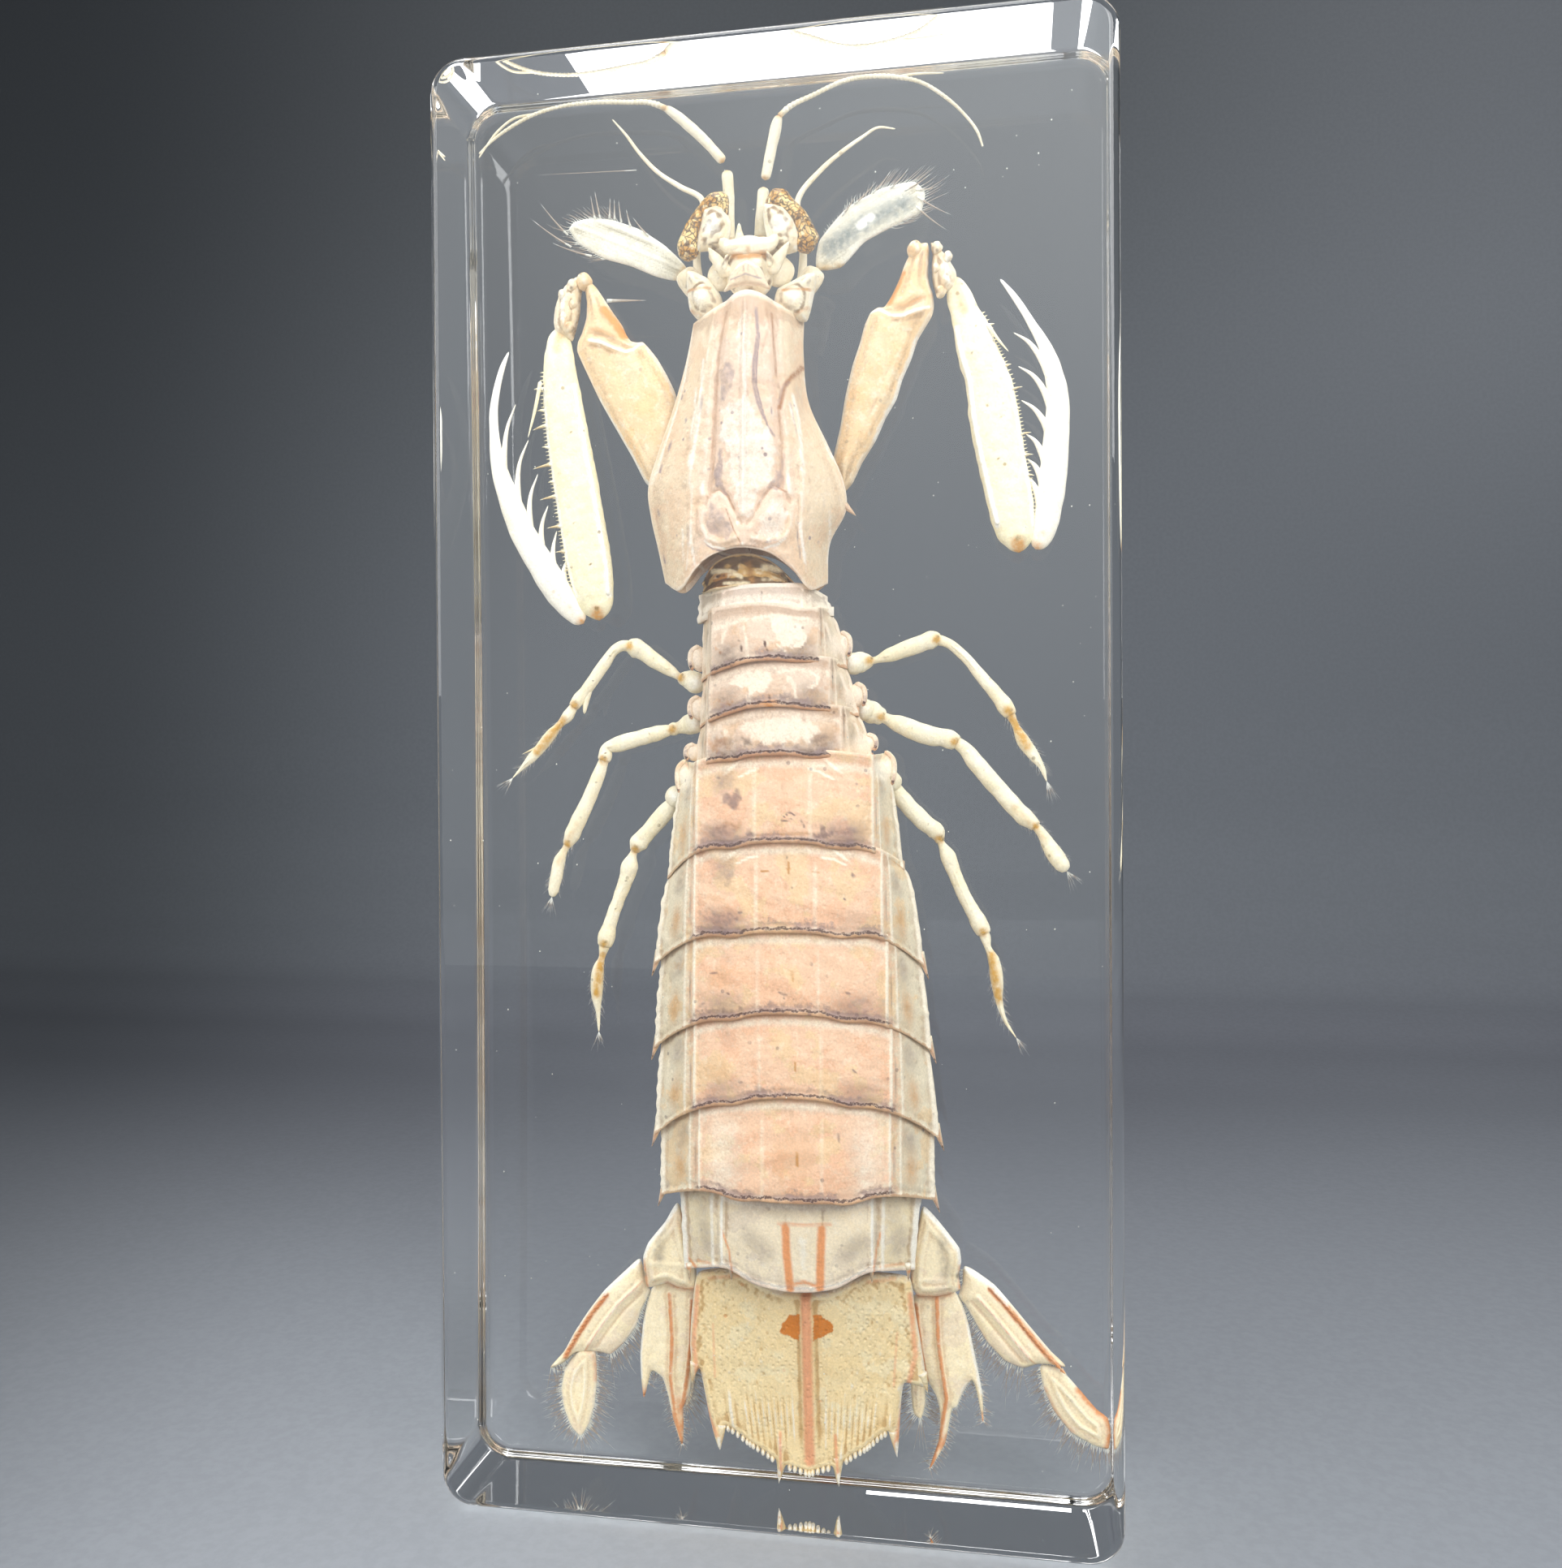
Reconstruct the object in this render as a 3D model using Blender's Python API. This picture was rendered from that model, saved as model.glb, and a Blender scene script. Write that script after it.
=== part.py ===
"""A dried mantis shrimp cast in an upright block of clear resin.

Sizes are in millimetres and become metres as each mesh is made. X runs across
the block, Y from its front face to its back, Z up. The specimen lies spread
flat with its back to the front face, its limbs in the plane where the block
is parted.
"""

import math

import bpy
import bmesh
from mathutils import Matrix, Vector

MM = 0.001

# Block
BLOCK_WIDTH = 74.0
BLOCK_DEPTH = 22.0
BLOCK_HEIGHT = 160.0
CORNER_RADIUS = 3.8
EDGE_RADIUS = 1.3
LIMB_PLANE = 5.0  # y of the limbs and of the parting
PARTING_GAP = 0.3
POCKET_CLEARANCE = 0.45
POCKET_BOW = 1.3  # how far a limb may stray from a straight stretch of its pocket
LEAST_WALL = 0.5  # resin left between the pocket and the block's faces
PARTING_REACH = 0.8  # every stretch of the pocket crosses the parting by this much

# Body
JOINT_GAP = 0.35  # along the body between one plate's rear margin and the next
BACK_TOP = -4.2  # y of the back along the midline
CARINA_TOP = -2.2  # y of the ridge that parts the back from the side plate
SIDE_TOP = 2.6  # y of the side plate's outer edge
SIDE_THICKNESS = 1.0
BELLY_CARINA = 6.2
BELLY_MIDDLE = 7.3
PLATE_RISE = 0.45  # how far a rear margin stands over the next front margin
SPIKE_SINK = 0.5  # how far a spike's foot sits in what it grows from

# Colours
RESIN = (0.93, 0.95, 0.95)
IVORY = (0.87, 0.80, 0.64)
PEACH = (0.82, 0.62, 0.47)
PINK_CREAM = (0.80, 0.66, 0.56)
GREY_CREAM = (0.66, 0.62, 0.52)
OCHRE = (0.50, 0.33, 0.12)
EYE_GOLD = (0.52, 0.33, 0.10)

# Each somite: edge x at its front (left, right), edge x at its rear (left, right),
# ridge x (left, right), rear margin z (left edge, left ridge, middle, right ridge, right edge)
SOMITES = {
    "thoracic_somite_5": ((-8.8, 5.8), (-8.9, 6.5), (-5.6, 3.4), (98.2, 98.8, 99.1, 98.5, 98.7)),
    "thoracic_somite_6": ((-8.3, 6.2), (-8.5, 8.0), (-6.6, 5.2), (91.6, 92.2, 93.5, 93.2, 92.8)),
    "thoracic_somite_7": ((-8.3, 7.6), (-8.8, 9.2), (-6.9, 6.4), (86.4, 87.0, 88.5, 87.9, 87.5)),
    "thoracic_somite_8": ((-8.6, 9.0), (-9.3, 10.8), (-7.2, 7.6), (81.6, 82.3, 83.2, 82.8, 82.4)),
    "abdominal_somite_1": ((-10.4, 11.9), (-12.7, 14.1), (-8.4, 11.0), (69.3, 72.5, 73.7, 72.6, 70.4)),
    "abdominal_somite_2": ((-12.4, 14.2), (-14.2, 16.3), (-8.7, 11.9), (59.6, 62.9, 63.9, 63.2, 59.9)),
    "abdominal_somite_3": ((-13.4, 15.6), (-14.3, 17.1), (-8.8, 12.4), (50.0, 53.4, 55.0, 53.7, 50.6)),
    "abdominal_somite_4": ((-13.5, 16.3), (-14.3, 17.9), (-8.8, 12.8), (40.1, 43.9, 45.8, 44.4, 41.0)),
    "abdominal_somite_5": ((-13.7, 17.3), (-13.6, 17.4), (-8.3, 12.6), (33.3, 34.9, 34.4, 35.3, 34.2)),
    "abdominal_somite_6": ((-11.7, 16.1), (-10.9, 15.2), (-6.0, 10.6), (25.0, 26.2, 24.2, 26.7, 26.4)),
}
COLLAR_FRONT = (100.6, 101.0, 101.3, 101.1, 100.3)  # front margin of the first ring, as above
RIDGE_TOPS = {"thoracic_somite_5": -1.2, "abdominal_somite_6": -0.9}  # lower than CARINA_TOP
BACK_TOPS = {"thoracic_somite_5": -2.6, "abdominal_somite_6": -2.0}  # lower than BACK_TOP
SPINED_SOMITES = ("abdominal_somite_2", "abdominal_somite_3", "abdominal_somite_4", "abdominal_somite_5")
SIDE_SPINE_LENGTH = 1.6

# Shield: z, then x of left edge, left groove, right groove, right edge
SHIELD_STATIONS = (
    (132.0, -9.2, -5.0, 0.6, 3.4),
    (127.4, -10.0, -5.4, 0.9, 3.4),
    (122.4, -11.5, -5.8, 1.2, 3.9),
    (117.6, -13.3, -6.2, 1.5, 6.0),
    (113.6, -14.5, -6.6, 1.8, 7.7),
    (110.2, -14.2, -7.0, 2.0, 8.0),
    (106.6, -13.4, -7.4, 2.2, 6.2),
)
SHIELD_REAR_X = (-12.7, -10.6, -8.3, -6.2, -3.2, -0.1, 2.4, 4.3, 5.9)
SHIELD_REAR_Z = (103.2, 101.9, 104.0, 105.3, 105.9, 105.3, 103.5, 101.6, 102.6)
SHIELD_TOPS = (1.5, -1.2, -3.3, -4.2, -4.5, -4.2, -3.3, -1.2, 1.5)
SHIELD_UNDERS = (2.5, 2.8, 3.2, 3.5, 3.6, 3.5, 3.2, 2.8, 2.5)
SHIELD_SPINE = ((7.6, 110.6), (9.2, 109.6))

# Limbs lie in the limb plane: (x, z, width) along each
FLATTENING = 0.6  # thickness over width of the claw pieces
MERUS = {
    "left": ((-9.2, 112.6, 3.0), (-11.2, 114.5, 4.6), (-13.2, 117.3, 5.8), (-15.2, 121.8, 6.7),
             (-17.3, 125.7, 6.8), (-19.2, 129.0, 6.6), (-20.2, 131.6, 3.6), (-21.3, 134.6, 3.1),
             (-22.0, 137.1, 2.6), (-22.4, 138.2, 1.5)),
    "right": ((6.0, 112.8, 3.2), (8.0, 115.2, 4.4), (9.2, 118.6, 5.1), (10.2, 123.2, 5.9),
              (11.8, 126.6, 6.4), (13.1, 129.4, 6.6), (14.2, 131.9, 5.6), (15.1, 134.0, 3.8),
              (15.8, 136.4, 3.2), (16.2, 138.4, 2.7), (16.4, 139.5, 1.5)),
}
CARPUS = {
    "left": ((-24.4, 136.9, 1.2), (-25.0, 135.2, 2.4), (-25.2, 133.8, 2.4), (-25.2, 133.0, 1.2)),
    "right": ((18.7, 138.6, 1.0), (19.2, 137.4, 1.8), (19.2, 136.2, 2.0), (18.9, 135.0, 1.0)),
}
PROPODUS = {
    "left": ((-25.2, 132.3, 1.8), (-25.5, 130.5, 3.1), (-25.3, 126.1, 4.3), (-24.6, 120.6, 5.0),
             (-23.7, 115.1, 5.3), (-22.9, 110.1, 5.3), (-22.1, 105.4, 5.2), (-21.4, 101.8, 4.1),
             (-21.0, 99.8, 2.8), (-20.9, 99.0, 1.3)),
    "right": ((20.0, 134.9, 1.4), (20.6, 133.2, 2.7), (21.3, 130.6, 3.6), (22.4, 126.6, 4.5),
              (23.5, 122.6, 5.1), (24.3, 118.2, 5.3), (25.1, 113.8, 5.1), (25.9, 110.2, 4.7),
              (26.4, 107.6, 3.9), (26.7, 106.0, 2.8), (26.8, 105.2, 1.3)),
}
DACTYL = {
    "left": ((-24.0, 98.9, 1.2), (-25.0, 100.6, 2.1), (-26.4, 103.0, 2.7), (-28.2, 106.1, 2.8),
             (-30.0, 109.2, 2.7), (-31.5, 112.8, 2.5), (-32.8, 116.5, 1.9), (-33.5, 121.0, 1.2),
             (-33.4, 124.0, 1.0), (-32.9, 127.1, 0.8), (-32.3, 129.0, 0.6), (-31.6, 130.5, 0.25)),
    "right": ((29.0, 105.6, 1.5), (29.8, 107.6, 2.2), (30.2, 110.8, 2.6), (30.7, 114.4, 2.7),
              (31.0, 118.4, 2.6), (31.0, 122.0, 2.3), (30.5, 125.1, 1.8), (29.5, 127.9, 1.2),
              (28.2, 130.2, 0.9), (26.7, 132.7, 0.7), (25.7, 134.1, 0.5), (24.9, 135.1, 0.25)),
}
# Tooth: foot x, z, tip x, z
DACTYL_TEETH = {
    "left": ((-32.2, 117.0, -30.9, 124.0), (-30.6, 113.5, -29.4, 119.8), (-29.2, 110.4, -28.3, 115.7),
             (-27.9, 107.9, -27.1, 112.1), (-26.7, 105.8, -26.0, 109.2)),
    "right": ((29.9, 125.2, 26.4, 129.0), (30.2, 121.6, 27.3, 125.2), (30.0, 118.4, 27.7, 121.4),
              (29.6, 115.4, 28.3, 117.8), (29.4, 112.8, 28.4, 115.2)),
}
TOOTH_WIDTH = 0.8
COMB = {
    "left": ((-27.0, 121.7, -28.5, 121.2), (-26.2, 117.2, -27.9, 116.8), (-25.5, 113.5, -26.7, 113.2),
             (-24.9, 110.0, -25.9, 109.8)),
    "right": ((25.0, 125.5, 26.1, 125.7), (25.6, 122.7, 26.9, 123.0), (26.4, 117.9, 27.6, 118.1)),
}
COMB_WIDTH = 0.45

LEGS = {
    "leg_1_left": ((-10.5, 92.0, 2.0), (-11.5, 92.3, 1.1), (-12.4, 92.9, 1.4), (-14.5, 94.3, 1.8),
                   (-17.2, 95.9, 1.8), (-18.4, 96.0, 1.5), (-19.1, 95.6, 1.3), (-22.1, 91.7, 1.4),
                   (-24.9, 88.0, 1.5), (-25.7, 87.2, 1.0), (-27.0, 85.8, 1.3), (-28.8, 83.7, 1.2),
                   (-30.6, 81.9, 0.5), (-31.7, 80.8, 0.2)),
    "leg_2_left": ((-10.6, 86.8, 2.2), (-11.7, 86.5, 1.5), (-16.5, 85.3, 1.8), (-19.3, 84.6, 1.7),
                   (-20.2, 84.1, 1.4), (-20.6, 83.0, 1.5), (-22.6, 78.2, 1.7), (-24.2, 74.9, 1.8),
                   (-25.3, 72.6, 1.0), (-26.0, 71.2, 1.4), (-26.5, 69.3, 1.4), (-27.0, 67.1, 0.8)),
    "leg_3_left": ((-12.6, 77.6, 1.6), (-13.4, 76.7, 1.9), (-15.2, 74.7, 1.9), (-16.7, 73.1, 1.8),
                   (-17.1, 72.1, 1.2), (-17.5, 70.9, 1.8), (-18.9, 66.8, 1.5), (-20.7, 61.2, 1.6),
                   (-21.0, 59.9, 0.9), (-21.5, 58.4, 1.3), (-21.6, 56.8, 1.4), (-21.5, 54.4, 0.9),
                   (-21.4, 51.3, 0.25)),
    "leg_1_right": ((9.6, 93.6, 2.0), (10.7, 93.7, 1.2), (12.8, 94.4, 1.5), (15.5, 95.3, 1.8),
                    (17.8, 95.9, 1.6), (19.1, 95.5, 1.2), (20.7, 94.0, 1.2), (24.7, 89.2, 1.5),
                    (25.8, 87.5, 1.4), (26.3, 86.4, 0.8), (27.1, 84.7, 1.3), (28.3, 83.0, 1.2),
                    (29.7, 80.1, 0.25)),
    "leg_2_right": ((10.9, 87.7, 2.2), (12.1, 87.2, 1.7), (13.8, 86.5, 1.9), (16.9, 85.3, 2.1),
                    (19.2, 84.9, 1.8), (20.6, 84.0, 1.8), (24.7, 79.1, 1.9), (26.9, 76.7, 1.8),
                    (28.7, 75.0, 1.2), (30.1, 72.8, 1.7), (31.3, 71.0, 1.4), (31.9, 70.2, 0.9)),
    "leg_3_right": ((14.0, 78.1, 1.7), (14.7, 77.3, 1.9), (16.5, 75.5, 1.9), (17.7, 74.5, 1.6),
                    (18.1, 73.5, 1.1), (18.8, 72.1, 1.7), (20.8, 67.3, 1.5), (22.4, 64.3, 1.6),
                    (23.2, 62.1, 0.9), (23.9, 60.3, 1.3), (24.2, 58.3, 1.3), (24.4, 56.2, 0.9),
                    (25.1, 53.8, 0.5), (26.3, 51.9, 0.2)),
}
LEG_TWIG = ((-21.9, 91.4, 0.6), (-22.7, 89.5, 0.8), (-22.9, 88.2, 0.5))
LOBE_Y = 3.05
# Lobes at the sides of a ring: left centre x, z, right centre x, z, half length
SIDE_LOBES = {
    "thoracic_somite_6": (-8.9, 94.2, 7.4, 95.4, 1.5),
    "thoracic_somite_7": (-9.0, 88.6, 9.0, 89.8, 1.4),
    "thoracic_somite_8": (-9.5, 83.6, 10.2, 84.5, 1.0),
    "abdominal_somite_1": (-10.5, 80.8, 12.2, 81.6, 2.0),
}

ANTENNULES = {
    "left": ((-5.2, 141.4, 1.3), (-5.3, 146.6, 1.3), (-5.7, 149.8, 1.3), (-6.0, 150.6, 1.0),
             (-7.3, 152.1, 1.1), (-9.7, 154.6, 1.1), (-12.5, 156.9, 1.0), (-13.3, 157.4, 0.7),
             (-17.2, 158.0, 0.6), (-20.5, 158.3, 0.5), (-24.9, 158.2, 0.5), (-28.0, 157.6, 0.5),
             (-31.1, 156.3, 0.5), (-33.4, 154.9, 0.4), (-34.9, 153.6, 0.4)),
    "right": ((-1.7, 141.4, 1.5), (-1.3, 147.0, 1.3), (-1.0, 147.8, 1.0), (-0.3, 151.6, 1.2),
              (0.5, 154.5, 1.0), (1.0, 155.3, 0.7), (4.3, 156.8, 0.6), (8.5, 158.3, 0.5),
              (13.6, 158.1, 0.5), (16.5, 157.1, 0.5), (18.7, 155.6, 0.5), (21.0, 153.4, 0.5),
              (22.6, 151.1, 0.4), (23.1, 149.6, 0.4)),
}
ANTENNA_STALKS = {
    "left": ((-8.3, 134.6, 1.2), (-9.0, 139.6, 0.9), (-8.6, 143.4, 0.8), (-8.3, 146.1, 0.7),
             (-10.9, 147.9, 0.6), (-13.3, 149.6, 0.5), (-15.7, 152.2, 0.5), (-17.2, 154.3, 0.4),
             (-18.8, 156.2, 0.4)),
    "right": ((2.6, 134.0, 1.2), (3.2, 139.0, 0.9), (2.9, 142.6, 0.8), (2.6, 145.1, 0.7),
              (5.2, 148.4, 0.6), (7.5, 150.2, 0.5), (9.9, 151.7, 0.5), (11.6, 152.6, 0.4),
              (13.6, 152.3, 0.4)),
}
ANTENNA_BULBS = {"left": (-8.1, 135.1), "right": (2.5, 134.4)}
BULB_HALF = (2.2, 2.3, 2.3)
BULB_Y = 2.6
STALK_Y = 4.5  # the antennae pass behind the eyes
SCALES = {
    "left": ((-10.3, 138.8), (-12.7, 141.4), (-15.7, 143.5), (-18.9, 144.8), (-21.4, 145.2),
             (-23.5, 144.9), (-24.1, 144.1), (-23.0, 142.4), (-20.0, 140.5), (-16.8, 139.4),
             (-13.8, 138.0), (-11.2, 137.4)),
    "right": ((4.7, 137.6), (5.0, 140.7), (8.1, 144.1), (12.1, 146.0), (15.6, 146.4), (16.8, 145.1),
              (16.3, 143.0), (14.0, 142.0), (10.1, 140.2), (7.4, 137.6)),
}
SCALE_THICKNESS = 0.8

EYE_Y = 1.6
EYES = {
    # stalk x, z; lens centre x, z; lens axis angle from upright in degrees
    "left": ((-7.0, 142.4), (-8.4, 142.8), -36.0),
    "right": ((1.4, 142.3), (2.6, 142.9), 34.0),
}
STALK_HALF = (1.4, 1.6, 1.6)
LENS_HALF = (1.55, 1.7, 3.9)

# Tail fan outlines in the limb plane: (x, z)
TELSON_OUTLINE = (
    (-9.4, 24.5), (-10.2, 20.0), (-10.4, 16.2), (-10.0, 12.7), (-9.3, 13.6), (-8.2, 8.4), (-7.0, 4.6),
    (-6.3, 7.4), (-3.4, 5.8), (-0.6, 4.1), (-0.2, 1.6), (0.7, 3.5), (3.3, 3.0), (5.8, 3.8), (6.5, 1.8),
    (7.2, 4.5), (9.8, 6.4), (12.1, 8.2), (13.1, 5.6), (13.9, 13.6), (16.2, 13.4), (15.8, 17.9),
    (15.1, 22.0), (14.5, 25.4), (10.4, 25.9), (5.3, 23.6), (0.6, 23.4), (-5.4, 25.4),
)
TELSON_TOP = 2.4
TELSON_THICKNESS = 1.7
# z, then half width and height of the dome over the telson's plate
TELSON_DOME = ((23.0, 10.6, 2.6), (18.5, 11.2, 2.9), (13.5, 10.6, 2.7), (9.0, 8.6, 2.1), (5.2, 4.2, 0.9))
TELSON_RIDGE = ((2.8, 22.2, 1.2), (3.0, 17.0, 1.4), (3.2, 11.5, 1.2))
TELSON_RIDGE_Y = 0.1
TELSON_MIDDLE = (2.7, 3.4)  # x of its midline at the front and at the tip
UROPOD_BASES = {
    "left": ((-12.3, 31.7), (-13.7, 30.3), (-15.0, 27.9), (-16.0, 26.5), (-16.1, 25.4), (-15.7, 23.5),
             (-15.0, 22.4), (-16.1, 18.9), (-16.7, 15.2), (-16.7, 13.5), (-16.2, 9.3), (-15.2, 12.6),
             (-14.2, 11.3), (-13.2, 9.2), (-12.4, 6.7), (-11.6, 4.2), (-11.8, 7.8), (-12.2, 11.6),
             (-12.2, 16.7), (-11.6, 22.6), (-11.5, 23.8), (-12.2, 27.0)),
    "right": ((16.3, 32.7), (18.2, 30.3), (20.1, 27.4), (20.2, 25.5), (19.6, 23.8), (19.6, 22.8),
              (20.8, 20.6), (21.5, 17.8), (22.0, 14.9), (22.6, 9.5), (20.9, 13.8), (19.8, 12.1),
              (18.7, 9.1), (17.7, 5.9), (16.7, 3.9), (17.5, 7.0), (17.8, 10.1), (17.5, 15.8),
              (17.1, 19.9), (16.3, 23.4), (16.2, 27.0)),
}
PADDLES = {
    "left": ((-16.6, 25.2), (-17.9, 24.2), (-20.8, 21.4), (-22.6, 19.1), (-24.4, 16.4), (-25.8, 13.9),
             (-27.4, 12.0), (-25.9, 12.6), (-24.5, 14.2), (-21.7, 14.5), (-20.2, 14.3), (-18.6, 15.6),
             (-17.4, 17.3), (-16.9, 19.5), (-15.9, 21.8), (-16.3, 23.4)),
    "right": ((20.7, 26.4), (23.7, 24.7), (25.3, 23.0), (27.7, 20.2), (29.9, 17.7), (31.4, 16.2),
              (29.5, 16.5), (28.4, 16.4), (26.9, 15.9), (24.9, 16.5), (23.2, 18.4), (22.0, 20.4),
              (20.8, 22.4), (20.1, 23.3), (20.5, 24.6)),
}
PADDLE_TIPS = {
    "left": ((-24.1, 13.8), (-25.5, 12.1), (-26.0, 9.6), (-25.7, 7.4), (-24.9, 5.3), (-23.8, 4.4),
             (-22.7, 5.9), (-22.1, 8.1), (-21.9, 11.0), (-22.1, 14.0), (-23.1, 14.1)),
    "right": ((28.9, 15.8), (30.8, 15.7), (32.9, 13.7), (34.6, 11.7), (35.6, 10.8), (36.0, 9.5),
              (35.7, 7.8), (34.2, 8.0), (32.1, 9.0), (30.3, 11.1), (29.2, 13.6)),
}
INNER_LOBES = {
    "left": ((-12.9, 21.6), (-12.4, 15.9), (-12.1, 10.6), (-11.4, 8.2), (-10.7, 9.4), (-10.2, 12.2),
             (-10.4, 16.0), (-10.5, 21.8)),
    "right": ((14.9, 22.6), (16.4, 22.6), (16.6, 17.9), (16.2, 13.7), (16.1, 10.6), (15.6, 8.9),
              (14.8, 9.4), (14.5, 11.9), (14.6, 15.6)),
}
FAN_THICKNESS = 1.0
INNER_LOBE_TOP = 5.9  # y of the inner lobes, behind the fan's bases
INNER_LOBE_THICKNESS = 0.7
FAN_TOP = 4.5

ANTENNULE_SIDES = 6
LEG_SIDES = 6
CLAW_SIDES = 8
SPIKE_SIDES = 4
SPIKE_TURN = 0.35  # about the spike's own axis, so that no edge runs along its host's


def point(x, y, z):
    """A place given in millimetres, as a vector in metres."""
    return Vector((x, y, z)) * MM


def mix(a, b, share):
    """The value that lies this share of the way from a to b."""
    return a + (b - a) * share


def clear_scene():
    """Removes whatever objects the open file holds."""
    for old in list(bpy.data.objects):
        bpy.data.objects.remove(old, do_unlink=True)


def make_collection(name):
    """A collection linked to the scene."""
    collection = bpy.data.collections.new(name)
    bpy.context.scene.collection.children.link(collection)
    return collection


def make_material(name, colour, roughness):
    """A Principled material with the piece's own colour."""
    material = bpy.data.materials.new(name)
    material.use_nodes = True
    shader = material.node_tree.nodes["Principled BSDF"]
    shader.inputs["Base Color"].default_value = (*colour, 1.0)
    shader.inputs["Roughness"].default_value = roughness
    shader.inputs["Metallic"].default_value = 0.0
    return material


def make_object(name, mesh):
    """An object for a mesh, in the specimen's collection."""
    made = bpy.data.objects.new(name, mesh)
    PARTS.objects.link(made)
    return made


def from_bmesh(name, shape):
    """An object from a finished bmesh, with its faces turned outwards."""
    bmesh.ops.recalc_face_normals(shape, faces=shape.faces)
    mesh = bpy.data.meshes.new(name)
    shape.to_mesh(mesh)
    shape.free()
    return make_object(name, mesh)


def curve_to_mesh(curve_object):
    """Replaces a curve object by a mesh object of the same name and place."""
    name = curve_object.name
    graph = bpy.context.evaluated_depsgraph_get()
    mesh = bpy.data.meshes.new_from_object(curve_object.evaluated_get(graph))
    shape = bmesh.new()
    shape.from_mesh(mesh)
    shape.transform(curve_object.matrix_world)
    bmesh.ops.remove_doubles(shape, verts=shape.verts, dist=0.002 * MM)
    bpy.data.objects.remove(curve_object, do_unlink=True)
    bpy.data.meshes.remove(mesh)
    return from_bmesh(name, shape)


def tube(name, route, sides, thickness_share=1.0, y=LIMB_PLANE):
    """A limb along (x, z, width) points, flattened towards the plane it lies in."""
    curve = bpy.data.curves.new(name, "CURVE")
    curve.dimensions = "3D"
    curve.bevel_depth = MM / 2
    curve.bevel_resolution = sides // 2 - 2
    curve.use_fill_caps = True
    spline = curve.splines.new("POLY")
    spline.points.add(len(route) - 1)
    for knot, (x, z, width) in zip(spline.points, route):
        knot.co = (*point(x, y, z), 1.0)
        knot.radius = width
    made = make_object(name, curve)
    bpy.context.view_layer.update()
    made = curve_to_mesh(made)
    for vertex in made.data.vertices:
        vertex.co.y = mix(y * MM, vertex.co.y, thickness_share)
    return made


def plate(name, outline, top, thickness):
    """A flat piece with an (x, z) outline, its front side at y = top."""
    curve = bpy.data.curves.new(name, "CURVE")
    curve.dimensions = "2D"
    curve.fill_mode = "BOTH"
    curve.extrude = thickness * MM / 2
    spline = curve.splines.new("POLY")
    spline.points.add(len(outline) - 1)
    for knot, (x, z) in zip(spline.points, outline):
        knot.co = (x * MM, z * MM, 0.0, 1.0)
    spline.use_cyclic_u = True
    made = make_object(name, curve)
    made.rotation_euler = (math.radians(90), 0.0, 0.0)
    made.location = point(0.0, top + thickness / 2, 0.0)
    bpy.context.view_layer.update()
    return curve_to_mesh(made)


def ellipsoid(name, centre, half, segments=8, rings=6, lean=0.0):
    """A UV sphere stretched to half sizes and leant about the Y axis."""
    shape = bmesh.new()
    bmesh.ops.create_uvsphere(shape, u_segments=segments, v_segments=rings, radius=1.0)
    stretch = Matrix.Diagonal((half[0] * MM, half[1] * MM, half[2] * MM, 1.0))
    place = Matrix.Translation(point(*centre)) @ Matrix.Rotation(math.radians(lean), 4, "Y")
    shape.transform(place @ stretch)
    return from_bmesh(name, shape)


def spike(name, foot, tip, width):
    """A pointed cone whose foot is sunk a little in what carries it."""
    start = point(*foot)
    end = point(*tip)
    way = (end - start).normalized()
    start = start - way * SPIKE_SINK * MM
    length = (end - start).length
    shape = bmesh.new()
    bmesh.ops.create_cone(shape, cap_ends=True, segments=SPIKE_SIDES, radius1=width * MM / 2,
                          radius2=width * MM / 8, depth=length)
    turn = way.to_track_quat("Z", "Y").to_matrix().to_4x4() @ Matrix.Rotation(SPIKE_TURN, 4, "Z")
    shape.transform(Matrix.Translation((start + end) / 2) @ turn)
    return from_bmesh(name, shape)


def column_loft(name, stations):
    """A closed form through stations, each a row of (x, top y, under y, z) columns."""
    shape = bmesh.new()
    tops = []
    unders = []
    for station in stations:
        tops.append([shape.verts.new(point(x, top, z)) for x, top, under, z in station])
        unders.append([shape.verts.new(point(x, under, z)) for x, top, under, z in station])
    last = len(stations[0]) - 1
    for row in range(len(stations) - 1):
        for column in range(last):
            for side in (tops, unders):
                shape.faces.new((side[row][column], side[row][column + 1],
                                 side[row + 1][column + 1], side[row + 1][column]))
        for edge in (0, last):
            shape.faces.new((tops[row][edge], unders[row][edge],
                             unders[row + 1][edge], tops[row + 1][edge]))
    for end in (0, len(stations) - 1):
        for column in range(last):
            shape.faces.new((tops[end][column], tops[end][column + 1],
                             unders[end][column + 1], unders[end][column]))
    return from_bmesh(name, shape)


def fuse(host, *pieces):
    """Grows the pieces onto the host with Boolean unions."""
    for piece in pieces:
        union = host.modifiers.new("grown_on", "BOOLEAN")
        union.operation = "UNION"
        union.solver = "EXACT"
        union.object = piece
        graph = bpy.context.evaluated_depsgraph_get()
        mesh = bpy.data.meshes.new_from_object(host.evaluated_get(graph))
        host.modifiers.remove(union)
        host.data = mesh
        bpy.data.objects.remove(piece, do_unlink=True)
    return host


def margin_height(margin, x):
    """z of a plate's margin, a list of (x, z) from left to right, at this x."""
    if x <= margin[0][0]:
        return margin[0][1]
    for (x0, z0), (x1, z1) in zip(margin, margin[1:]):
        if x <= x1:
            return mix(z0, z1, (x - x0) / (x1 - x0))
    return margin[-1][1]


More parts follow.
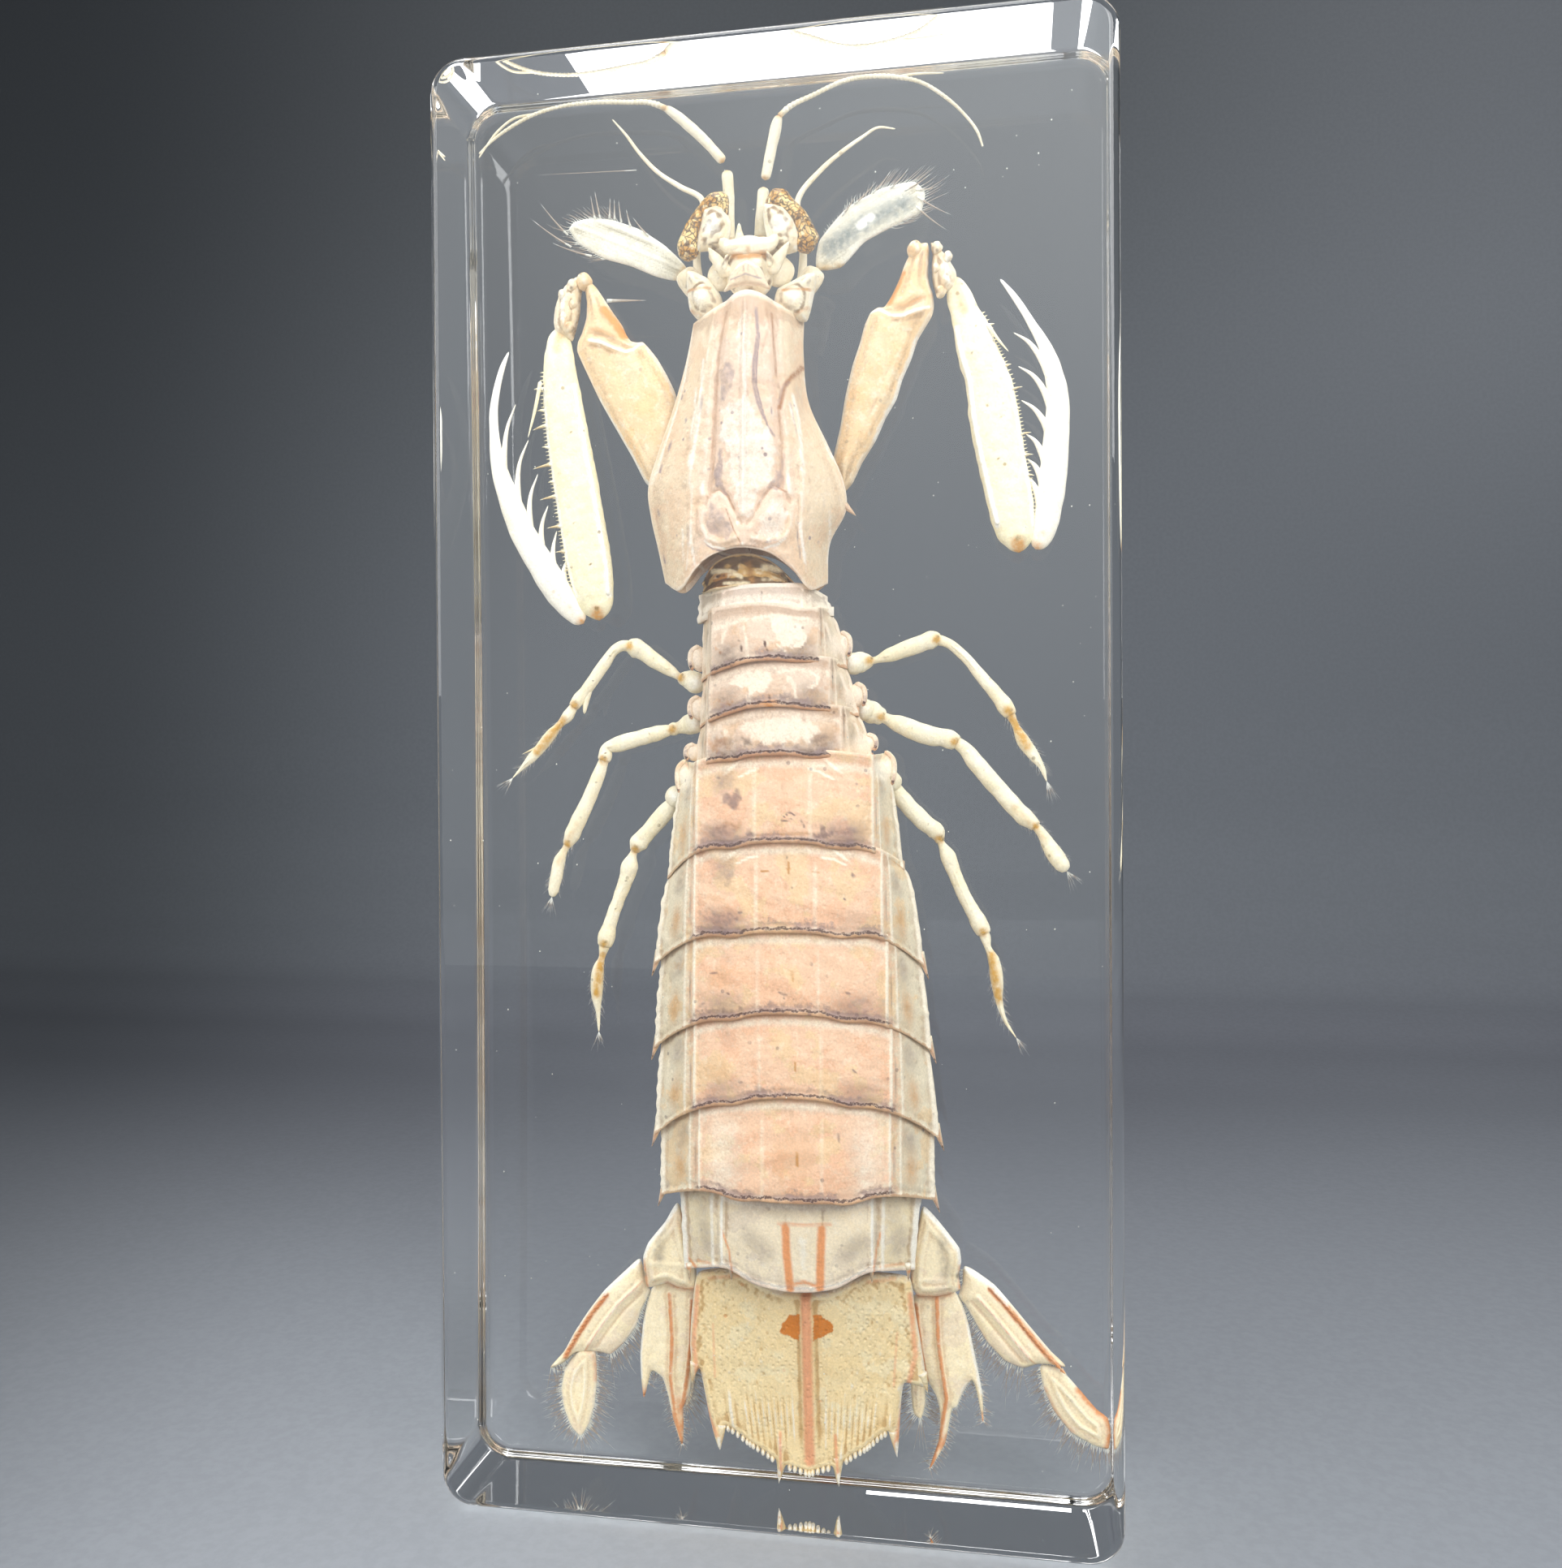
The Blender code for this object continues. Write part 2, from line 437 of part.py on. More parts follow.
def somite_columns(edges, ridges):
    """x of the nine columns of a body ring, from its left edge to its right."""
    left, right = edges
    ridge_left, ridge_right = ridges
    across = [mix(ridge_left, ridge_right, share) for share in (0.0, 0.25, 0.5, 0.75, 1.0)]
    return [left, mix(left, ridge_left, 0.5), *across, mix(right, ridge_right, 0.5), right]


def somite_tops(ridge_top, back_top):
    """Front side y of the nine columns."""
    side = mix(SIDE_TOP, ridge_top, 0.55)
    shoulder = mix(ridge_top, back_top, 0.75)
    return [SIDE_TOP, side, ridge_top, shoulder, back_top, shoulder, ridge_top, side, SIDE_TOP]


def somite_unders():
    """Belly side y of the nine columns."""
    edge = SIDE_TOP + SIDE_THICKNESS
    side = mix(edge, BELLY_CARINA, 0.35)
    shoulder = mix(BELLY_CARINA, BELLY_MIDDLE, 0.7)
    return [edge, side, BELLY_CARINA, shoulder, BELLY_MIDDLE, shoulder, BELLY_CARINA, side, edge]


def rear_margin(name):
    """(x, z) of a ring's rear margin at its nine columns."""
    edges, ridges, heights = SOMITES[name][1], SOMITES[name][2], SOMITES[name][3]
    xs = somite_columns(edges, ridges)
    left, ridge_left, middle, ridge_right, right = heights
    zs = [left, mix(left, ridge_left, 0.6), ridge_left, mix(ridge_left, middle, 0.75), middle,
          mix(ridge_right, middle, 0.75), ridge_right, mix(right, ridge_right, 0.6), right]
    return list(zip(xs, zs))


def make_somite(name, front):
    """One ring of the body between a front margin and its own rear margin."""
    front_edges, rear_edges, ridges, _ = SOMITES[name]
    tops = somite_tops(RIDGE_TOPS.get(name, CARINA_TOP), BACK_TOPS.get(name, BACK_TOP))
    unders = somite_unders()
    rear = rear_margin(name)
    front_xs = somite_columns(front_edges, ridges)
    front_zs = [margin_height(front, x) - JOINT_GAP for x in front_xs]
    stations = []
    for share, rise in ((0.0, 0.0), (0.45, 0.6), (1.0, 1.0)):
        station = []
        for column in range(len(tops)):
            x = mix(front_xs[column], rear[column][0], math.sqrt(share))
            z = mix(front_zs[column], rear[column][1], share)
            top = tops[column] + PLATE_RISE * (1.0 - rise)
            station.append((x, top, unders[column], z))
        stations.append(station)
    ring = column_loft(name, stations)
    return grow_ring_details(ring, name, rear)


def grow_ring_details(ring, name, rear):
    """Adds a ring's side lobes, corner spines and swimming legs."""
    if name in SIDE_LOBES:
        left_x, left_z, right_x, right_z, half = SIDE_LOBES[name]
        for x, z in ((left_x, left_z), (right_x, right_z)):
            fuse(ring, ellipsoid("lobe", (x, LOBE_Y, z), (0.95, 0.9, half), 6, 4, lean=9.0))
    if name in SPINED_SOMITES:
        for corner, inward in ((rear[0], 1.0), (rear[-1], -1.0)):
            foot = (corner[0] + 0.3 * inward, SIDE_TOP + 0.5, corner[1] + 0.6)
            tip = (corner[0] - 0.6 * inward, SIDE_TOP + 0.5, corner[1] - SIDE_SPINE_LENGTH)
            fuse(ring, spike("corner_spine", foot, tip, 0.7))
    if name.startswith("abdominal") and name != "abdominal_somite_6":
        middle_x, middle_z = rear[4]
        for side in (-1, 1):
            centre = (middle_x + side * 4.4, BELLY_MIDDLE + 0.3, middle_z + 4.3)
            fuse(ring, ellipsoid("swimming_leg", centre, (3.2, 1.0, 3.6), 6, 4, lean=side * 12.0))
    return ring


def make_rings():
    """The rings of the body from the collar to the tail, each behind the last."""
    first = next(iter(SOMITES))
    xs = somite_columns(SOMITES[first][0], SOMITES[first][2])
    left, ridge_left, middle, ridge_right, right = COLLAR_FRONT
    zs = (left, mix(left, ridge_left, 0.6), ridge_left, mix(ridge_left, middle, 0.75), middle,
          mix(ridge_right, middle, 0.75), ridge_right, mix(right, ridge_right, 0.6), right)
    front = [(x, z + JOINT_GAP) for x, z in zip(xs, zs)]
    for name in SOMITES:
        make_somite(name, front)
        front = rear_margin(name)


def make_shield():
    """The carapace: a long shield that widens and ends in two rear lobes."""
    stations = []
    front_rise = (0.0, 0.3, 1.0, 1.7, 1.9, 1.6, 0.8, 0.0, -0.4)
    for row, (z, left, groove_left, groove_right, right) in enumerate(SHIELD_STATIONS):
        xs = (left, mix(left, groove_left, 0.45), groove_left, mix(groove_left, groove_right, 0.28),
              mix(groove_left, groove_right, 0.5), mix(groove_left, groove_right, 0.72), groove_right,
              mix(right, groove_right, 0.45), right)
        station = []
        for column, x in enumerate(xs):
            lift = front_rise[column] if row == 0 else 0.0
            sink = 0.9 if row == 0 else 0.0
            station.append((x, SHIELD_TOPS[column] + sink, SHIELD_UNDERS[column], z + lift))
        stations.append(station)
    stations.append([(x, top + 0.5, under, z) for x, top, under, z in
                     zip(SHIELD_REAR_X, SHIELD_TOPS, SHIELD_UNDERS, SHIELD_REAR_Z)])
    shield = column_loft("carapace", stations)
    (foot_x, foot_z), (tip_x, tip_z) = SHIELD_SPINE
    edge_y = (SHIELD_TOPS[0] + SHIELD_UNDERS[0]) / 2
    fuse(shield, spike("side_spine", (foot_x, edge_y, foot_z), (tip_x, edge_y, tip_z), 0.9))
    middle = [(SHIELD_STATIONS[row][2] + SHIELD_STATIONS[row][3]) / 2 for row in (2, 5)]
    ridge = tube("ridge", ((middle[0], 122.0, 0.5), (middle[1], 111.0, 0.8)), 6, y=SHIELD_TOPS[4] - 0.05)
    return fuse(shield, ridge)


def make_rostrum():
    """The hinged plate in front of the shield."""
    rows = ((134.4, -4.7, -0.1), (136.2, -4.2, -0.6), (137.1, -3.1, -1.5))
    stations = []
    for z, left, right in rows:
        middle = (left + right) / 2
        stations.append([(left, -2.6, -1.9, z), (middle, -3.4, -1.9, z), (right, -2.6, -1.9, z)])
    return column_loft("rostrum", stations)


def make_head():
    """The front of the head: the eye plate, its spikes and the trunk below them."""
    rows = ((134.8, -4.9, 0.2, -1.2), (137.6, -4.6, 0.0, -1.2), (138.9, -5.2, 0.4, -1.0),
            (140.5, -5.1, 0.3, -0.6))
    stations = []
    for z, left, right, top in rows:
        middle = (left + right) / 2
        stations.append([(left, top + 0.6, 3.4, z), (middle, top, 4.0, z), (right, top + 0.6, 3.4, z)])
    head = column_loft("head", stations)
    spikes = (((-4.7, 0.4, 137.6), (-7.0, 0.4, 139.4), 1.3), ((0.1, 0.4, 137.3), (2.0, 0.4, 138.9), 1.3),
              ((-3.5, 0.6, 140.4), (-3.5, 0.6, 142.0), 0.8))
    for foot, tip, width in spikes:
        fuse(head, spike("head_spike", foot, tip, width))
    return head


def make_mouthparts():
    """The folded feeding limbs under the shield."""
    middle = (-2.6, -2.6, -2.8)
    stations = []
    for row, (z, half) in enumerate(((130.0, 2.6), (121.0, 3.6), (110.0, 4.2))):
        x = middle[row]
        stations.append([(x - half, 4.2, 6.0, z), (x, 4.2, 7.0, z), (x + half, 4.2, 6.0, z)])
    trunk = column_loft("mouthparts", stations)
    for row in range(3):
        z = 127.0 - row * 5.5
        for side in (-1, 1):
            foot = (-2.7 + side * 1.6, z, 1.8)
            elbow = (-2.7 + side * 5.2, z + 1.6, 1.6)
            hand = (-2.7 + side * 4.2, z - 2.2, 1.3)
            fuse(trunk, tube("folded_limb", (foot, elbow, hand), 4, y=6.1))
    return trunk


def make_neck():
    """The soft rings laid bare between the shield and the collar."""
    front = list(zip(SHIELD_REAR_X, SHIELD_REAR_Z))
    xs = (-7.7, -6.2, -3.2, -0.1, 2.2)
    stations = []
    for share, waist in ((0.0, 0.0), (0.5, 0.35), (1.0, 0.1)):
        station = []
        for column, x in enumerate(xs):
            front_z = margin_height(front, x) - JOINT_GAP
            rear_z = COLLAR_FRONT[min(column + 1, 3)] + 2 * JOINT_GAP
            arch = (1.4, -0.9, -1.6, -0.9, 1.4)[column]
            under = (3.6, 5.4, 6.2, 5.4, 3.6)[column]
            station.append((x * (1 - waist * 0.05), arch + waist, under, mix(front_z, rear_z, share)))
        stations.append(station)
    return column_loft("thorax_neck", stations)


def make_eyes():
    """Each eye: a lens across the end of a short stalk."""
    for side, (stalk, lens, lean) in EYES.items():
        name = f"eye_{side}"
        eye = ellipsoid(name, (lens[0], EYE_Y, lens[1]), LENS_HALF, 10, 8, lean=-lean)
        fuse(eye, ellipsoid("eye_stalk", (stalk[0], EYE_Y, stalk[1]), STALK_HALF, 8, 6))


def make_feelers():
    """Antennules, antennae with their swollen bases, and the antennal scales."""
    for side in ("left", "right"):
        tube(f"antennule_{side}", ANTENNULES[side], ANTENNULE_SIDES)
        x, z = ANTENNA_BULBS[side]
        antenna = ellipsoid(f"antenna_{side}", (x, BULB_Y, z), BULB_HALF)
        fuse(antenna, tube("stalk", ANTENNA_STALKS[side], ANTENNULE_SIDES, y=STALK_Y))
        plate(f"antennal_scale_{side}", SCALES[side], LIMB_PLANE - SCALE_THICKNESS / 2, SCALE_THICKNESS)


def make_claws():
    """The folded striking claws with their teeth and combs."""
    y = LIMB_PLANE + 0.06
    for side in ("left", "right"):
        tube(f"claw_merus_{side}", MERUS[side], CLAW_SIDES, FLATTENING)
        tube(f"claw_carpus_{side}", CARPUS[side], CLAW_SIDES, 0.9)
        hand = tube(f"claw_propodus_{side}", PROPODUS[side], CLAW_SIDES, FLATTENING)
        for foot_x, foot_z, tip_x, tip_z in COMB[side]:
            fuse(hand, spike("comb", (foot_x, y, foot_z), (tip_x, y, tip_z), COMB_WIDTH))
        finger = tube(f"claw_dactyl_{side}", DACTYL[side], CLAW_SIDES, FLATTENING)
        for foot_x, foot_z, tip_x, tip_z in DACTYL_TEETH[side]:
            fuse(finger, spike("tooth", (foot_x, y, foot_z), (tip_x, y, tip_z), TOOTH_WIDTH))


def make_legs():
    """The three pairs of walking legs."""
    for name, route in LEGS.items():
        leg = tube(name, route, LEG_SIDES)
        if name == "leg_1_left":
            fuse(leg, tube("twig", LEG_TWIG, LEG_SIDES))


def make_telson():
    """The tail plate: a toothed outline, a low dome and a ridge along it."""
    telson = plate("telson", TELSON_OUTLINE, TELSON_TOP, TELSON_THICKNESS)
    stations = []
    for z, half, height in TELSON_DOME:
        along = (TELSON_DOME[0][0] - z) / (TELSON_DOME[0][0] - TELSON_DOME[-1][0])
        middle = mix(*TELSON_MIDDLE, along)
        station = []
        for share in (-1.0, -0.6, -0.25, 0.25, 0.6, 1.0):
            top = TELSON_TOP + 0.2 - height * (1 - share * share)
            station.append((middle + half * share, top, TELSON_TOP + 0.9, z))
        stations.append(station)
    ridge = tube("ridge", TELSON_RIDGE, 6, y=TELSON_RIDGE_Y)
    return fuse(telson, column_loft("dome", stations), ridge)


def make_uropods():
    """The side blades of the tail fan."""
    for side in ("left", "right"):
        plate(f"uropod_base_{side}", UROPOD_BASES[side], FAN_TOP, FAN_THICKNESS)
        plate(f"uropod_paddle_{side}", PADDLES[side], FAN_TOP, FAN_THICKNESS)
        plate(f"uropod_paddle_tip_{side}", PADDLE_TIPS[side], FAN_TOP, FAN_THICKNESS)
        plate(f"uropod_inner_{side}", INNER_LOBES[side], INNER_LOBE_TOP, INNER_LOBE_THICKNESS)


def bow(run):
    """How far the knots of a run stray from the line between its ends."""
    (x0, z0, _), (x1, z1, _) = run[0], run[-1]
    length = math.hypot(x1 - x0, z1 - z0)
    return max(abs((x1 - x0) * (z - z0) - (z1 - z0) * (x - x0)) / length for x, z, _ in run)


def straight_runs(route):
    """Splits a limb's route into runs that are nearly straight."""
    runs = []
    start = 0
    while start < len(route) - 1:
        end = start + 1
        while end + 1 < len(route) and bow(route[start:end + 2]) < POCKET_BOW:
            end += 1
        runs.append(route[start:end + 1])
        start = end
    return runs


def pocket_cutter(name, points, sides, lean=0.0, domed=False):
    """A many-sided box that keeps the clearance from all points and crosses the parting."""
    ways = [Vector((math.cos(lean + turn * math.tau / sides), 0.0, math.sin(lean + turn * math.tau / sides)))
            for turn in range(sides)]
    if domed:
        ways += [Vector((x, -1.0, z)).normalized() for x, z in ((1.0, 0.0), (-1.0, 0.0), (0.0, 1.0), (0.0, -1.0))]
    low = min(min(p.y for p in points), (LIMB_PLANE - PARTING_REACH) * MM) - POCKET_CLEARANCE * MM
    high = max(max(p.y for p in points), (LIMB_PLANE + PARTING_REACH) * MM) + POCKET_CLEARANCE * MM
    shape = bmesh.new()
    bmesh.ops.create_cube(shape, size=4 * BLOCK_HEIGHT * MM)
    limits = [(way, max(way.dot(p) for p in points) + POCKET_CLEARANCE * MM) for way in ways]
    limits += [(Vector((0.0, 1.0, 0.0)), high), (Vector((0.0, -1.0, 0.0)), -low)]
    limits += [(Vector((0.0, 0.0, 1.0)), (BLOCK_HEIGHT - LEAST_WALL) * MM)]
    limits += [(Vector((side, 0.0, 0.0)), (BLOCK_WIDTH / 2 - LEAST_WALL) * MM) for side in (1.0, -1.0)]
    for way, support in limits:
        bmesh.ops.bisect_plane(shape, geom=shape.verts[:] + shape.edges[:] + shape.faces[:],
                               plane_co=way * support, plane_no=way, clear_outer=True)
        rim = [edge for edge in shape.edges if edge.is_boundary]
        if rim:
            bmesh.ops.contextual_create(shape, geom=rim)
    cutter = from_bmesh(name, shape)
    PARTS.objects.unlink(cutter)
    CUTTERS.objects.link(cutter)
    cutter.hide_render = True
    cutter.display_type = "WIRE"


def pocket_round_pieces(name, members, sides, domed):
    """A cutter round whole pieces."""
    points = [bpy.data.objects[member].matrix_world @ vertex.co
              for member in members for vertex in bpy.data.objects[member].data.vertices]
    pocket_cutter(name, points, sides, lean=math.pi / sides, domed=domed)


def pocket_along_route(name, route, y):
    """Boxes along the straight runs of a limb."""
    for number, run in enumerate(straight_runs(route)):
        points = [point(x + across * width / 2, y + through * width / 2, z + along * width / 2)
                  for x, z, width in run
                  for across in (-1, 1) for through in (-1, 1) for along in (-1, 1)]
        lean = math.atan2(run[-1][1] - run[0][1], run[-1][0] - run[0][0])
        pocket_cutter(f"{name}_{number}", points, 4, lean=lean)


def make_pocket():
    """The hollow that the specimen lies in, as cutters for the block's halves."""
    rings = list(SOMITES)
    pocket_round_pieces("pocket_shield", ["carapace", "mouthparts", "thorax_neck"], 8, True)
    pocket_round_pieces("pocket_head", ["head", "rostrum", "antenna_left", "antenna_right", "eye_left",
                                        "eye_right"], 8, True)
    pocket_round_pieces("pocket_thorax", rings[:4], 8, True)
    pocket_round_pieces("pocket_abdomen", rings[4:9], 12, True)
    pocket_round_pieces("pocket_tail", [rings[9], "telson"], 12, True)
    for side in ("left", "right"):
        pocket_round_pieces(f"pocket_claw_{side}", [f"claw_carpus_{side}", f"claw_propodus_{side}",
                                                    f"claw_dactyl_{side}"], 12, False)
        pocket_round_pieces(f"pocket_fan_{side}", [f"uropod_base_{side}", f"uropod_inner_{side}",
                                                   f"uropod_paddle_{side}", f"uropod_paddle_tip_{side}"],
                            12, False)
        pocket_round_pieces(f"pocket_scale_{side}", [f"antennal_scale_{side}"], 8, False)
        pocket_along_route(f"pocket_merus_{side}", MERUS[side], LIMB_PLANE)
        pocket_along_route(f"pocket_antennule_{side}", ANTENNULES[side], LIMB_PLANE)
        pocket_along_route(f"pocket_antenna_{side}", ANTENNA_STALKS[side][3:], STALK_Y)
    for name, route in LEGS.items():
        pocket_along_route(f"pocket_{name}", route, LIMB_PLANE)
    pocket_along_route("pocket_twig", LEG_TWIG, LIMB_PLANE)


def make_block():
    """The rounded block, parted at the limb plane, each half with its share of the pocket."""
    for name, near, far in (("block_front", -BLOCK_DEPTH / 2, LIMB_PLANE - PARTING_GAP / 2),
                            ("block_back", LIMB_PLANE + PARTING_GAP / 2, BLOCK_DEPTH / 2)):
        shape = bmesh.new()
        bmesh.ops.create_cube(shape, size=1.0)
        shape.transform(Matrix.Translation(point(0.0, 0.0, BLOCK_HEIGHT / 2)) @ Matrix.Diagonal(
            (BLOCK_WIDTH * MM, BLOCK_DEPTH * MM, BLOCK_HEIGHT * MM, 1.0)))
        corners = [edge for edge in shape.edges
                   if abs(edge.verts[0].co.y - edge.verts[1].co.y) > BLOCK_DEPTH * MM / 2]
        bmesh.ops.bevel(shape, geom=corners, offset=CORNER_RADIUS * MM, segments=4, profile=0.5,
                        affect="EDGES")
        rims = [edge for edge in shape.edges
                if abs(edge.verts[0].co.y - edge.verts[1].co.y) < MM]
        bmesh.ops.bevel(shape, geom=rims, offset=EDGE_RADIUS * MM, segments=3, profile=0.5,
                        affect="EDGES")
        for y, side in ((near, -1.0), (far, 1.0)):
            bmesh.ops.bisect_plane(shape, geom=shape.verts[:] + shape.edges[:] + shape.faces[:],
                                   plane_co=point(0.0, y, 0.0), plane_no=(0.0, side, 0.0),
                                   clear_outer=True)
        rim = [edge for edge in shape.edges if edge.is_boundary]
        bmesh.ops.contextual_create(shape, geom=rim)
        half = from_bmesh(name, shape)
        hollow = half.modifiers.new("pocket", "BOOLEAN")
        hollow.operation = "DIFFERENCE"
        hollow.solver = "EXACT"
        hollow.operand_type = "COLLECTION"
        hollow.collection = CUTTERS


def paint():
    """Gives each piece its own material and smooths the round ones."""
    finishes = (
        ("block", RESIN, 0.03), ("eye", EYE_GOLD, 0.35), ("claw_merus", PEACH, 0.45),
        ("claw", IVORY, 0.4), ("leg", IVORY, 0.5), ("ante", IVORY, 0.5), ("head", IVORY, 0.5),
        ("rostrum", PINK_CREAM, 0.5), ("carapace", PINK_CREAM, 0.45), ("thorax_neck", OCHRE, 0.6),
        ("mouthparts", IVORY, 0.55), ("thoracic", PINK_CREAM, 0.5), ("abdominal", PEACH, 0.5),
        ("telson", GREY_CREAM, 0.5), ("uropod", GREY_CREAM, 0.5),
    )
    for piece in PARTS.objects:
        colour, roughness = next((c, r) for start, c, r in finishes if piece.name.startswith(start))
        piece.data.materials.clear()
        piece.data.materials.append(make_material(f"{piece.name}_finish", colour, roughness))
        flat = piece.name.startswith("block")
        for face in piece.data.polygons:
            face.use_smooth = not flat


clear_scene()
PARTS = make_collection("mantis_shrimp_in_resin_block")
CUTTERS = make_collection("pocket_cutters")
make_shield()
make_rostrum()
make_head()
make_mouthparts()
make_neck()
make_rings()
make_telson()
make_uropods()
make_eyes()
make_feelers()
make_claws()
make_legs()
make_pocket()
make_block()
paint()
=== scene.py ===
import math
import bpy
import bmesh
import numpy as np
from mathutils import Matrix, Vector
from mathutils.geometry import delaunay_2d_cdt


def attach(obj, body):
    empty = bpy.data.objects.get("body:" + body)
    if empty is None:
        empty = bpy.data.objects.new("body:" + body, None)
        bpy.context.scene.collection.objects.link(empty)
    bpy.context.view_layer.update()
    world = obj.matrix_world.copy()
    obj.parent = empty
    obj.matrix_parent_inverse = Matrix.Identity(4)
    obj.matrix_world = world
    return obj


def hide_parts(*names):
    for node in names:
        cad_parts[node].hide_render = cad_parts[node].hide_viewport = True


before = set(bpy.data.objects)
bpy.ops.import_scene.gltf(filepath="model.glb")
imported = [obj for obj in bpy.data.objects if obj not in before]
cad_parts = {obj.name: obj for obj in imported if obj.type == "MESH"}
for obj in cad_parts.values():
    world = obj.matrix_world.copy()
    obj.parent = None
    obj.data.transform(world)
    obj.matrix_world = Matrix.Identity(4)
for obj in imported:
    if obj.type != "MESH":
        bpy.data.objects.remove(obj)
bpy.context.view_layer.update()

# Lengths are in millimetres until a mesh is made. X runs across the block, Y from its front face
# to its back, Z up.
MM = 0.001
BLOCK_WIDTH = 74.0
BLOCK_DEPTH = 22.0
BLOCK_HEIGHT = 160.0
CORNER_RADIUS = 3.8
EDGE_RADIUS = 1.3
LIMB_PLANE = 5.0  # y of the limbs' middle
STEP = 0.22  # usual spacing of the points on plates and limbs
SIDES = (("left", -1), ("right", 1))  # each side and the way it lies from the middle

BACK_TOP = -4.2
CARINA_TOP = -2.2
SIDE_TOP = 2.6
SIDE_THICKNESS = 0.7
BELLY_CARINA = 6.2
BELLY_MIDDLE = 7.3
BELLY_LIMBS = 8.1
PLATE_RISE = 0.6
TUCK = 0.8  # how far a ring's front slips under the margin before it
RIM = 0.45  # width of a rear margin's raised rim
KEYS = (-1.0, -0.8, -0.6, -0.3, 0.0, 0.3, 0.6, 0.8, 1.0)  # the nine columns across a ring


def rows(text, width=2):
    """A text of numbers as rows: x and z, or x, z and the width there."""
    numbers = [float(word) for word in text.split()]
    return [tuple(numbers[start:start + width]) for start in range(0, len(numbers), width)]


def both(left, right, width=2):
    return {"left": rows(left, width), "right": rows(right, width)}


# Each somite: edge x at its front (left, right), edge x at its rear (left, right),
# ridge x (left, right), rear margin z (left edge, left ridge, middle, right ridge, right edge)
SOMITES = {
    "thoracic_somite_5": ((-8.8, 5.8), (-8.9, 6.5), (-5.6, 3.4), (98.2, 98.8, 99.1, 98.5, 98.7)),
    "thoracic_somite_6": ((-8.3, 6.2), (-8.5, 8.0), (-6.6, 5.2), (91.6, 92.2, 93.5, 93.2, 92.8)),
    "thoracic_somite_7": ((-8.3, 7.6), (-8.8, 9.2), (-6.9, 6.4), (86.4, 87.0, 88.5, 87.9, 87.5)),
    "thoracic_somite_8": ((-8.6, 9.0), (-9.3, 10.8), (-7.2, 7.6), (81.6, 82.3, 83.2, 82.8, 82.4)),
    "abdominal_somite_1": ((-10.4, 11.9), (-12.7, 14.1), (-8.4, 11.0), (69.3, 72.5, 73.7, 72.6, 70.4)),
    "abdominal_somite_2": ((-12.4, 14.2), (-14.2, 16.3), (-8.7, 11.9), (59.6, 62.9, 63.9, 63.2, 59.9)),
    "abdominal_somite_3": ((-13.4, 15.6), (-14.3, 17.1), (-8.8, 12.4), (50.0, 53.4, 55.0, 53.7, 50.6)),
    "abdominal_somite_4": ((-13.5, 16.3), (-14.3, 17.9), (-8.8, 12.8), (40.1, 43.9, 45.8, 44.4, 41.0)),
    "abdominal_somite_5": ((-13.7, 17.3), (-13.6, 17.4), (-8.3, 12.6), (33.3, 34.9, 34.4, 35.3, 34.2)),
    "abdominal_somite_6": ((-11.7, 16.1), (-10.9, 15.2), (-6.0, 10.6), (25.0, 26.2, 24.2, 26.7, 26.4)),
}
COLLAR_FRONT = (100.6, 101.0, 101.3, 101.1, 100.3)
RIDGE_TOPS = {"thoracic_somite_5": -1.2, "abdominal_somite_6": -0.9}
BACK_TOPS = {"thoracic_somite_5": -2.6, "abdominal_somite_6": -2.0}
LAST_RING = "abdominal_somite_6"
BELLY_RINGS = ["abdominal_somite_%d" % number for number in range(1, 6)]  # they bear swimming legs
SPINED_RINGS = BELLY_RINGS[1:]
SIDE_LOBES = {  # x left and right, z left and right of the knobs at a ring's sides, their half height
    "thoracic_somite_6": ((-8.9, 7.4), (94.2, 95.4), 1.5),
    "thoracic_somite_7": ((-9.0, 9.0), (88.6, 89.8), 1.4),
    "thoracic_somite_8": ((-9.5, 10.2), (83.6, 84.5), 1.0),
    "abdominal_somite_1": ((-10.5, 12.2), (80.8, 81.6), 2.0),
}

# The shield at each station: z, and x of its left edge, left groove, right groove and right edge
SHIELD_STATIONS = (
    (132.0, -9.2, -5.0, 0.6, 3.4), (127.4, -10.0, -5.4, 0.9, 3.4), (122.4, -11.5, -5.8, 1.2, 3.9),
    (117.6, -13.3, -6.2, 1.5, 6.0), (113.6, -14.5, -6.6, 1.8, 7.7), (110.2, -14.2, -7.0, 2.0, 8.0),
    (106.6, -13.4, -7.4, 2.2, 6.2),
)
SHIELD_KEYS = (-1.0, -0.8, -0.55, -0.28, 0.0, 0.28, 0.55, 0.8, 1.0)
SHIELD_FRONT_SINK = 0.9
SHIELD_FRONT_RISE = (0.0, 0.3, 1.0, 1.7, 1.9, 1.6, 0.8, 0.0, -0.4)
SHIELD_REAR_X = (-12.7, -10.6, -8.3, -6.2, -3.2, -0.1, 2.4, 4.3, 5.9)
SHIELD_REAR_Z = (102.9, 101.7, 103.9, 105.3, 105.9, 105.3, 103.5, 101.4, 102.3)
SHIELD_TOPS = (1.8, -1.2, -3.3, -4.2, -4.5, -4.2, -3.3, -1.2, 1.8)
SHIELD_UNDERS = (2.4, 2.8, 3.2, 3.5, 3.6, 3.5, 3.2, 2.8, 2.4)

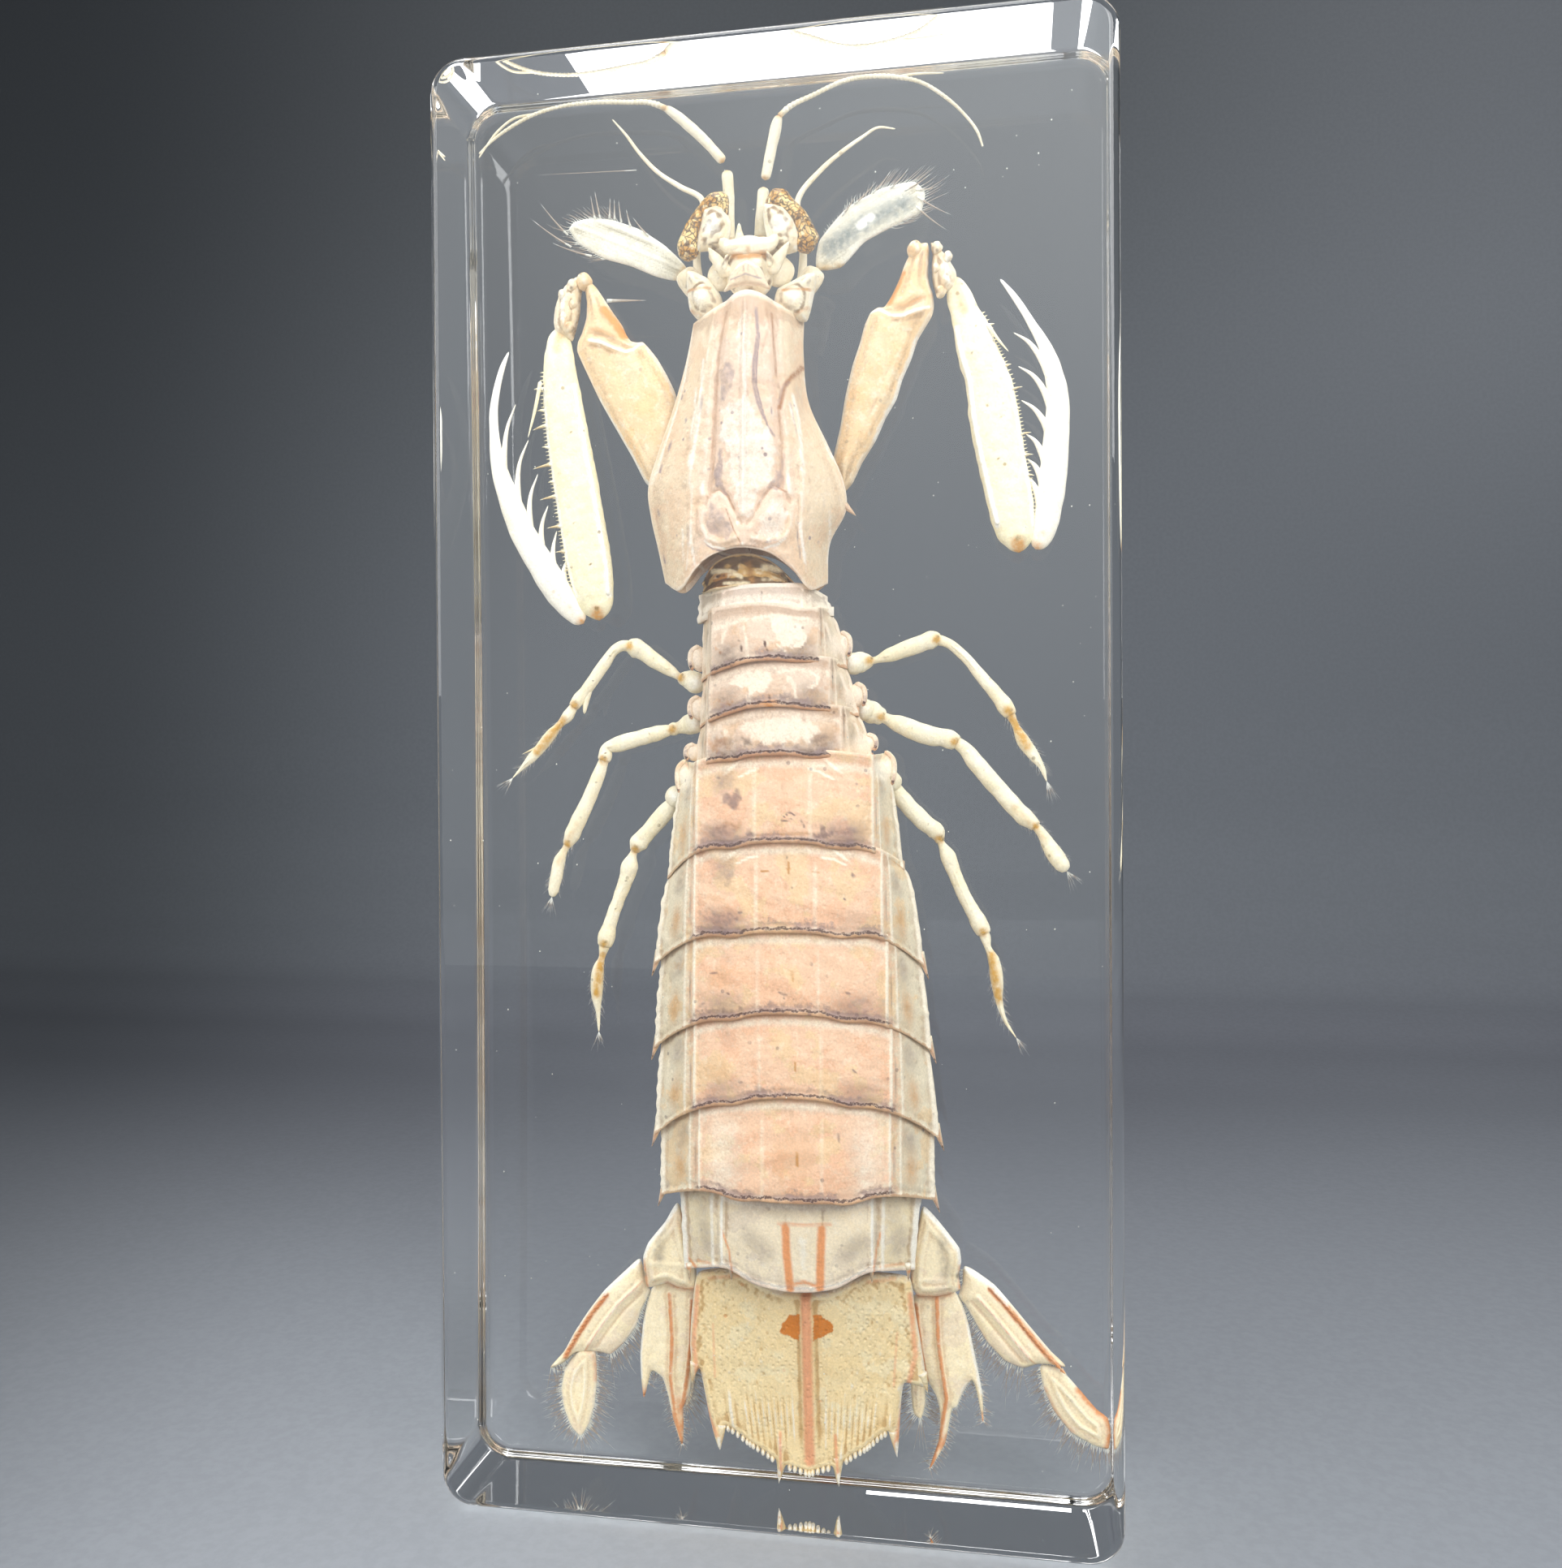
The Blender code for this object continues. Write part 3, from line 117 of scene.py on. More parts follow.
# The claws. MERUS and CARPUS are outlines, PROPODUS and DACTYL routes with widths; on the merus lie
# a lip, a saddle behind it and, between two points of the outline, a crest.
MERUS = both(
    "-11 122.3  -11.8 124.9  -12.7 126.8  -13.8 128.7  -14.8 130  -15.5 130.7  -16.2 130.7  "
    "-16.9 130.9  -17.4 131.6  -17.9 132.7  -19 134.3  -19.9 135.7  -20.9 137.2  -21.8 138.1  "
    "-22.5 138.6  -22.3 137.3  -22.1 135.6  -22.2 133.8  -22.7 132.2  -23.2 131.2  -23.3 130.1  "
    "-22.4 128  -20.6 124.2  -18.4 120.3  -16.8 117.5  -15.2 114.5  -13 113.1  -10.1 114.7",
    "6.3 115.8  7.2 119.9  7.8 123.3  8.6 126.6  9.5 129.2  10 131  10.7 132.4  11.5 132.9  "
    "12.2 132.9  13 134  13.9 135.8  14.5 137.4  15.2 138.7  15.9 139.5  17 139.6  17.2 138.6  "
    "17.1 137  17.1 135.8  17.3 134.8  17.6 133.9  17.7 132.6  17.5 131.6  16.9 130.6  15.9 129  "
    "15.2 127  14.2 124.8  13.5 122.6  12.3 120.6  11.2 118.2  9.6 115.7  8.5 113.5  7.1 112.4")
MERUS_LIPS = {"left": "-15.6 130.4 -16.3 129.7 -17.2 129.4 -18.6 129.9 -20.2 130.6 -21.6 131.0",
              "right": "10.6 132.3 11.8 132.5 13.0 131.6 14.4 131.4 15.8 132.0 17.2 132.4"}
MERUS_CRESTS = {"left": slice(22, 27), "right": slice(23, 29)}
MERUS_KNOBS = {"left": 14, "right": 13}
CARPUS_CREASES = {"left": slice(2, 8), "right": slice(9, None)}
SADDLES = {"left": "-17.6 131.4 -18.6 132.9 -19.8 134.4", "right": "12.8 133.3 13.4 134.6 14.2 136.2"}
CARPUS = both(
    "-24 138.2  -23.3 138.6  -22.8 138.5  -22.6 137.3  -22.8 135.9  -22.9 134.5  -23.2 133.2  "
    "-23.6 131.9  -23.9 131.3  -24.8 131.8  -25.8 132.3  -26.1 133.6  -25.9 135.2  -25.4 136.6  "
    "-24.8 137.5",
    "17.4 139.6  18 139.3  18.8 138.4  19.5 137.4  20.1 136.3  20.2 135.5  20 134.5  19.3 134  "
    "18.5 133.8  18 133.9  17.7 134.6  17.5 135.8  17.5 137.2  17.6 138.7")
PROPODUS = both(
    "-25 133 1.2  -25.4 131.8 2.6  -25.5 130.3 3.3  -25.3 126.1 4.3  -24.6 120.6 5  -23.7 115.1 5.3  "
    "-22.9 110.1 5.4  -22.1 105.4 5.3  -21.5 101.8 4.5  -21.1 99.8 3.1  -21 99 1.4",
    "19.9 135.7 1.1  20.3 134.1 2.5  21 131.8 3.1  21.7 130 3.8  22.5 127 4.4  23.5 124.2 4.9  "
    "24.2 119.9 5.4  25 115.3 5.2  25.8 111.2 5  26.3 108.2 4.4  26.7 106.2 3.1  26.8 105.2 1.3", width=3)
DACTYL = both(
    "-22.9 98.7 1.6  -24.4 100.5 2.7  -26.3 103 3.3  -28.2 106.1 3.2  -30 109.2 3  -31.6 113 2.7  "
    "-32.8 116.5 2  -33.5 121 1.2  -33.5 124 1  -32.9 127.1 0.8  -32.3 129 0.6  -31.6 130.5 0.2",
    "28.6 105.5 1.6  29.4 107.2 2.4  30.1 110.6 2.9  30.6 114.4 2.9  30.9 118.4 2.7  31 122 2.4  "
    "30.5 125.1 1.9  29.5 127.9 1.3  28.2 130.2 0.9  26.7 132.7 0.7  25.7 134.1 0.5  24.9 135.1 0.2", width=3)
# Each tooth of the finger, from its foot to its tip
DACTYL_TEETH = {
    "left": [rows(route) for route in (
        "-32.3 115.8  -32.3 118.6  -31.8 121.9  -30.8 124.4",
        "-30.6 112.2  -30.7 114.8  -30.4 117.6  -29.3 120.2",
        "-29.2 109.4  -29.3 111.4  -29.1 113.8  -28.2 116.2",
        "-27.8 107  -27.9 108.8  -27.7 110.6  -27 112.5",
        "-26.3 104.7  -26.5 106.2  -26.4 107.8  -26 109.5",
        "-25.2 103.4  -25.2 104.8  -24.8 106.2")],
    "right": [rows(route) for route in (
        "30.3 123.8  29.3 126.1  27.9 128.1  26.3 129.2",
        "30.6 119.6  29.6 122.6  28.3 124.5  26.8 125.5",
        "30.4 116.6  29.5 119.4  28.4 120.9  27.1 121.8",
        "30 113.6  29.2 116.2  28.5 117.4  27.6 118.1",
        "29.6 111.6  29 113.8  28.4 114.8  27.7 115.4",
        "29.2 109.8  28.7 111.9  28.2 112.9  27.6 113.6")],
}
# Comb spine: foot x, z, tip x, z
COMB = both(
    "-27 121.7 -28.7 121.2  -26.3 117.2 -28.7 116.7  -25.7 113.5 -27.9 113.1  -25.1 110 -27.1 109.8  "
    "-24.4 107 -26.1 107  -23.8 105.1 -25.1 104.8  -27.2 123.4 -28.1 123.4  -26.7 119.1 -27.6 119.2  "
    "-26 115.1 -26.9 115.1  -25.3 111.5 -26.2 111.5  -27.4 125.9 -28.5 125.9",
    "24.9 125.5 26.1 125.7  25.6 122.8 27.3 123.2  26 120.6 27 120.9  26.5 117.9 28.2 118.2  "
    "26.9 115.7 28.4 115.8  27.3 113.6 28.5 113.5  26.2 119.3 26.8 119.3  26.7 116.8 27.3 116.8  "
    "27.1 114.6 27.7 114.7  23.4 130 24.3 130.2", width=4)
MOVABLE_SPINES = both(
    "-27.6 126.8 0.5  -28.3 123.5 0.4  -29.2 120.3 0.1",
    "23.6 130.1 0.4  24.6 128.5 0.3  25.8 127 0.1", width=3)

LEGS = {
    "leg_1_left": rows(
        "-9.4 91.6 2.2  -10.5 92 2.2  -11.5 92.3 1.1  -12.4 92.9 1.3  -14.5 94.3 1.8  -17.2 95.9 1.8  "
        "-18.4 96 1.4  -19.1 95.6 1.2  -20.3 94.1 1.4  -22.1 91.7 1.4  -24 89.3 1.3  -24.9 88 1.5  "
        "-25.7 87.2 0.9  -27 85.8 1.3  -28.6 83.9 1.2  -29.6 82.9 1  -30.6 81.9 0.4  -31.7 80.8 0.1", 3),
    "leg_2_left": rows(
        "-9.6 87 2.4  -10.6 86.8 2.3  -11.6 86.5 1.4  -13.3 86.1 1.7  -16.5 85.3 1.8  -19 84.6 1.8  "
        "-20.2 84.2 1.2  -20.5 83.1 1.5  -21.4 80.7 1.6  -22.6 78 1.7  -24.1 75 1.8  -24.9 73.3 1.3  "
        "-25.4 72.4 0.9  -26 71.2 1.4  -26.4 69.5 1.5  -26.8 67.7 1.1  -27 66.9 0.6", 3),
    "leg_3_left": rows(
        "-11.8 78.6 1.5  -12.6 77.6 1.8  -13.4 76.7 2  -15.2 74.7 1.9  -16.6 73.1 1.8  -17.1 72.1 1.1  "
        "-17.5 70.9 2  -17.9 69.4 1.8  -18.9 66.8 1.5  -20 63.8 1.6  -20.7 61.2 1.6  -21 59.9 0.8  "
        "-21.4 58.7 1.3  -21.6 56.8 1.5  -21.6 55.1 1.2  -21.5 54 0.7  -21.4 51.3 0.15", 3),
    "leg_1_right": rows(
        "8.4 93.4 2.2  9.5 93.6 2.3  10.6 93.7 1.1  12.8 94.4 1.6  15.5 95.3 1.9  17.8 95.9 1.6  "
        "19 95.5 1.2  20.7 94.1 1.1  22.7 91.7 1.3  24.7 89.2 1.5  25.8 87.5 1.4  26.3 86.4 0.8  "
        "27.1 84.7 1.4  28.3 83 1.2  29.2 81.6 0.6  29.7 80.1 0.1", 3),
    "leg_2_right": rows(
        "9.6 88.2 2.4  10.6 87.9 2.5  11.7 87.4 1.6  13.8 86.5 2  16.9 85.3 2.2  19 84.9 1.8  "
        "20.6 84 1.7  22.2 82 1.9  24.7 79.1 1.9  26.9 76.6 1.8  28.3 75.4 1.3  29.1 74.5 1.1  "
        "30.1 72.8 1.7  31.3 71 1.5  31.8 70.3 0.8", 3),
    "leg_3_right": rows(
        "12.4 80.2 1.6  13.3 79 1.8  14.7 77.3 1.9  16.5 75.5 1.9  17.7 74.5 1.6  18.1 73.5 1  "
        "18.8 72.1 1.7  19.6 70.1 1.5  20.8 67.3 1.5  22.2 64.7 1.6  23 62.9 1.4  23.2 62 0.8  "
        "23.9 60.3 1.3  24.2 58.3 1.4  24.4 56.2 0.9  25.1 53.8 0.4  26.3 51.9 0.1", 3),
}
LEG_JOINTS = {  # how far along each leg its joints lie
    "leg_1_left": (0.07, 0.3, 0.63), "leg_2_left": (0.1, 0.42, 0.78), "leg_3_left": (0.27, 0.66),
    "leg_1_right": (0.07, 0.33, 0.72), "leg_2_right": (0.08, 0.37, 0.8), "leg_3_right": (0.27, 0.62),
}
LEG_TWIG = rows("-22 91.5 0.6  -22.7 89.5 0.7  -22.9 88.2 0.3", 3)

# The feelers and scales
ANTENNULE_STEMS = {
    "left": [rows(route, 3) for route in (
        "-5.2 141.2 1.3  -5.3 144 1.3  -5.3 146.6 1.3  -5.5 149.4 1.35",
        "-5.8 150.3 1.1  -7.3 152.1 1.1  -9.7 154.6 1.2  -11.9 156.5 1  -12.6 157 0.8")],
    "right": [rows(route, 3) for route in (
        "-1.7 141.2 1.6  -1.5 144 1.4  -1.3 147.2 1.3",
        "-1.1 147.9 1.1  -0.7 149.8 1.2  -0.3 151.6 1.25  0.4 154.4 1.1  0.6 155 0.8")],
}
FEELER_THREADS = both(
    "-12.5 156.9 0.7  -14 157.6 0.6  -17.2 158 0.5  -20.5 158.3 0.5  -24.9 158.2 0.4  -28 157.6 0.4  "
    "-31.1 156.3 0.4  -33.4 154.9 0.3  -34.9 153.6 0.2",
    "0.6 154.9 0.7  1.6 155.7 0.6  4.3 156.8 0.5  8.5 158.2 0.5  11 158.3 0.5  13.6 158 0.5  "
    "16.5 157.1 0.4  18.7 155.6 0.4  21 153.4 0.3  22.6 151.1 0.3  23.1 149.6 0.2", width=3)
SIDE_THREADS = both(
    "-28 157.6 0.35  -30.6 157.3 0.3  -32.6 156 0.3  -34.9 153.2 0.15",
    "13.6 158 0.3  16 158.1 0.3  18.9 157.9 0.15", width=3)
ANTENNA_STALKS = both(
    "-8.3 134.6 1.2  -9 139.6 0.9  -8.6 143.4 0.8  -8.3 146.1 0.7  -10.9 147.9 0.6  -13.3 149.6 0.5  "
    "-15.7 152.2 0.4  -17.2 154.3 0.3  -18.8 156.2 0.15",
    "2.6 134 1.2  3.2 139 0.9  2.9 142.6 0.8  2.6 145.1 0.7  5.2 148.4 0.6  7.5 150.2 0.5  "
    "9.9 151.7 0.4  11.6 152.6 0.3  13.6 152.3 0.15", width=3)
ANTENNA_BULBS = {"left": (-8.1, 134.8), "right": (2.5, 134.0)}
ANTENNA_CUPS = both(
    "-9.7 137.5  -8.9 137.5  -7 136.4  -5.8 134.5  -5.6 133  -6.8 132.1  -8.4 132  -9.4 133.2  "
    "-9.7 135.4",
    "0.2 133.6  0.6 134.9  2.1 135.6  4 136.4  5 136.2  4.7 134.1  4.3 132.3  3.8 131.1  2.1 131.4  "
    "0.7 132.4")
SCALES = both(
    "-10.3 138.8  -12.7 141.4  -15.7 143.5  -18.9 144.8  -21.4 145.2  -23.5 144.9  -24.1 144.1  "
    "-23 142.4  -20 140.5  -16.8 139.4  -13.8 138  -11.2 137.4",
    "4.7 137.6  5 140.7  8.1 144.1  12.1 146  15.6 146.4  16.8 145.1  16.3 143  14 142  10.1 140.2  "
    "7.4 137.6")
# The longer single hairs of the scales: x z of the foot, x z of the tip
SCALE_HAIRS = both(
    "-24.2 143.4 -27.4 147.2  -23.8 142 -28.4 145.4  -21.4 140.8 -26 142.6  -20.9 145 -21.4 147.6  "
    "-20.3 145 -20.9 148.1  -19.2 145 -19.1 147.2  -18.6 144.8 -18.6 147  -17.8 144.4 -18.1 146.8  "
    "-16.7 143.8 -17.2 145.8  -14.6 142.6 -16.4 144.8",
    "16 144.6 19.6 142.4  15.8 143.6 19.1 140.8  14.6 145.4 17.4 147  13 145.8 15 147.8  "
    "11 145.4 13 147.6  9 144.4 11.4 146.6  15.8 145.4 18.2 145.6  7.6 143.2 9.2 145.4", width=4)
CORNEAS = both(
    "-7.9 145.2  -6.9 146  -5.6 146.1  -4.9 145.5  -4.9 143.4  -5.6 143.4  -5.8 144  -7 143.9  "
    "-7.6 143  -7.8 141.8  -8.1 140.6  -8.2 139.6  -8.7 138.9  -9.7 138.6  -10.6 139.3  -10.8 140.6  "
    "-9.7 142.9",
    "-0.7 144.6  0.1 145.9  1.5 145.8  2.5 144.6  3.8 143.2  5 141  5.3 140.2  4.7 139  4.1 138.5  "
    "3 138.8  2.6 139.6  2.7 140.8  2.2 142.2  1.3 143.2  0.1 143.6  -0.7 143.4")
EYE_STALKS = both(
    "-7.7 144.2  -6.1 144.6  -5.3 144.1  -4.6 142.6  -4.7 141.2  -5.1 140.1  -6.2 139.4  -7.5 139.6  "
    "-8.5 139.6  -8.5 141.2  -8.1 142.5",
    "-0.9 144.2  0.1 144.4  1.5 143.8  2.6 142.3  3.2 140.4  2.9 138.9  1.4 138.6  0.1 139.2  "
    "-0.6 140.8  -0.9 142.5")
EYE_Y = 1.8
BULB_Y = 2.4
STALK_Y = 4.5

# The tail fan
TELSON_OUTLINE = rows(
    "-9.4 24.5  -10.2 20  -10.4 16.2  -10 12.7  -9.3 13.6  -8.2 8.4  -7 4.6  -6.3 7.4  -3.4 5.8  "
    "-0.6 4.1  -0.2 1.6  0.7 3.5  3.3 3  5.8 3.8  6.5 1.8  7.2 4.5  9.8 6.4  12.1 8.2  13.1 5.6  "
    "13.9 13.6  16.2 13.4  15.8 17.9  15.1 22  14.5 25.4  10.4 25.9  5.3 23.6  0.6 23.4  -5.4 25.4")
UROPOD_STEMS = both(
    "-12 32.1  -13.4 29.9  -15.4 27.4  -16 25.8  -15.9 23.9  -15.5 22.3  -13.1 22.9  -11.7 22.4  "
    "-9.9 22.4  -9.8 25.3  -10.4 27.5  -11.3 31",
    "16.1 33.1  17.8 31.5  20 28.7  20.2 27.2  19.9 25.7  20.1 24.2  19 23.6  17.4 23.2  15.4 23.2  "
    "14.6 24.4  14.8 27.8  15.6 31.5")
UROPOD_BASES = both(
    "-13 23.4  -15.2 21.9  -16.2 18.2  -16.6 14.3  -16.5 11.6  -16.2 9.3  -15.7 10.9  -15.2 12.4  "
    "-14 11.7  -13.3 9.7  -12.7 7  -11.7 4.2  -11.5 6.4  -11.5 8.5  -10.8 10.2  -10.2 13.4  -9.8 19.6  "
    "-9.8 23.6",
    "17.3 23.6  15 22.9  14.8 19.5  15.4 16.5  16.2 13.9  17.3 12  17.8 10  17.6 7  16.6 3.8  "
    "18.3 6.7  19.1 10.6  19.6 10.8  20.3 12.5  21.3 13.9  21.9 12.3  22.5 9.4  22.4 12.7  21.6 16.9  "
    "21 19.9  20.2 22.5  19 24.1")
UROPOD_KEELS = {  # the brown lines down the spined plates
    "left": ("-13 21.5 -12.7 16.6 -12.9 11.8 -12.5 8.4 -11.7 4.7",
             "-10.4 20.9 -10.5 16.1 -11 11.9 -11.6 8.5"),
    "right": ("17.5 23 17.6 18.6 18 15.3 18.5 12 18 8.7 16.9 4.3", "15.2 22 15.7 17 16.4 13 17.4 10.6"),
}
UROPOD_PALE_EDGES = {"left": slice(2, 5), "right": slice(16, 19)}
PADDLES = both(
    "-16.6 25.2  -17.9 24.2  -20.8 21.4  -22.6 19.1  -24.4 16.4  -25.8 13.9  -27.4 12  -25.9 12.6  "
    "-24.3 13.9  -21.7 14.2  -20.2 14  -18.6 15.4  -17.2 17.3  -16.4 19.5  -15.4 21.6  -16 23.2",
    "20.6 26.5  23.7 24.7  25.3 23  27.7 20.2  29.9 17.7  31.4 16.2  29.5 16.3  28.4 16.2  26.9 15.7  "
    "24.9 16.4  23 18.3  21.7 20.4  20.6 22.2  19.9 23.2  20.3 24.6")
PADDLE_TIPS = both(
    "-24.2 14  -25.6 12.1  -26.1 9.6  -25.8 7.4  -24.9 5.3  -23.8 4.3  -22.7 5.9  -22.1 8.1  -21.8 11  "
    "-22 14.2  -23.1 14.5",
    "28.8 16.1  30.8 15.9  32.9 13.8  34.7 11.8  35.9 10.9  36.2 9.5  35.9 7.6  34.3 7.9  32.1 9  "
    "30.3 11.1  29.1 13.6")
INNER_LOBES = both(
    "-12.9 21.6  -12.4 15.9  -12.1 10.6  -11.4 8.2  -10.7 9.4  -10.2 12.2  -10.4 16  -10.5 21.8",
    "14.9 22.6  16.4 22.6  16.6 17.9  16.2 13.7  16.1 10.6  15.6 8.9  14.8 9.4  14.5 11.9  14.6 15.6")

random = np.random.default_rng(20)


def place(x, y, z):
    return Vector((x * MM, y * MM, z * MM))


def mix(a, b, share):
    return a + (b - a) * share


def ease(value):
    """0 below 0, 1 above 1, with a soft start and end."""
    value = np.clip(value, 0.0, 1.0)
    return value * value * (3.0 - 2.0 * value)


def bump(distance, width):
    """1 on a line or point, falling softly to 0 at a width away from it."""
    return 1.0 - ease(np.abs(distance) / width)


def unit(way):
    return way / max(np.linalg.norm(way), 1e-6)


def inside_block(x, gap):
    return np.clip(x, gap - BLOCK_WIDTH / 2, BLOCK_WIDTH / 2 - gap)


def upright(x, z):
    """Flat points as points in space."""
    return np.stack((x, np.zeros(len(x)), z), axis=1)


def curve(share, start, end, leave, arrive):
    """The point at a share of the smooth way from start to end, with its slopes there."""
    square, cube = share ** 2, share ** 3
    return ((2 * cube - 3 * square + 1) * start + (cube - 2 * square + share) * leave
            + (3 * square - 2 * cube) * end + (cube - square) * arrive)


def through(keys, values, at):
    """A smooth curve through the values at their keys."""
    keys, values, at = (np.asarray(row, dtype=float) for row in (keys, values, at))
    slopes = np.gradient(values, keys, axis=0)
    cell = np.clip(np.searchsorted(keys, at, side="right") - 1, 0, len(keys) - 2)
    span = keys[cell + 1] - keys[cell]
    share = (at - keys[cell]) / span
    if values.ndim > 1:
        span, share = span[:, None], share[:, None]
    return curve(share, values[cell], values[cell + 1], span * slopes[cell], span * slopes[cell + 1])


def resample(route, step):
    """The route's rows again, evenly spaced on a smooth curve; gives rows and mm along."""
    route = np.asarray(route, dtype=float)
    along = np.concatenate(([0.0], np.cumsum(np.linalg.norm(np.diff(route[:, :2], axis=0), axis=1))))
    count = max(int(along[-1] / step), 4)
    at = np.linspace(0.0, along[-1], count + 1)
    return through(along, route, at), at


def distance_to_route(points, route):
    """Distance in the (x, z) plane from each point to a bent line."""
    flat = points[:, (0, 2)]
    route = np.asarray(rows(route) if isinstance(route, str) else route, dtype=float)
    if len(route) == 1:
        return np.linalg.norm(flat - route[0], axis=1)
    nearest = np.full(len(flat), 1e9)
    for start, end in zip(route[:-1], route[1:]):
        way = end - start
        share = np.clip((flat - start) @ way / max(way @ way, 1e-9), 0.0, 1.0)
        nearest = np.minimum(nearest, np.linalg.norm(flat - start - share[:, None] * way, axis=1))
    return nearest


def near_line(x, z, route, reach):
    return bump(distance_to_route(upright(x, z), route), reach)


def waves(points, size, seed):
    """Soft random relief between -1 and 1, with bumps of about the given size."""
    turn = np.random.default_rng(seed)
    total = np.zeros(len(points))
    for _ in range(7):
        way = turn.normal(size=3)
        way /= np.linalg.norm(way)
        total += np.sin(points @ way * (2 * math.pi / size) * turn.uniform(0.6, 1.5) + turn.uniform(0, 6.3))
    return total / 3.5


def proudness_map(mesh, points, passes):
    """How far each point stands proud of its softened surroundings: edges and keels are positive,
    seams and hollows negative."""
    count = len(points)
    ends = np.empty(len(mesh.edges) * 2, dtype=int)
    mesh.edges.foreach_get("vertices", ends)
    first, second = ends[::2], ends[1::2]
    touching = np.maximum(np.bincount(first, minlength=count) + np.bincount(second, minlength=count), 1)

    def soften(values):
        sums = np.bincount(first, values[second], count) + np.bincount(second, values[first], count)
        return sums / touching

    soft = points.copy()
    for _ in range(passes):
        soft = np.stack([soften(soft[:, axis]) for axis in range(3)], axis=1)
    normals = np.empty(count * 3)
    mesh.vertex_normals.foreach_get("vector", normals)
    proud = ((points - soft) * normals.reshape(-1, 3)).sum(axis=1)
    usual = proud
    for _ in range(3 * passes):
        usual = soften(usual)
    return proud - usual


def smooth_outline(outline, step):
    """A closed outline resampled so that its corners stay crisp and its sides run smooth."""
    corners = np.asarray(outline, dtype=float)
    made = []
    count = len(corners)
    for index in range(count):
        before, start, end, after = (corners[(index + shift) % count] for shift in (-1, 0, 1, 2))
        length = np.linalg.norm(end - start)
        pieces = max(int(round(length / step)), 1)
        limit = length * 0.5
        leave, arrive = (end - before) / 2, (after - start) / 2
        for slope in (leave, arrive):
            size = np.linalg.norm(slope)
            if size > limit:
                slope *= limit / size
        made.extend(curve(piece / pieces, start, end, leave, arrive) for piece in range(pieces))
    return np.asarray(made)


def inside_outline(flat, outline):
    """Which points lie inside a closed outline."""
    x, z = flat[:, 0], flat[:, 1]
    inside = np.zeros(len(flat), dtype=bool)
    for start, end in zip(outline, np.roll(outline, -1, axis=0)):
        crosses = (start[1] > z) != (end[1] > z)
        rise = end[1] - start[1] if end[1] != start[1] else 1e-9
        inside ^= crosses & (x < (end[0] - start[0]) * (z - start[1]) / rise + start[0])
    return inside


OCHRE, DUSK, PALE = 0, 1, 2  # what a stroke paints with


def paint_strokes(points, strokes):
    """How much ochre, dusk and pale each point carries. A stroke is what it paints with, its route
    as (x, z) points or as a text of them, how far it reaches, and its strength. A route that ends
    where it begins is filled, with a wandering edge."""
    stain = np.zeros((len(points), 3))
    for channel, route, reach, strength in strokes:
        route = np.asarray(rows(route) if isinstance(route, str) else route, dtype=float)
        if len(route) > 3 and np.allclose(route[0], route[-1]):
            wander = upright(waves(points, 1.1, 51), waves(points, 1.3, 52)) * min(reach, 0.7) * 0.9
            moved = points + wander
            fade = ease(distance_to_route(moved, route) / reach)
            mask = inside_outline(moved[:, (0, 2)], route[:-1]) * fade
        else:
            mask = bump(distance_to_route(points, route), reach)
        stain[:, channel] = np.maximum(stain[:, channel], strength * mask)
    return stain


def add_object(name, mesh, material):
    mesh.polygons.foreach_set("use_smooth", [True] * len(mesh.polygons))
    mesh.materials.append(material)
    piece = bpy.data.objects.new(name, mesh)
    bpy.context.collection.objects.link(piece)
    return piece


class Shape:
    """Points in millimetres, the faces between them, and each point's place on its plate:
    (across, millimetres from the free edge, share along)."""

    def __init__(self):
        self.points, self.faces, self.plans, self.stains = [], [], [], []

    def add(self, points, faces, plans, stains=None):
        start = len(self.points)
        self.points.extend(np.asarray(points, dtype=float).tolist())
        self.plans.extend(np.asarray(plans, dtype=float).tolist())
        stains = np.zeros((len(points), 3)) if stains is None else stains
        self.stains.extend(np.asarray(stains, dtype=float).tolist())
        self.faces.extend([start + index for index in face] for face in faces)

    def make(self, name, material, node=None, slot=None, strokes=()):
        points = np.asarray(self.points)
        mesh = bpy.data.meshes.new(name)
        mesh.from_pydata((points * MM).tolist(), [], self.faces)
        mesh.validate()
        shape = bmesh.new()
        shape.from_mesh(mesh)
        bmesh.ops.recalc_face_normals(shape, faces=shape.faces)
        shape.to_mesh(mesh)
        shape.free()
        # How far each point stands proud. The shell finish uses it to paint edges paler and hollows darker,
        # partly as wear and partly as painted highlight and shade.
        proudness = mesh.attributes.new("proudness", "FLOAT", "POINT")
        proudness.data.foreach_set("value", np.clip(proudness_map(mesh, points, 7) / 0.12, -1.0, 1.0))
        stains = np.maximum(np.asarray(self.stains), paint_strokes(points, strokes))
        for label, values in (("plan", np.asarray(self.plans)), ("stain", stains)):
            mesh.attributes.new(label, "FLOAT_VECTOR", "POINT").data.foreach_set("vector", values.ravel())
        piece = add_object(name, mesh, material)
        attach(piece, "root")
        if node:
            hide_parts(node)


def grid_faces(count, columns, start=0, closed=False):
    """Four-cornered faces over rows of points; closed joins each row's last to its first."""
    faces = []
    for row in range(count - 1):
        low, high = start + row * columns, start + (row + 1) * columns
        for column in range(columns if closed else columns - 1):
            right = (column + 1) % columns
            faces.append((low + column, low + right, high + right, high + column))
    return faces


def tube_faces(rings, columns):
    """Faces round a row of rings, with both ends closed."""
    ends = (range(columns), range((rings - 1) * columns, rings * columns))
    return grid_faces(rings, columns, closed=True) + [tuple(end) for end in ends]


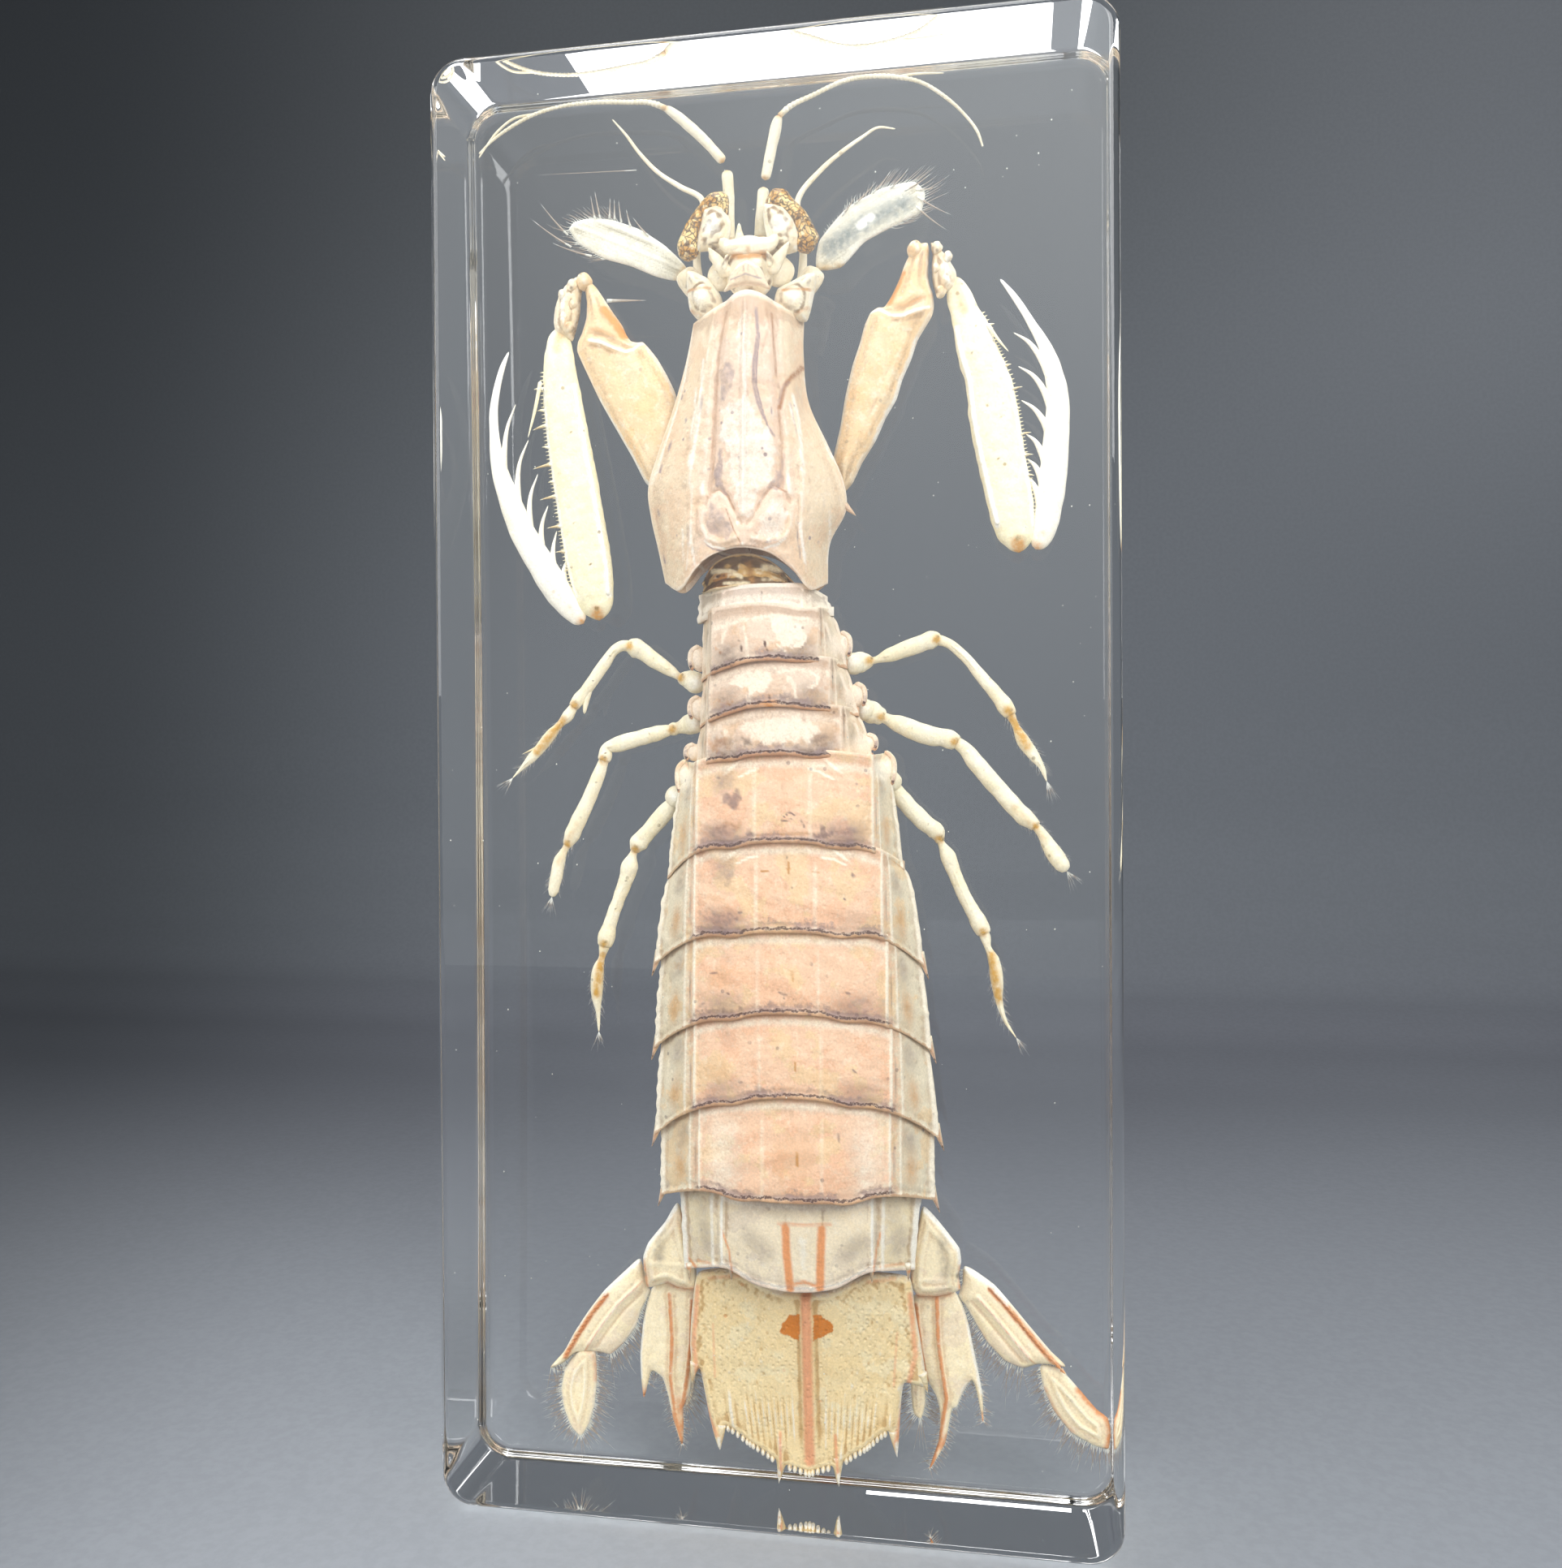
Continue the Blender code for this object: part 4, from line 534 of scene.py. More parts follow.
def add_loft(shape, tops, unders, plans, stains=None):
    """A closed form between rows of front points and rows of back points."""
    tops, unders, plans = (np.stack(part) for part in (tops, unders, plans))
    rings, columns = tops.shape[:2]
    count = rings * columns
    faces = grid_faces(rings, columns) + grid_faces(rings, columns, count)
    for row in range(rings - 1):
        for edge in (0, columns - 1):
            low, high = row * columns + edge, (row + 1) * columns + edge
            faces.append((low, high, count + high, count + low))
    for row in (0, rings - 1):
        for column in range(columns - 1):
            low = row * columns + column
            faces.append((low, low + 1, count + low + 1, count + low))
    points = np.concatenate((tops.reshape(-1, 3), unders.reshape(-1, 3)))
    plans = plans.reshape(-1, 3)
    stains = np.zeros((count, 3)) if stains is None else stains
    shape.add(points, faces, np.concatenate((plans, plans * (1.0, 1.0, -1.0))),
              np.concatenate((stains, stains * 0.3)))


def turn_under(tops, unders, folds):
    """More rows behind a form's free edge: each fold goes down from the last row, and back."""
    last_top, last_under = tops[-1], unders[-1]
    for down, back in folds:
        top, under = last_top.copy(), last_under.copy()
        top[:, 1] = np.minimum(top[:, 1] + back, under[:, 1] - 0.02)
        top[:, 2] -= down
        under[:, 2] = top[:, 2]
        tops.append(top)
        unders.append(under)


def add_limb(shape, route, y=LIMB_PLANE, depth=0.8, sides=20, step=STEP, relief=0.04, round_ends=True,
             lean=0.0, blunt=1.0):
    """A limb piece: round sections along a route of (x, z, width), the width held in the (x, z)
    plane and the depth a share of it."""
    spots, at = resample(route, step)
    count, length = len(spots), at[-1]
    ways = np.gradient(spots[:, :2], axis=0)
    ways /= np.linalg.norm(ways, axis=1)[:, None]
    half = np.maximum(spots[:, 2] / 2, 0.03)
    if round_ends:
        for end in (at, length - at):
            near = np.clip(end / np.maximum(half * blunt, 0.05), 0.0, 1.0)
            half = half * np.sqrt(np.maximum(1.0 - (1.0 - near) ** 2, 0.004))
    turns = np.linspace(0.0, 2 * math.pi, sides, endpoint=False)
    points, plans = [], []
    for (x, z, _), way, radius, along in zip(spots, ways, half, at):
        across = np.cos(turns) * radius
        deep = -np.sin(turns) * radius * depth
        depths = y + lean * along / length + deep
        points.append(np.stack((x + across * -way[1], depths, z + across * way[0]), axis=1))
        from_ends = np.full(sides, length - along), np.full(sides, along / length)
        plans.append(np.stack((np.cos(turns), *from_ends), axis=1))
    points = np.concatenate(points)
    centre = np.repeat(np.stack((spots[:, 0], np.full(count, y), spots[:, 1]), axis=1), sides, axis=0)
    out = points - centre
    out /= np.maximum(np.linalg.norm(out, axis=1), 1e-6)[:, None]
    points += out * (waves(points, 1.7, count) * relief * np.repeat(np.minimum(half, 1.0), sides))[:, None]
    shape.add(points, tube_faces(count, sides), np.concatenate(plans))


def add_spike(shape, foot, tip, width, rise=0.0, sides=7, rings=6, power=0.8):
    """A pointed spine or hair from its foot to its tip, its middle lifted by a rise."""
    foot, tip, lift = (np.asarray(row, dtype=float) for row in (foot, tip, (0.0, 0.0, rise)))
    way = tip - foot
    length = max(np.linalg.norm(way), 1e-6)
    way = way / length
    side = np.cross(way, (0.0, 1.0, 0.0) if abs(way[1]) < 0.9 else (1.0, 0.0, 0.0))
    side /= np.linalg.norm(side)
    up = np.cross(way, side)
    turns = np.linspace(0.0, 2 * math.pi, sides, endpoint=False)
    points, plans = [], []
    for ring in range(rings):
        share = ring / (rings - 1)
        centre = foot + way * length * share + lift * 4 * share * (1 - share)
        radius = width / 2 * max((1 - share) ** power, 0.04)
        points.extend(centre + side * math.cos(turn) * radius + up * math.sin(turn) * radius
                      for turn in turns)
        plans.extend((math.cos(turn), length * (1 - share), share) for turn in turns)
    shape.add(points, tube_faces(rings, sides), plans)


def add_bulb(shape, centre, half, lean=0.0, columns=28, rings=18, relief=0.03):
    """A rounded knob, which counts as far from any margin."""
    points, plans = [], []
    tilt = math.radians(lean)
    for ring in range(rings + 1):
        height = math.pi * ring / rings
        for column in range(columns):
            turn = 2 * math.pi * column / columns
            x = math.sin(height) * math.cos(turn) * half[0]
            y = math.sin(height) * math.sin(turn) * half[1]
            z = math.cos(height) * half[2]
            points.append((x * math.cos(tilt) + z * math.sin(tilt), y,
                           z * math.cos(tilt) - x * math.sin(tilt)))
            plans.append((math.cos(turn), 9.0, ring / rings))
    points = np.asarray(points)
    points *= (1.0 + waves(points, max(half), columns) * relief)[:, None]
    shape.add(points + np.asarray(centre), grid_faces(rings + 1, columns, closed=True), plans)


def add_blade(shape, outline, middle, thickness, pillow=0.8, step=STEP, relief=None, lean=None):
    """A flat blade cut to an (x, z) outline about the plane y = middle. Its faces swell from a thin
    edge; relief gives how far the front stands out at (x, z, distance from the edge)."""
    rim = smooth_outline(outline, step)
    low, high = rim.min(axis=0), rim.max(axis=0)
    across = np.arange(low[0], high[0], step)
    up = np.arange(low[1], high[1], step * 0.866)
    flat = np.array([(x + (step / 2 if row % 2 else 0.0), z) for row, z in enumerate(up) for x in across])
    closed = np.concatenate((rim, rim[:1]))
    keep = inside_outline(flat, rim) & (distance_to_route(upright(*flat.T), closed) > step * 0.45)
    flat = np.concatenate((rim, flat[keep]))
    count = len(rim)
    edges = [(index, (index + 1) % count) for index in range(count)]
    done = delaunay_2d_cdt([Vector(row) for row in flat.tolist()], edges, [list(range(count))], 1, 1e-5)
    front, triangles = upright(*np.asarray([tuple(row) for row in done[0]]).T), done[2]
    back = front.copy()
    x, z = front[:, 0], front[:, 2]
    inward = distance_to_route(front, closed)
    inward[inward < 1e-4] = 0.0
    near = np.clip(inward / pillow, 0.0, 1.0)
    swell = thickness / 2 * np.sqrt(1.0 - (1.0 - near) ** 2)
    bowed = middle + (lean(x, z) if lean else 0.0)
    lift = relief(x, z, inward) * ease(near) if relief else 0.0
    ripple = waves(front, 1.5, count) * 0.02 * near
    front[:, 1] = bowed - swell - lift
    back[:, 1] = bowed + swell + ripple
    edge = inward <= 0.0
    on_back = np.where(edge, np.arange(len(front)), 0)
    on_back[~edge] = len(front) + np.arange(np.count_nonzero(~edge))
    faces = [tuple(face) for face in triangles]
    faces += [tuple(int(on_back[index]) for index in reversed(face)) for face in triangles]
    plans = np.stack((np.ones(len(front)), inward, near), axis=1)
    shape.add(np.concatenate((front, back[~edge])), faces,
              np.concatenate((plans, plans[~edge] * (-1.0, 1.0, 1.0))))


# Finishes. Object coordinates are in metres, so a scale of 1000 is one cell to the millimetre.

def tint(code):
    """A paint chart colour, six hex digits, as the renderer's linear colour."""
    parts = [int(code[index:index + 2], 16) / 255 for index in (0, 2, 4)]
    return (*(part / 12.92 if part <= 0.04045 else ((part + 0.055) / 1.055) ** 2.4 for part in parts), 1.0)


class Nodes:
    """Short forms for the nodes of one material or group."""

    def __init__(self, tree):
        self.tree = tree

    def add(self, kind, inputs=(), **settings):
        """A node with its settings, its inputs given by their labels or numbers."""
        node = self.tree.nodes.new(kind)
        for name, value in settings.items():
            setattr(node, name, value)
        for label, value in dict(inputs).items():
            self.feed(node.inputs[label], value)
        return node

    def feed(self, socket, value):
        if isinstance(value, bpy.types.NodeSocket):
            self.tree.links.new(value, socket)
        else:
            socket.default_value = value

    def sum(self, operation, first, second=0.0):
        return self.add("ShaderNodeMath", {0: first, 1: second}, operation=operation).outputs[0]

    def times(self, first, second):
        return self.sum("MULTIPLY", first, second)

    def plus(self, first, second):
        return self.sum("ADD", first, second)

    def minus(self, first, second):
        return self.sum("SUBTRACT", first, second)

    def span(self, value, low, high, start=0.0, end=1.0):
        """The value's way from low to high, eased, as the way from start to end."""
        given = dict(enumerate((value, low, high, start, end)))
        return self.add("ShaderNodeMapRange", given, interpolation_type="SMOOTHSTEP").outputs["Result"]

    def blend(self, share, first, second, kind="MIX"):
        node = self.add("ShaderNodeMix", data_type="RGBA", blend_type=kind)
        self.feed(node.inputs["Factor"], share)
        first_colour, second_colour = [socket for socket in node.inputs if socket.type == "RGBA"]
        self.feed(first_colour, first)
        self.feed(second_colour, second)
        return next(socket for socket in node.outputs if socket.type == "RGBA")

    def shaded(self, colour, share):
        """The colour made darker where the share is under 1."""
        grey = self.add("ShaderNodeCombineColor", {0: share, 1: share, 2: share})
        return self.blend(1.0, colour, grey.outputs[0], "MULTIPLY")

    def noise(self, scale, detail=3.0, rough=0.55):
        given = {"Vector": self.place(), "Scale": scale, "Detail": detail, "Roughness": rough}
        return self.add("ShaderNodeTexNoise", given).outputs["Fac"]

    def cells(self, scale, feature="F1", vector=None):
        given = {"Vector": vector or self.place(), "Scale": scale}
        return self.add("ShaderNodeTexVoronoi", given, feature=feature).outputs["Distance"]

    def place(self):
        return self.add("ShaderNodeTexCoord").outputs["Object"]

    def parts(self, vector):
        return self.add("ShaderNodeSeparateXYZ", {0: vector}).outputs

    def marks(self, name, output="Vector"):
        """What the mesh carries under this name."""
        return self.add("ShaderNodeAttribute", attribute_name=name).outputs[output]

    def relief(self, height, depth, strength=1.0):
        given = {"Strength": strength, "Distance": depth, "Height": height}
        return self.add("ShaderNodeBump", given).outputs["Normal"]

    def surface(self, shader):
        self.add("ShaderNodeOutputMaterial", {"Surface": shader.outputs[0]})


def new_material(name):
    material = bpy.data.materials.new(name)
    material.use_nodes = True
    material.node_tree.nodes.clear()
    return material, Nodes(material.node_tree)


def new_group(name, inputs, outputs):
    """A group of nodes. An input is a colour if its usual value is a colour's code, or a number."""
    group = bpy.data.node_groups.new(name, "ShaderNodeTree")
    for label, value in inputs.items():
        painted = isinstance(value, str)
        kind = "NodeSocketColor" if painted else "NodeSocketFloat"
        socket = group.interface.new_socket(label, in_out="INPUT", socket_type=kind)
        socket.default_value = tint(value) if painted else value
    for label, kind in outputs.items():
        group.interface.new_socket(label, in_out="OUTPUT", socket_type=kind)
    nodes = Nodes(group)
    return group, nodes, nodes.add("NodeGroupInput").outputs, nodes.add("NodeGroupOutput").inputs


def make_shell_stain_group():
    """The colour of dried shell: ground, side plates, ragged stains, fine mottling and specks, with proud
    edges paler and seams and hollows darker, partly as wear and dark joints and partly as painted highlight
    and shade.
    """
    group, nodes, given, out = new_group("shell_stains", {
        "Ground": "eed0b4", "Side": "cdcbb9", "Ochre": "cd965f", "Dusk": "82695f", "Pale": "faeedd",
        "Ragged": 0.8, "Speckle": 0.5, "Cloud": 0.35, "Edges": 0.7, "Seams": 0.7, "Seam": "8c6a4c",
        "Blush": "e8c9a0", "Blush Share": 0.45, "Margin": 0.0, "Line": "4e3026", "Haze": "a08a88"},
        {"Colour": "NodeSocketColor", "Roughness": "NodeSocketFloat"})
    across, from_edge, _ = nodes.parts(nodes.marks("plan"))
    stains = nodes.parts(nodes.marks("stain"))
    proud = nodes.marks("proudness", "Fac")
    coarse = nodes.noise(330.0, 4.0, 0.6)
    middle = nodes.noise(1300.0, 4.0, 0.65)
    fine = nodes.noise(4200.0, 3.0, 0.7)
    wander = nodes.minus(middle, 0.5)
    sideways = nodes.sum("ABSOLUTE", across)
    side = nodes.span(nodes.plus(sideways, nodes.times(wander, 0.3)), 0.54, 0.76)
    shade = nodes.blend(side, given["Ground"], given["Side"])
    cloud = nodes.times(nodes.span(coarse, 0.5, 0.57), given["Cloud"])
    shade = nodes.blend(cloud, shade, given["Dusk"], "SOFT_LIGHT")
    blush = nodes.times(nodes.span(nodes.noise(240.0, 5.0, 0.6), 0.52, 0.57), given["Blush Share"])
    warm = nodes.times(nodes.span(middle, 0.5, 0.72), given["Cloud"])
    grit = nodes.times(nodes.minus(fine, 0.5), given["Ragged"])
    drift = nodes.plus(nodes.times(nodes.times(wander, given["Ragged"]), 2.4), grit)
    # Proud edges and keels are painted paler, as rubbed shell and as a painted highlight. Seams and hollows
    # are painted darker, as dark joints and as painted shade.
    proud_with_grit = nodes.plus(proud, nodes.times(grit, 0.5))
    edge = nodes.times(nodes.span(proud_with_grit, 0.25, 0.95), given["Edges"])
    seam = nodes.times(nodes.span(proud_with_grit, -0.2, -0.85), given["Seams"])
    layers = [(blush, "Blush"), (warm, "Pale"), (edge, "Pale"), (seam, "Seam")]
    for stain, name in zip(stains, ("Ochre", "Dusk", "Pale")):
        layers.append((nodes.span(nodes.times(stain, nodes.plus(drift, 1.0)), 0.05, 0.95), name))
    inner = nodes.times(nodes.span(sideways, 0.68, 0.6), given["Margin"])
    far = nodes.plus(from_edge, nodes.times(wander, 3.4))
    haze = nodes.times(nodes.times(nodes.span(far, 1.5, 0.6), inner), nodes.span(coarse, 0.4, 0.56))
    near = nodes.plus(from_edge, nodes.times(wander, 0.9))
    line = nodes.times(nodes.span(near, 0.26, 0.32), nodes.span(near, 0.62, 0.5))
    line = nodes.times(nodes.times(line, inner), nodes.span(fine, 0.4, 0.48, 0.35, 1.0))
    tan = nodes.times(nodes.span(near, 0.34, 0.2), given["Margin"])
    rare = nodes.span(nodes.noise(210.0, 2.0), 0.52, 0.6)
    dots = nodes.times(nodes.span(nodes.cells(620.0), 0.17, 0.1), rare)
    layers += [(nodes.times(haze, 0.75), "Haze"), (line, "Line"), (nodes.times(tan, 0.6), "Ochre"),
               (nodes.times(dots, given["Speckle"]), "Dusk")]
    for share, name in layers:
        shade = nodes.blend(share, shade, given[name])
    nodes.feed(out["Colour"], nodes.shaded(shade, nodes.span(fine, 0.3, 0.75, 0.9, 1.07)))
    nodes.feed(out["Roughness"], nodes.span(middle, 0.3, 0.7, 0.42, 0.62))
    return group


def make_shell_skin_group():
    """The skin's relief: soft wrinkles, pores and fine grain."""
    group, nodes, given, out = new_group("shell_skin", {"Wrinkle": 0.5, "Pore": 0.3, "Grain": 0.2},
                                         {"Height": "NodeSocketFloat"})
    wrinkle = nodes.times(nodes.noise(900.0, 4.0, 0.6), given["Wrinkle"])
    pore = nodes.times(nodes.span(nodes.cells(1700.0), 0.1, 0.45), given["Pore"])
    grain = nodes.times(nodes.noise(6000.0, 2.0, 0.7), given["Grain"])
    nodes.feed(out["Height"], nodes.plus(nodes.plus(wrinkle, pore), grain))
    return group


SHELL_STAINS = make_shell_stain_group()
SHELL_SKIN = make_shell_skin_group()


def shell_finish(name, ground, gloss=0.35, bump_depth=0.00008, **looks):
    """Dried shell of one part of the body, told by what differs from the usual values of the two
    groups. Its side plates and blushes are as its ground unless they are given."""
    material, nodes = new_material(name)
    stains = nodes.add("ShaderNodeGroup", node_tree=SHELL_STAINS)
    skin = nodes.add("ShaderNodeGroup", node_tree=SHELL_SKIN)
    for key, value in {"ground": ground, "side": ground, "blush": ground, **looks}.items():
        label = key.replace("_", " ").title()
        group = skin if label in ("Wrinkle", "Pore", "Grain") else stains
        group.inputs[label].default_value = tint(value) if isinstance(value, str) else value
    nodes.surface(nodes.add("ShaderNodeBsdfPrincipled", {
        "Base Color": stains.outputs["Colour"], "Roughness": stains.outputs["Roughness"],
        "Normal": nodes.relief(skin.outputs["Height"], bump_depth), "Specular IOR Level": gloss}))
    return material


BACK_SHELL = shell_finish("abdomen_shell", "f4caa8", side="e9dcc0", ochre="cf9556", dusk="7c6160",
                          pale="fff4de", cloud=0.3, seam="b0825a", seams=0.3, edges=0.3, blush="f0cf9e",
                          blush_share=0.6, margin=0.9, ragged=0.45)
THORAX_SHELL = shell_finish("thorax_shell", "e6cdb6", side="ead8bc", ochre="d08c4a", dusk="5c3c30",
                            pale="fae8d2", ragged=0.7, seam="a87c58", edges=0.4, seams=0.4,
                            blush="e0b990", blush_share=0.6, margin=1.0)
COLLAR_SHELL = shell_finish("collar_shell", "fbe9da", side="f4e8d4", ochre="c08c5c", dusk="8d6f5c",
                            speckle=0.3, blush="f4e0c8", seams=0.4, edges=0.4)
SHIELD_SHELL = shell_finish("carapace_shell", "f0d3ba", side="efd8b8", ochre="b27c54", dusk="a88f8c",
                            pale="fbf0e2", seam="b08660", speckle=0.9, edges=0.5, seams=0.4,
                            blush="eccba8", blush_share=0.7)
NECK_SKIN = shell_finish("neck_skin", "d0a560", ochre="a4722f", dusk="5c3a1a", pale="ecdcb8", cloud=0.8,
                         wrinkle=1.0, bump_depth=0.00016, seam="5c3c1c", seams=0.9, blush="d0b070")
LAST_RING_SHELL = shell_finish("last_ring_shell", "f2e2c4", side="efdfbc", ochre="e59a62", dusk="b8a896",
                               ragged=0.35, pale="fcf7ea", cloud=0.3, seam="b08c62", seams=0.6,
                               blush="decdb6", blush_share=0.6, margin=0.35)
TAIL_SHELL = shell_finish("tail_shell", "f4e3be", side="f0d8a6", ochre="eaa67a", dusk="cf7a1e",
                          pale="f1eadb", pore=0.6, bump_depth=0.00012, cloud=0.1, seam="b98a48",
                          edges=0.8, blush="efe0b8", blush_share=0.6, ragged=0.4)
FAN_SHELL = shell_finish("fan_shell", "f8e8c4", ochre="db9560", dusk="a89a84", pale="fdfaf0",
                         speckle=0.3, seam="c69a64", blush="e8d2ba", cloud=0.2, seams=0.4, edges=0.5)
CLAW_SHELL = shell_finish("claw_shell", "fff5d2", ochre="dc9c48", dusk="a0824c", pale="fffdf4",
                          speckle=0.7, cloud=0.25, gloss=0.5, seam="c09a58", edges=0.5, blush="f2e8bc")
FINGER_SHELL = shell_finish("claw_finger_shell", "fff9ea", ochre="e0a45c", dusk="c8a878", pale="fffefa",
                            speckle=0.3, cloud=0.2, gloss=0.6, seam="d8bc8c", edges=0.5, blush="f8f0d8")
CARPUS_SHELL = shell_finish("claw_carpus_shell", "f3e2c4", ochre="d8954c", dusk="8a6c48", pale="fffaec",
                            gloss=0.5, seam="a07848", edges=0.6, blush="e8cfa4")
ARM_SHELL = shell_finish("claw_arm_shell", "f4d2a2", ochre="e29c50", dusk="a08a70", pale="fffaee",
                         gloss=0.5, seam="a87c50", edges=0.4, blush="f0dcb8")
LEG_SHELL = shell_finish("leg_shell", "f7edd0", ochre="cc9a3c", dusk="8c774c", pale="fffdf2", speckle=0.6,
                         gloss=0.5, seam="b89a5c", cloud=0.3, edges=0.5, seams=0.5, blush="efe2bc")
HEAD_SHELL = shell_finish("head_shell", "f4e8cc", ochre="c99050", dusk="7e6040", pale="fffcf2",
                          seam="86643c", seams=0.9, blush="e8d4ae", edges=0.6)
FEELER_SHELL = shell_finish("feeler_shell", "ece2c8", ochre="cfa262", dusk="8f7c58", pale="fffaee",
                            wrinkle=0.3, blush="dccfae")
SCALE_SHELL = shell_finish("antennal_scale_shell", "e8e2ce", ochre="d2b684", dusk="868b86",
                           pale="fffcf2", wrinkle=0.2, seam="a89c7c", blush="f6f2e2")
BELLY_SKIN = shell_finish("swimming_leg_skin", "e4d8bf", ochre="c79a62", dusk="9a8770", pale="f7f0dd",
                          blush="d8c4a0")
BRISTLE = shell_finish("bristle", "e3e3da", ochre="cbbf9c", dusk="a9a898", pale="fafaf4",
                       bump_depth=0.00001)


# The body

def ring_columns(edges, ridges):
    """x of a ring's nine columns, from its left edge to its right."""
    (left, right), (ridge_left, ridge_right) = edges, ridges
    across = [mix(ridge_left, ridge_right, share) for share in (0.0, 0.25, 0.5, 0.75, 1.0)]
    return [left, mix(left, ridge_left, 0.5), *across, mix(right, ridge_right, 0.5), right]


def nine_heights(left, ridge_left, middle, ridge_right, right):
    return [left, mix(left, ridge_left, 0.6), ridge_left, mix(ridge_left, middle, 0.75), middle,
            mix(ridge_right, middle, 0.75), ridge_right, mix(right, ridge_right, 0.6), right]


def rear_margin(name):
    """x and z of a ring's rear margin at its nine columns."""
    _, edges, ridges, heights = SOMITES[name]
    return ring_columns(edges, ridges), nine_heights(*heights)


def nine_tops(name):
    ridge, back = RIDGE_TOPS.get(name, CARINA_TOP), BACK_TOPS.get(name, BACK_TOP)
    half = [SIDE_TOP, mix(SIDE_TOP, ridge, 0.55), ridge, mix(ridge, back, 0.75)]
    return [*half, back, *half[::-1]]


def nine_unders():
    edge = SIDE_TOP + SIDE_THICKNESS
    half = [edge, mix(edge, BELLY_CARINA, 0.35), BELLY_CARINA, mix(BELLY_CARINA, BELLY_MIDDLE, 0.7)]
    return [*half, BELLY_MIDDLE, *half[::-1]]


# How each ring is marked: dusk band before the rear margin (left, right), ochre there, pale lines
# down the back, dark patch on the left shoulder, waviness of the margin, oblique shoulder ridges
RING_LOOKS = {
    "thoracic_somite_5": (0.0, 0.0, 0.1, 0.0, 0.0, 0.0, 0.0),
    "thoracic_somite_6": (0.8, 0.8, 0.9, 0.0, 0.0, 0.1, 0.0),
    "thoracic_somite_7": (0.7, 0.7, 1.0, 0.0, 0.0, 0.1, 0.0),
    "thoracic_somite_8": (0.8, 0.9, 0.8, 0.0, 0.0, 0.25, 0.0),
    "abdominal_somite_1": (1.0, 1.0, 0.7, 0.5, 0.7, 0.35, 1.0),
    "abdominal_somite_2": (1.0, 0.5, 0.7, 0.5, 0.7, 0.35, 1.0),
    "abdominal_somite_3": (0.8, 0.8, 0.7, 0.4, 0.3, 0.35, 0.7),
    "abdominal_somite_4": (0.7, 0.7, 0.7, 0.4, 0.4, 0.35, 0.6),
    "abdominal_somite_5": (0.4, 0.4, 0.7, 0.4, 0.2, 0.3, 0.4),
    "abdominal_somite_6": (0.2, 0.2, 0.5, 0.0, 0.2, 0.1, 0.0),
}
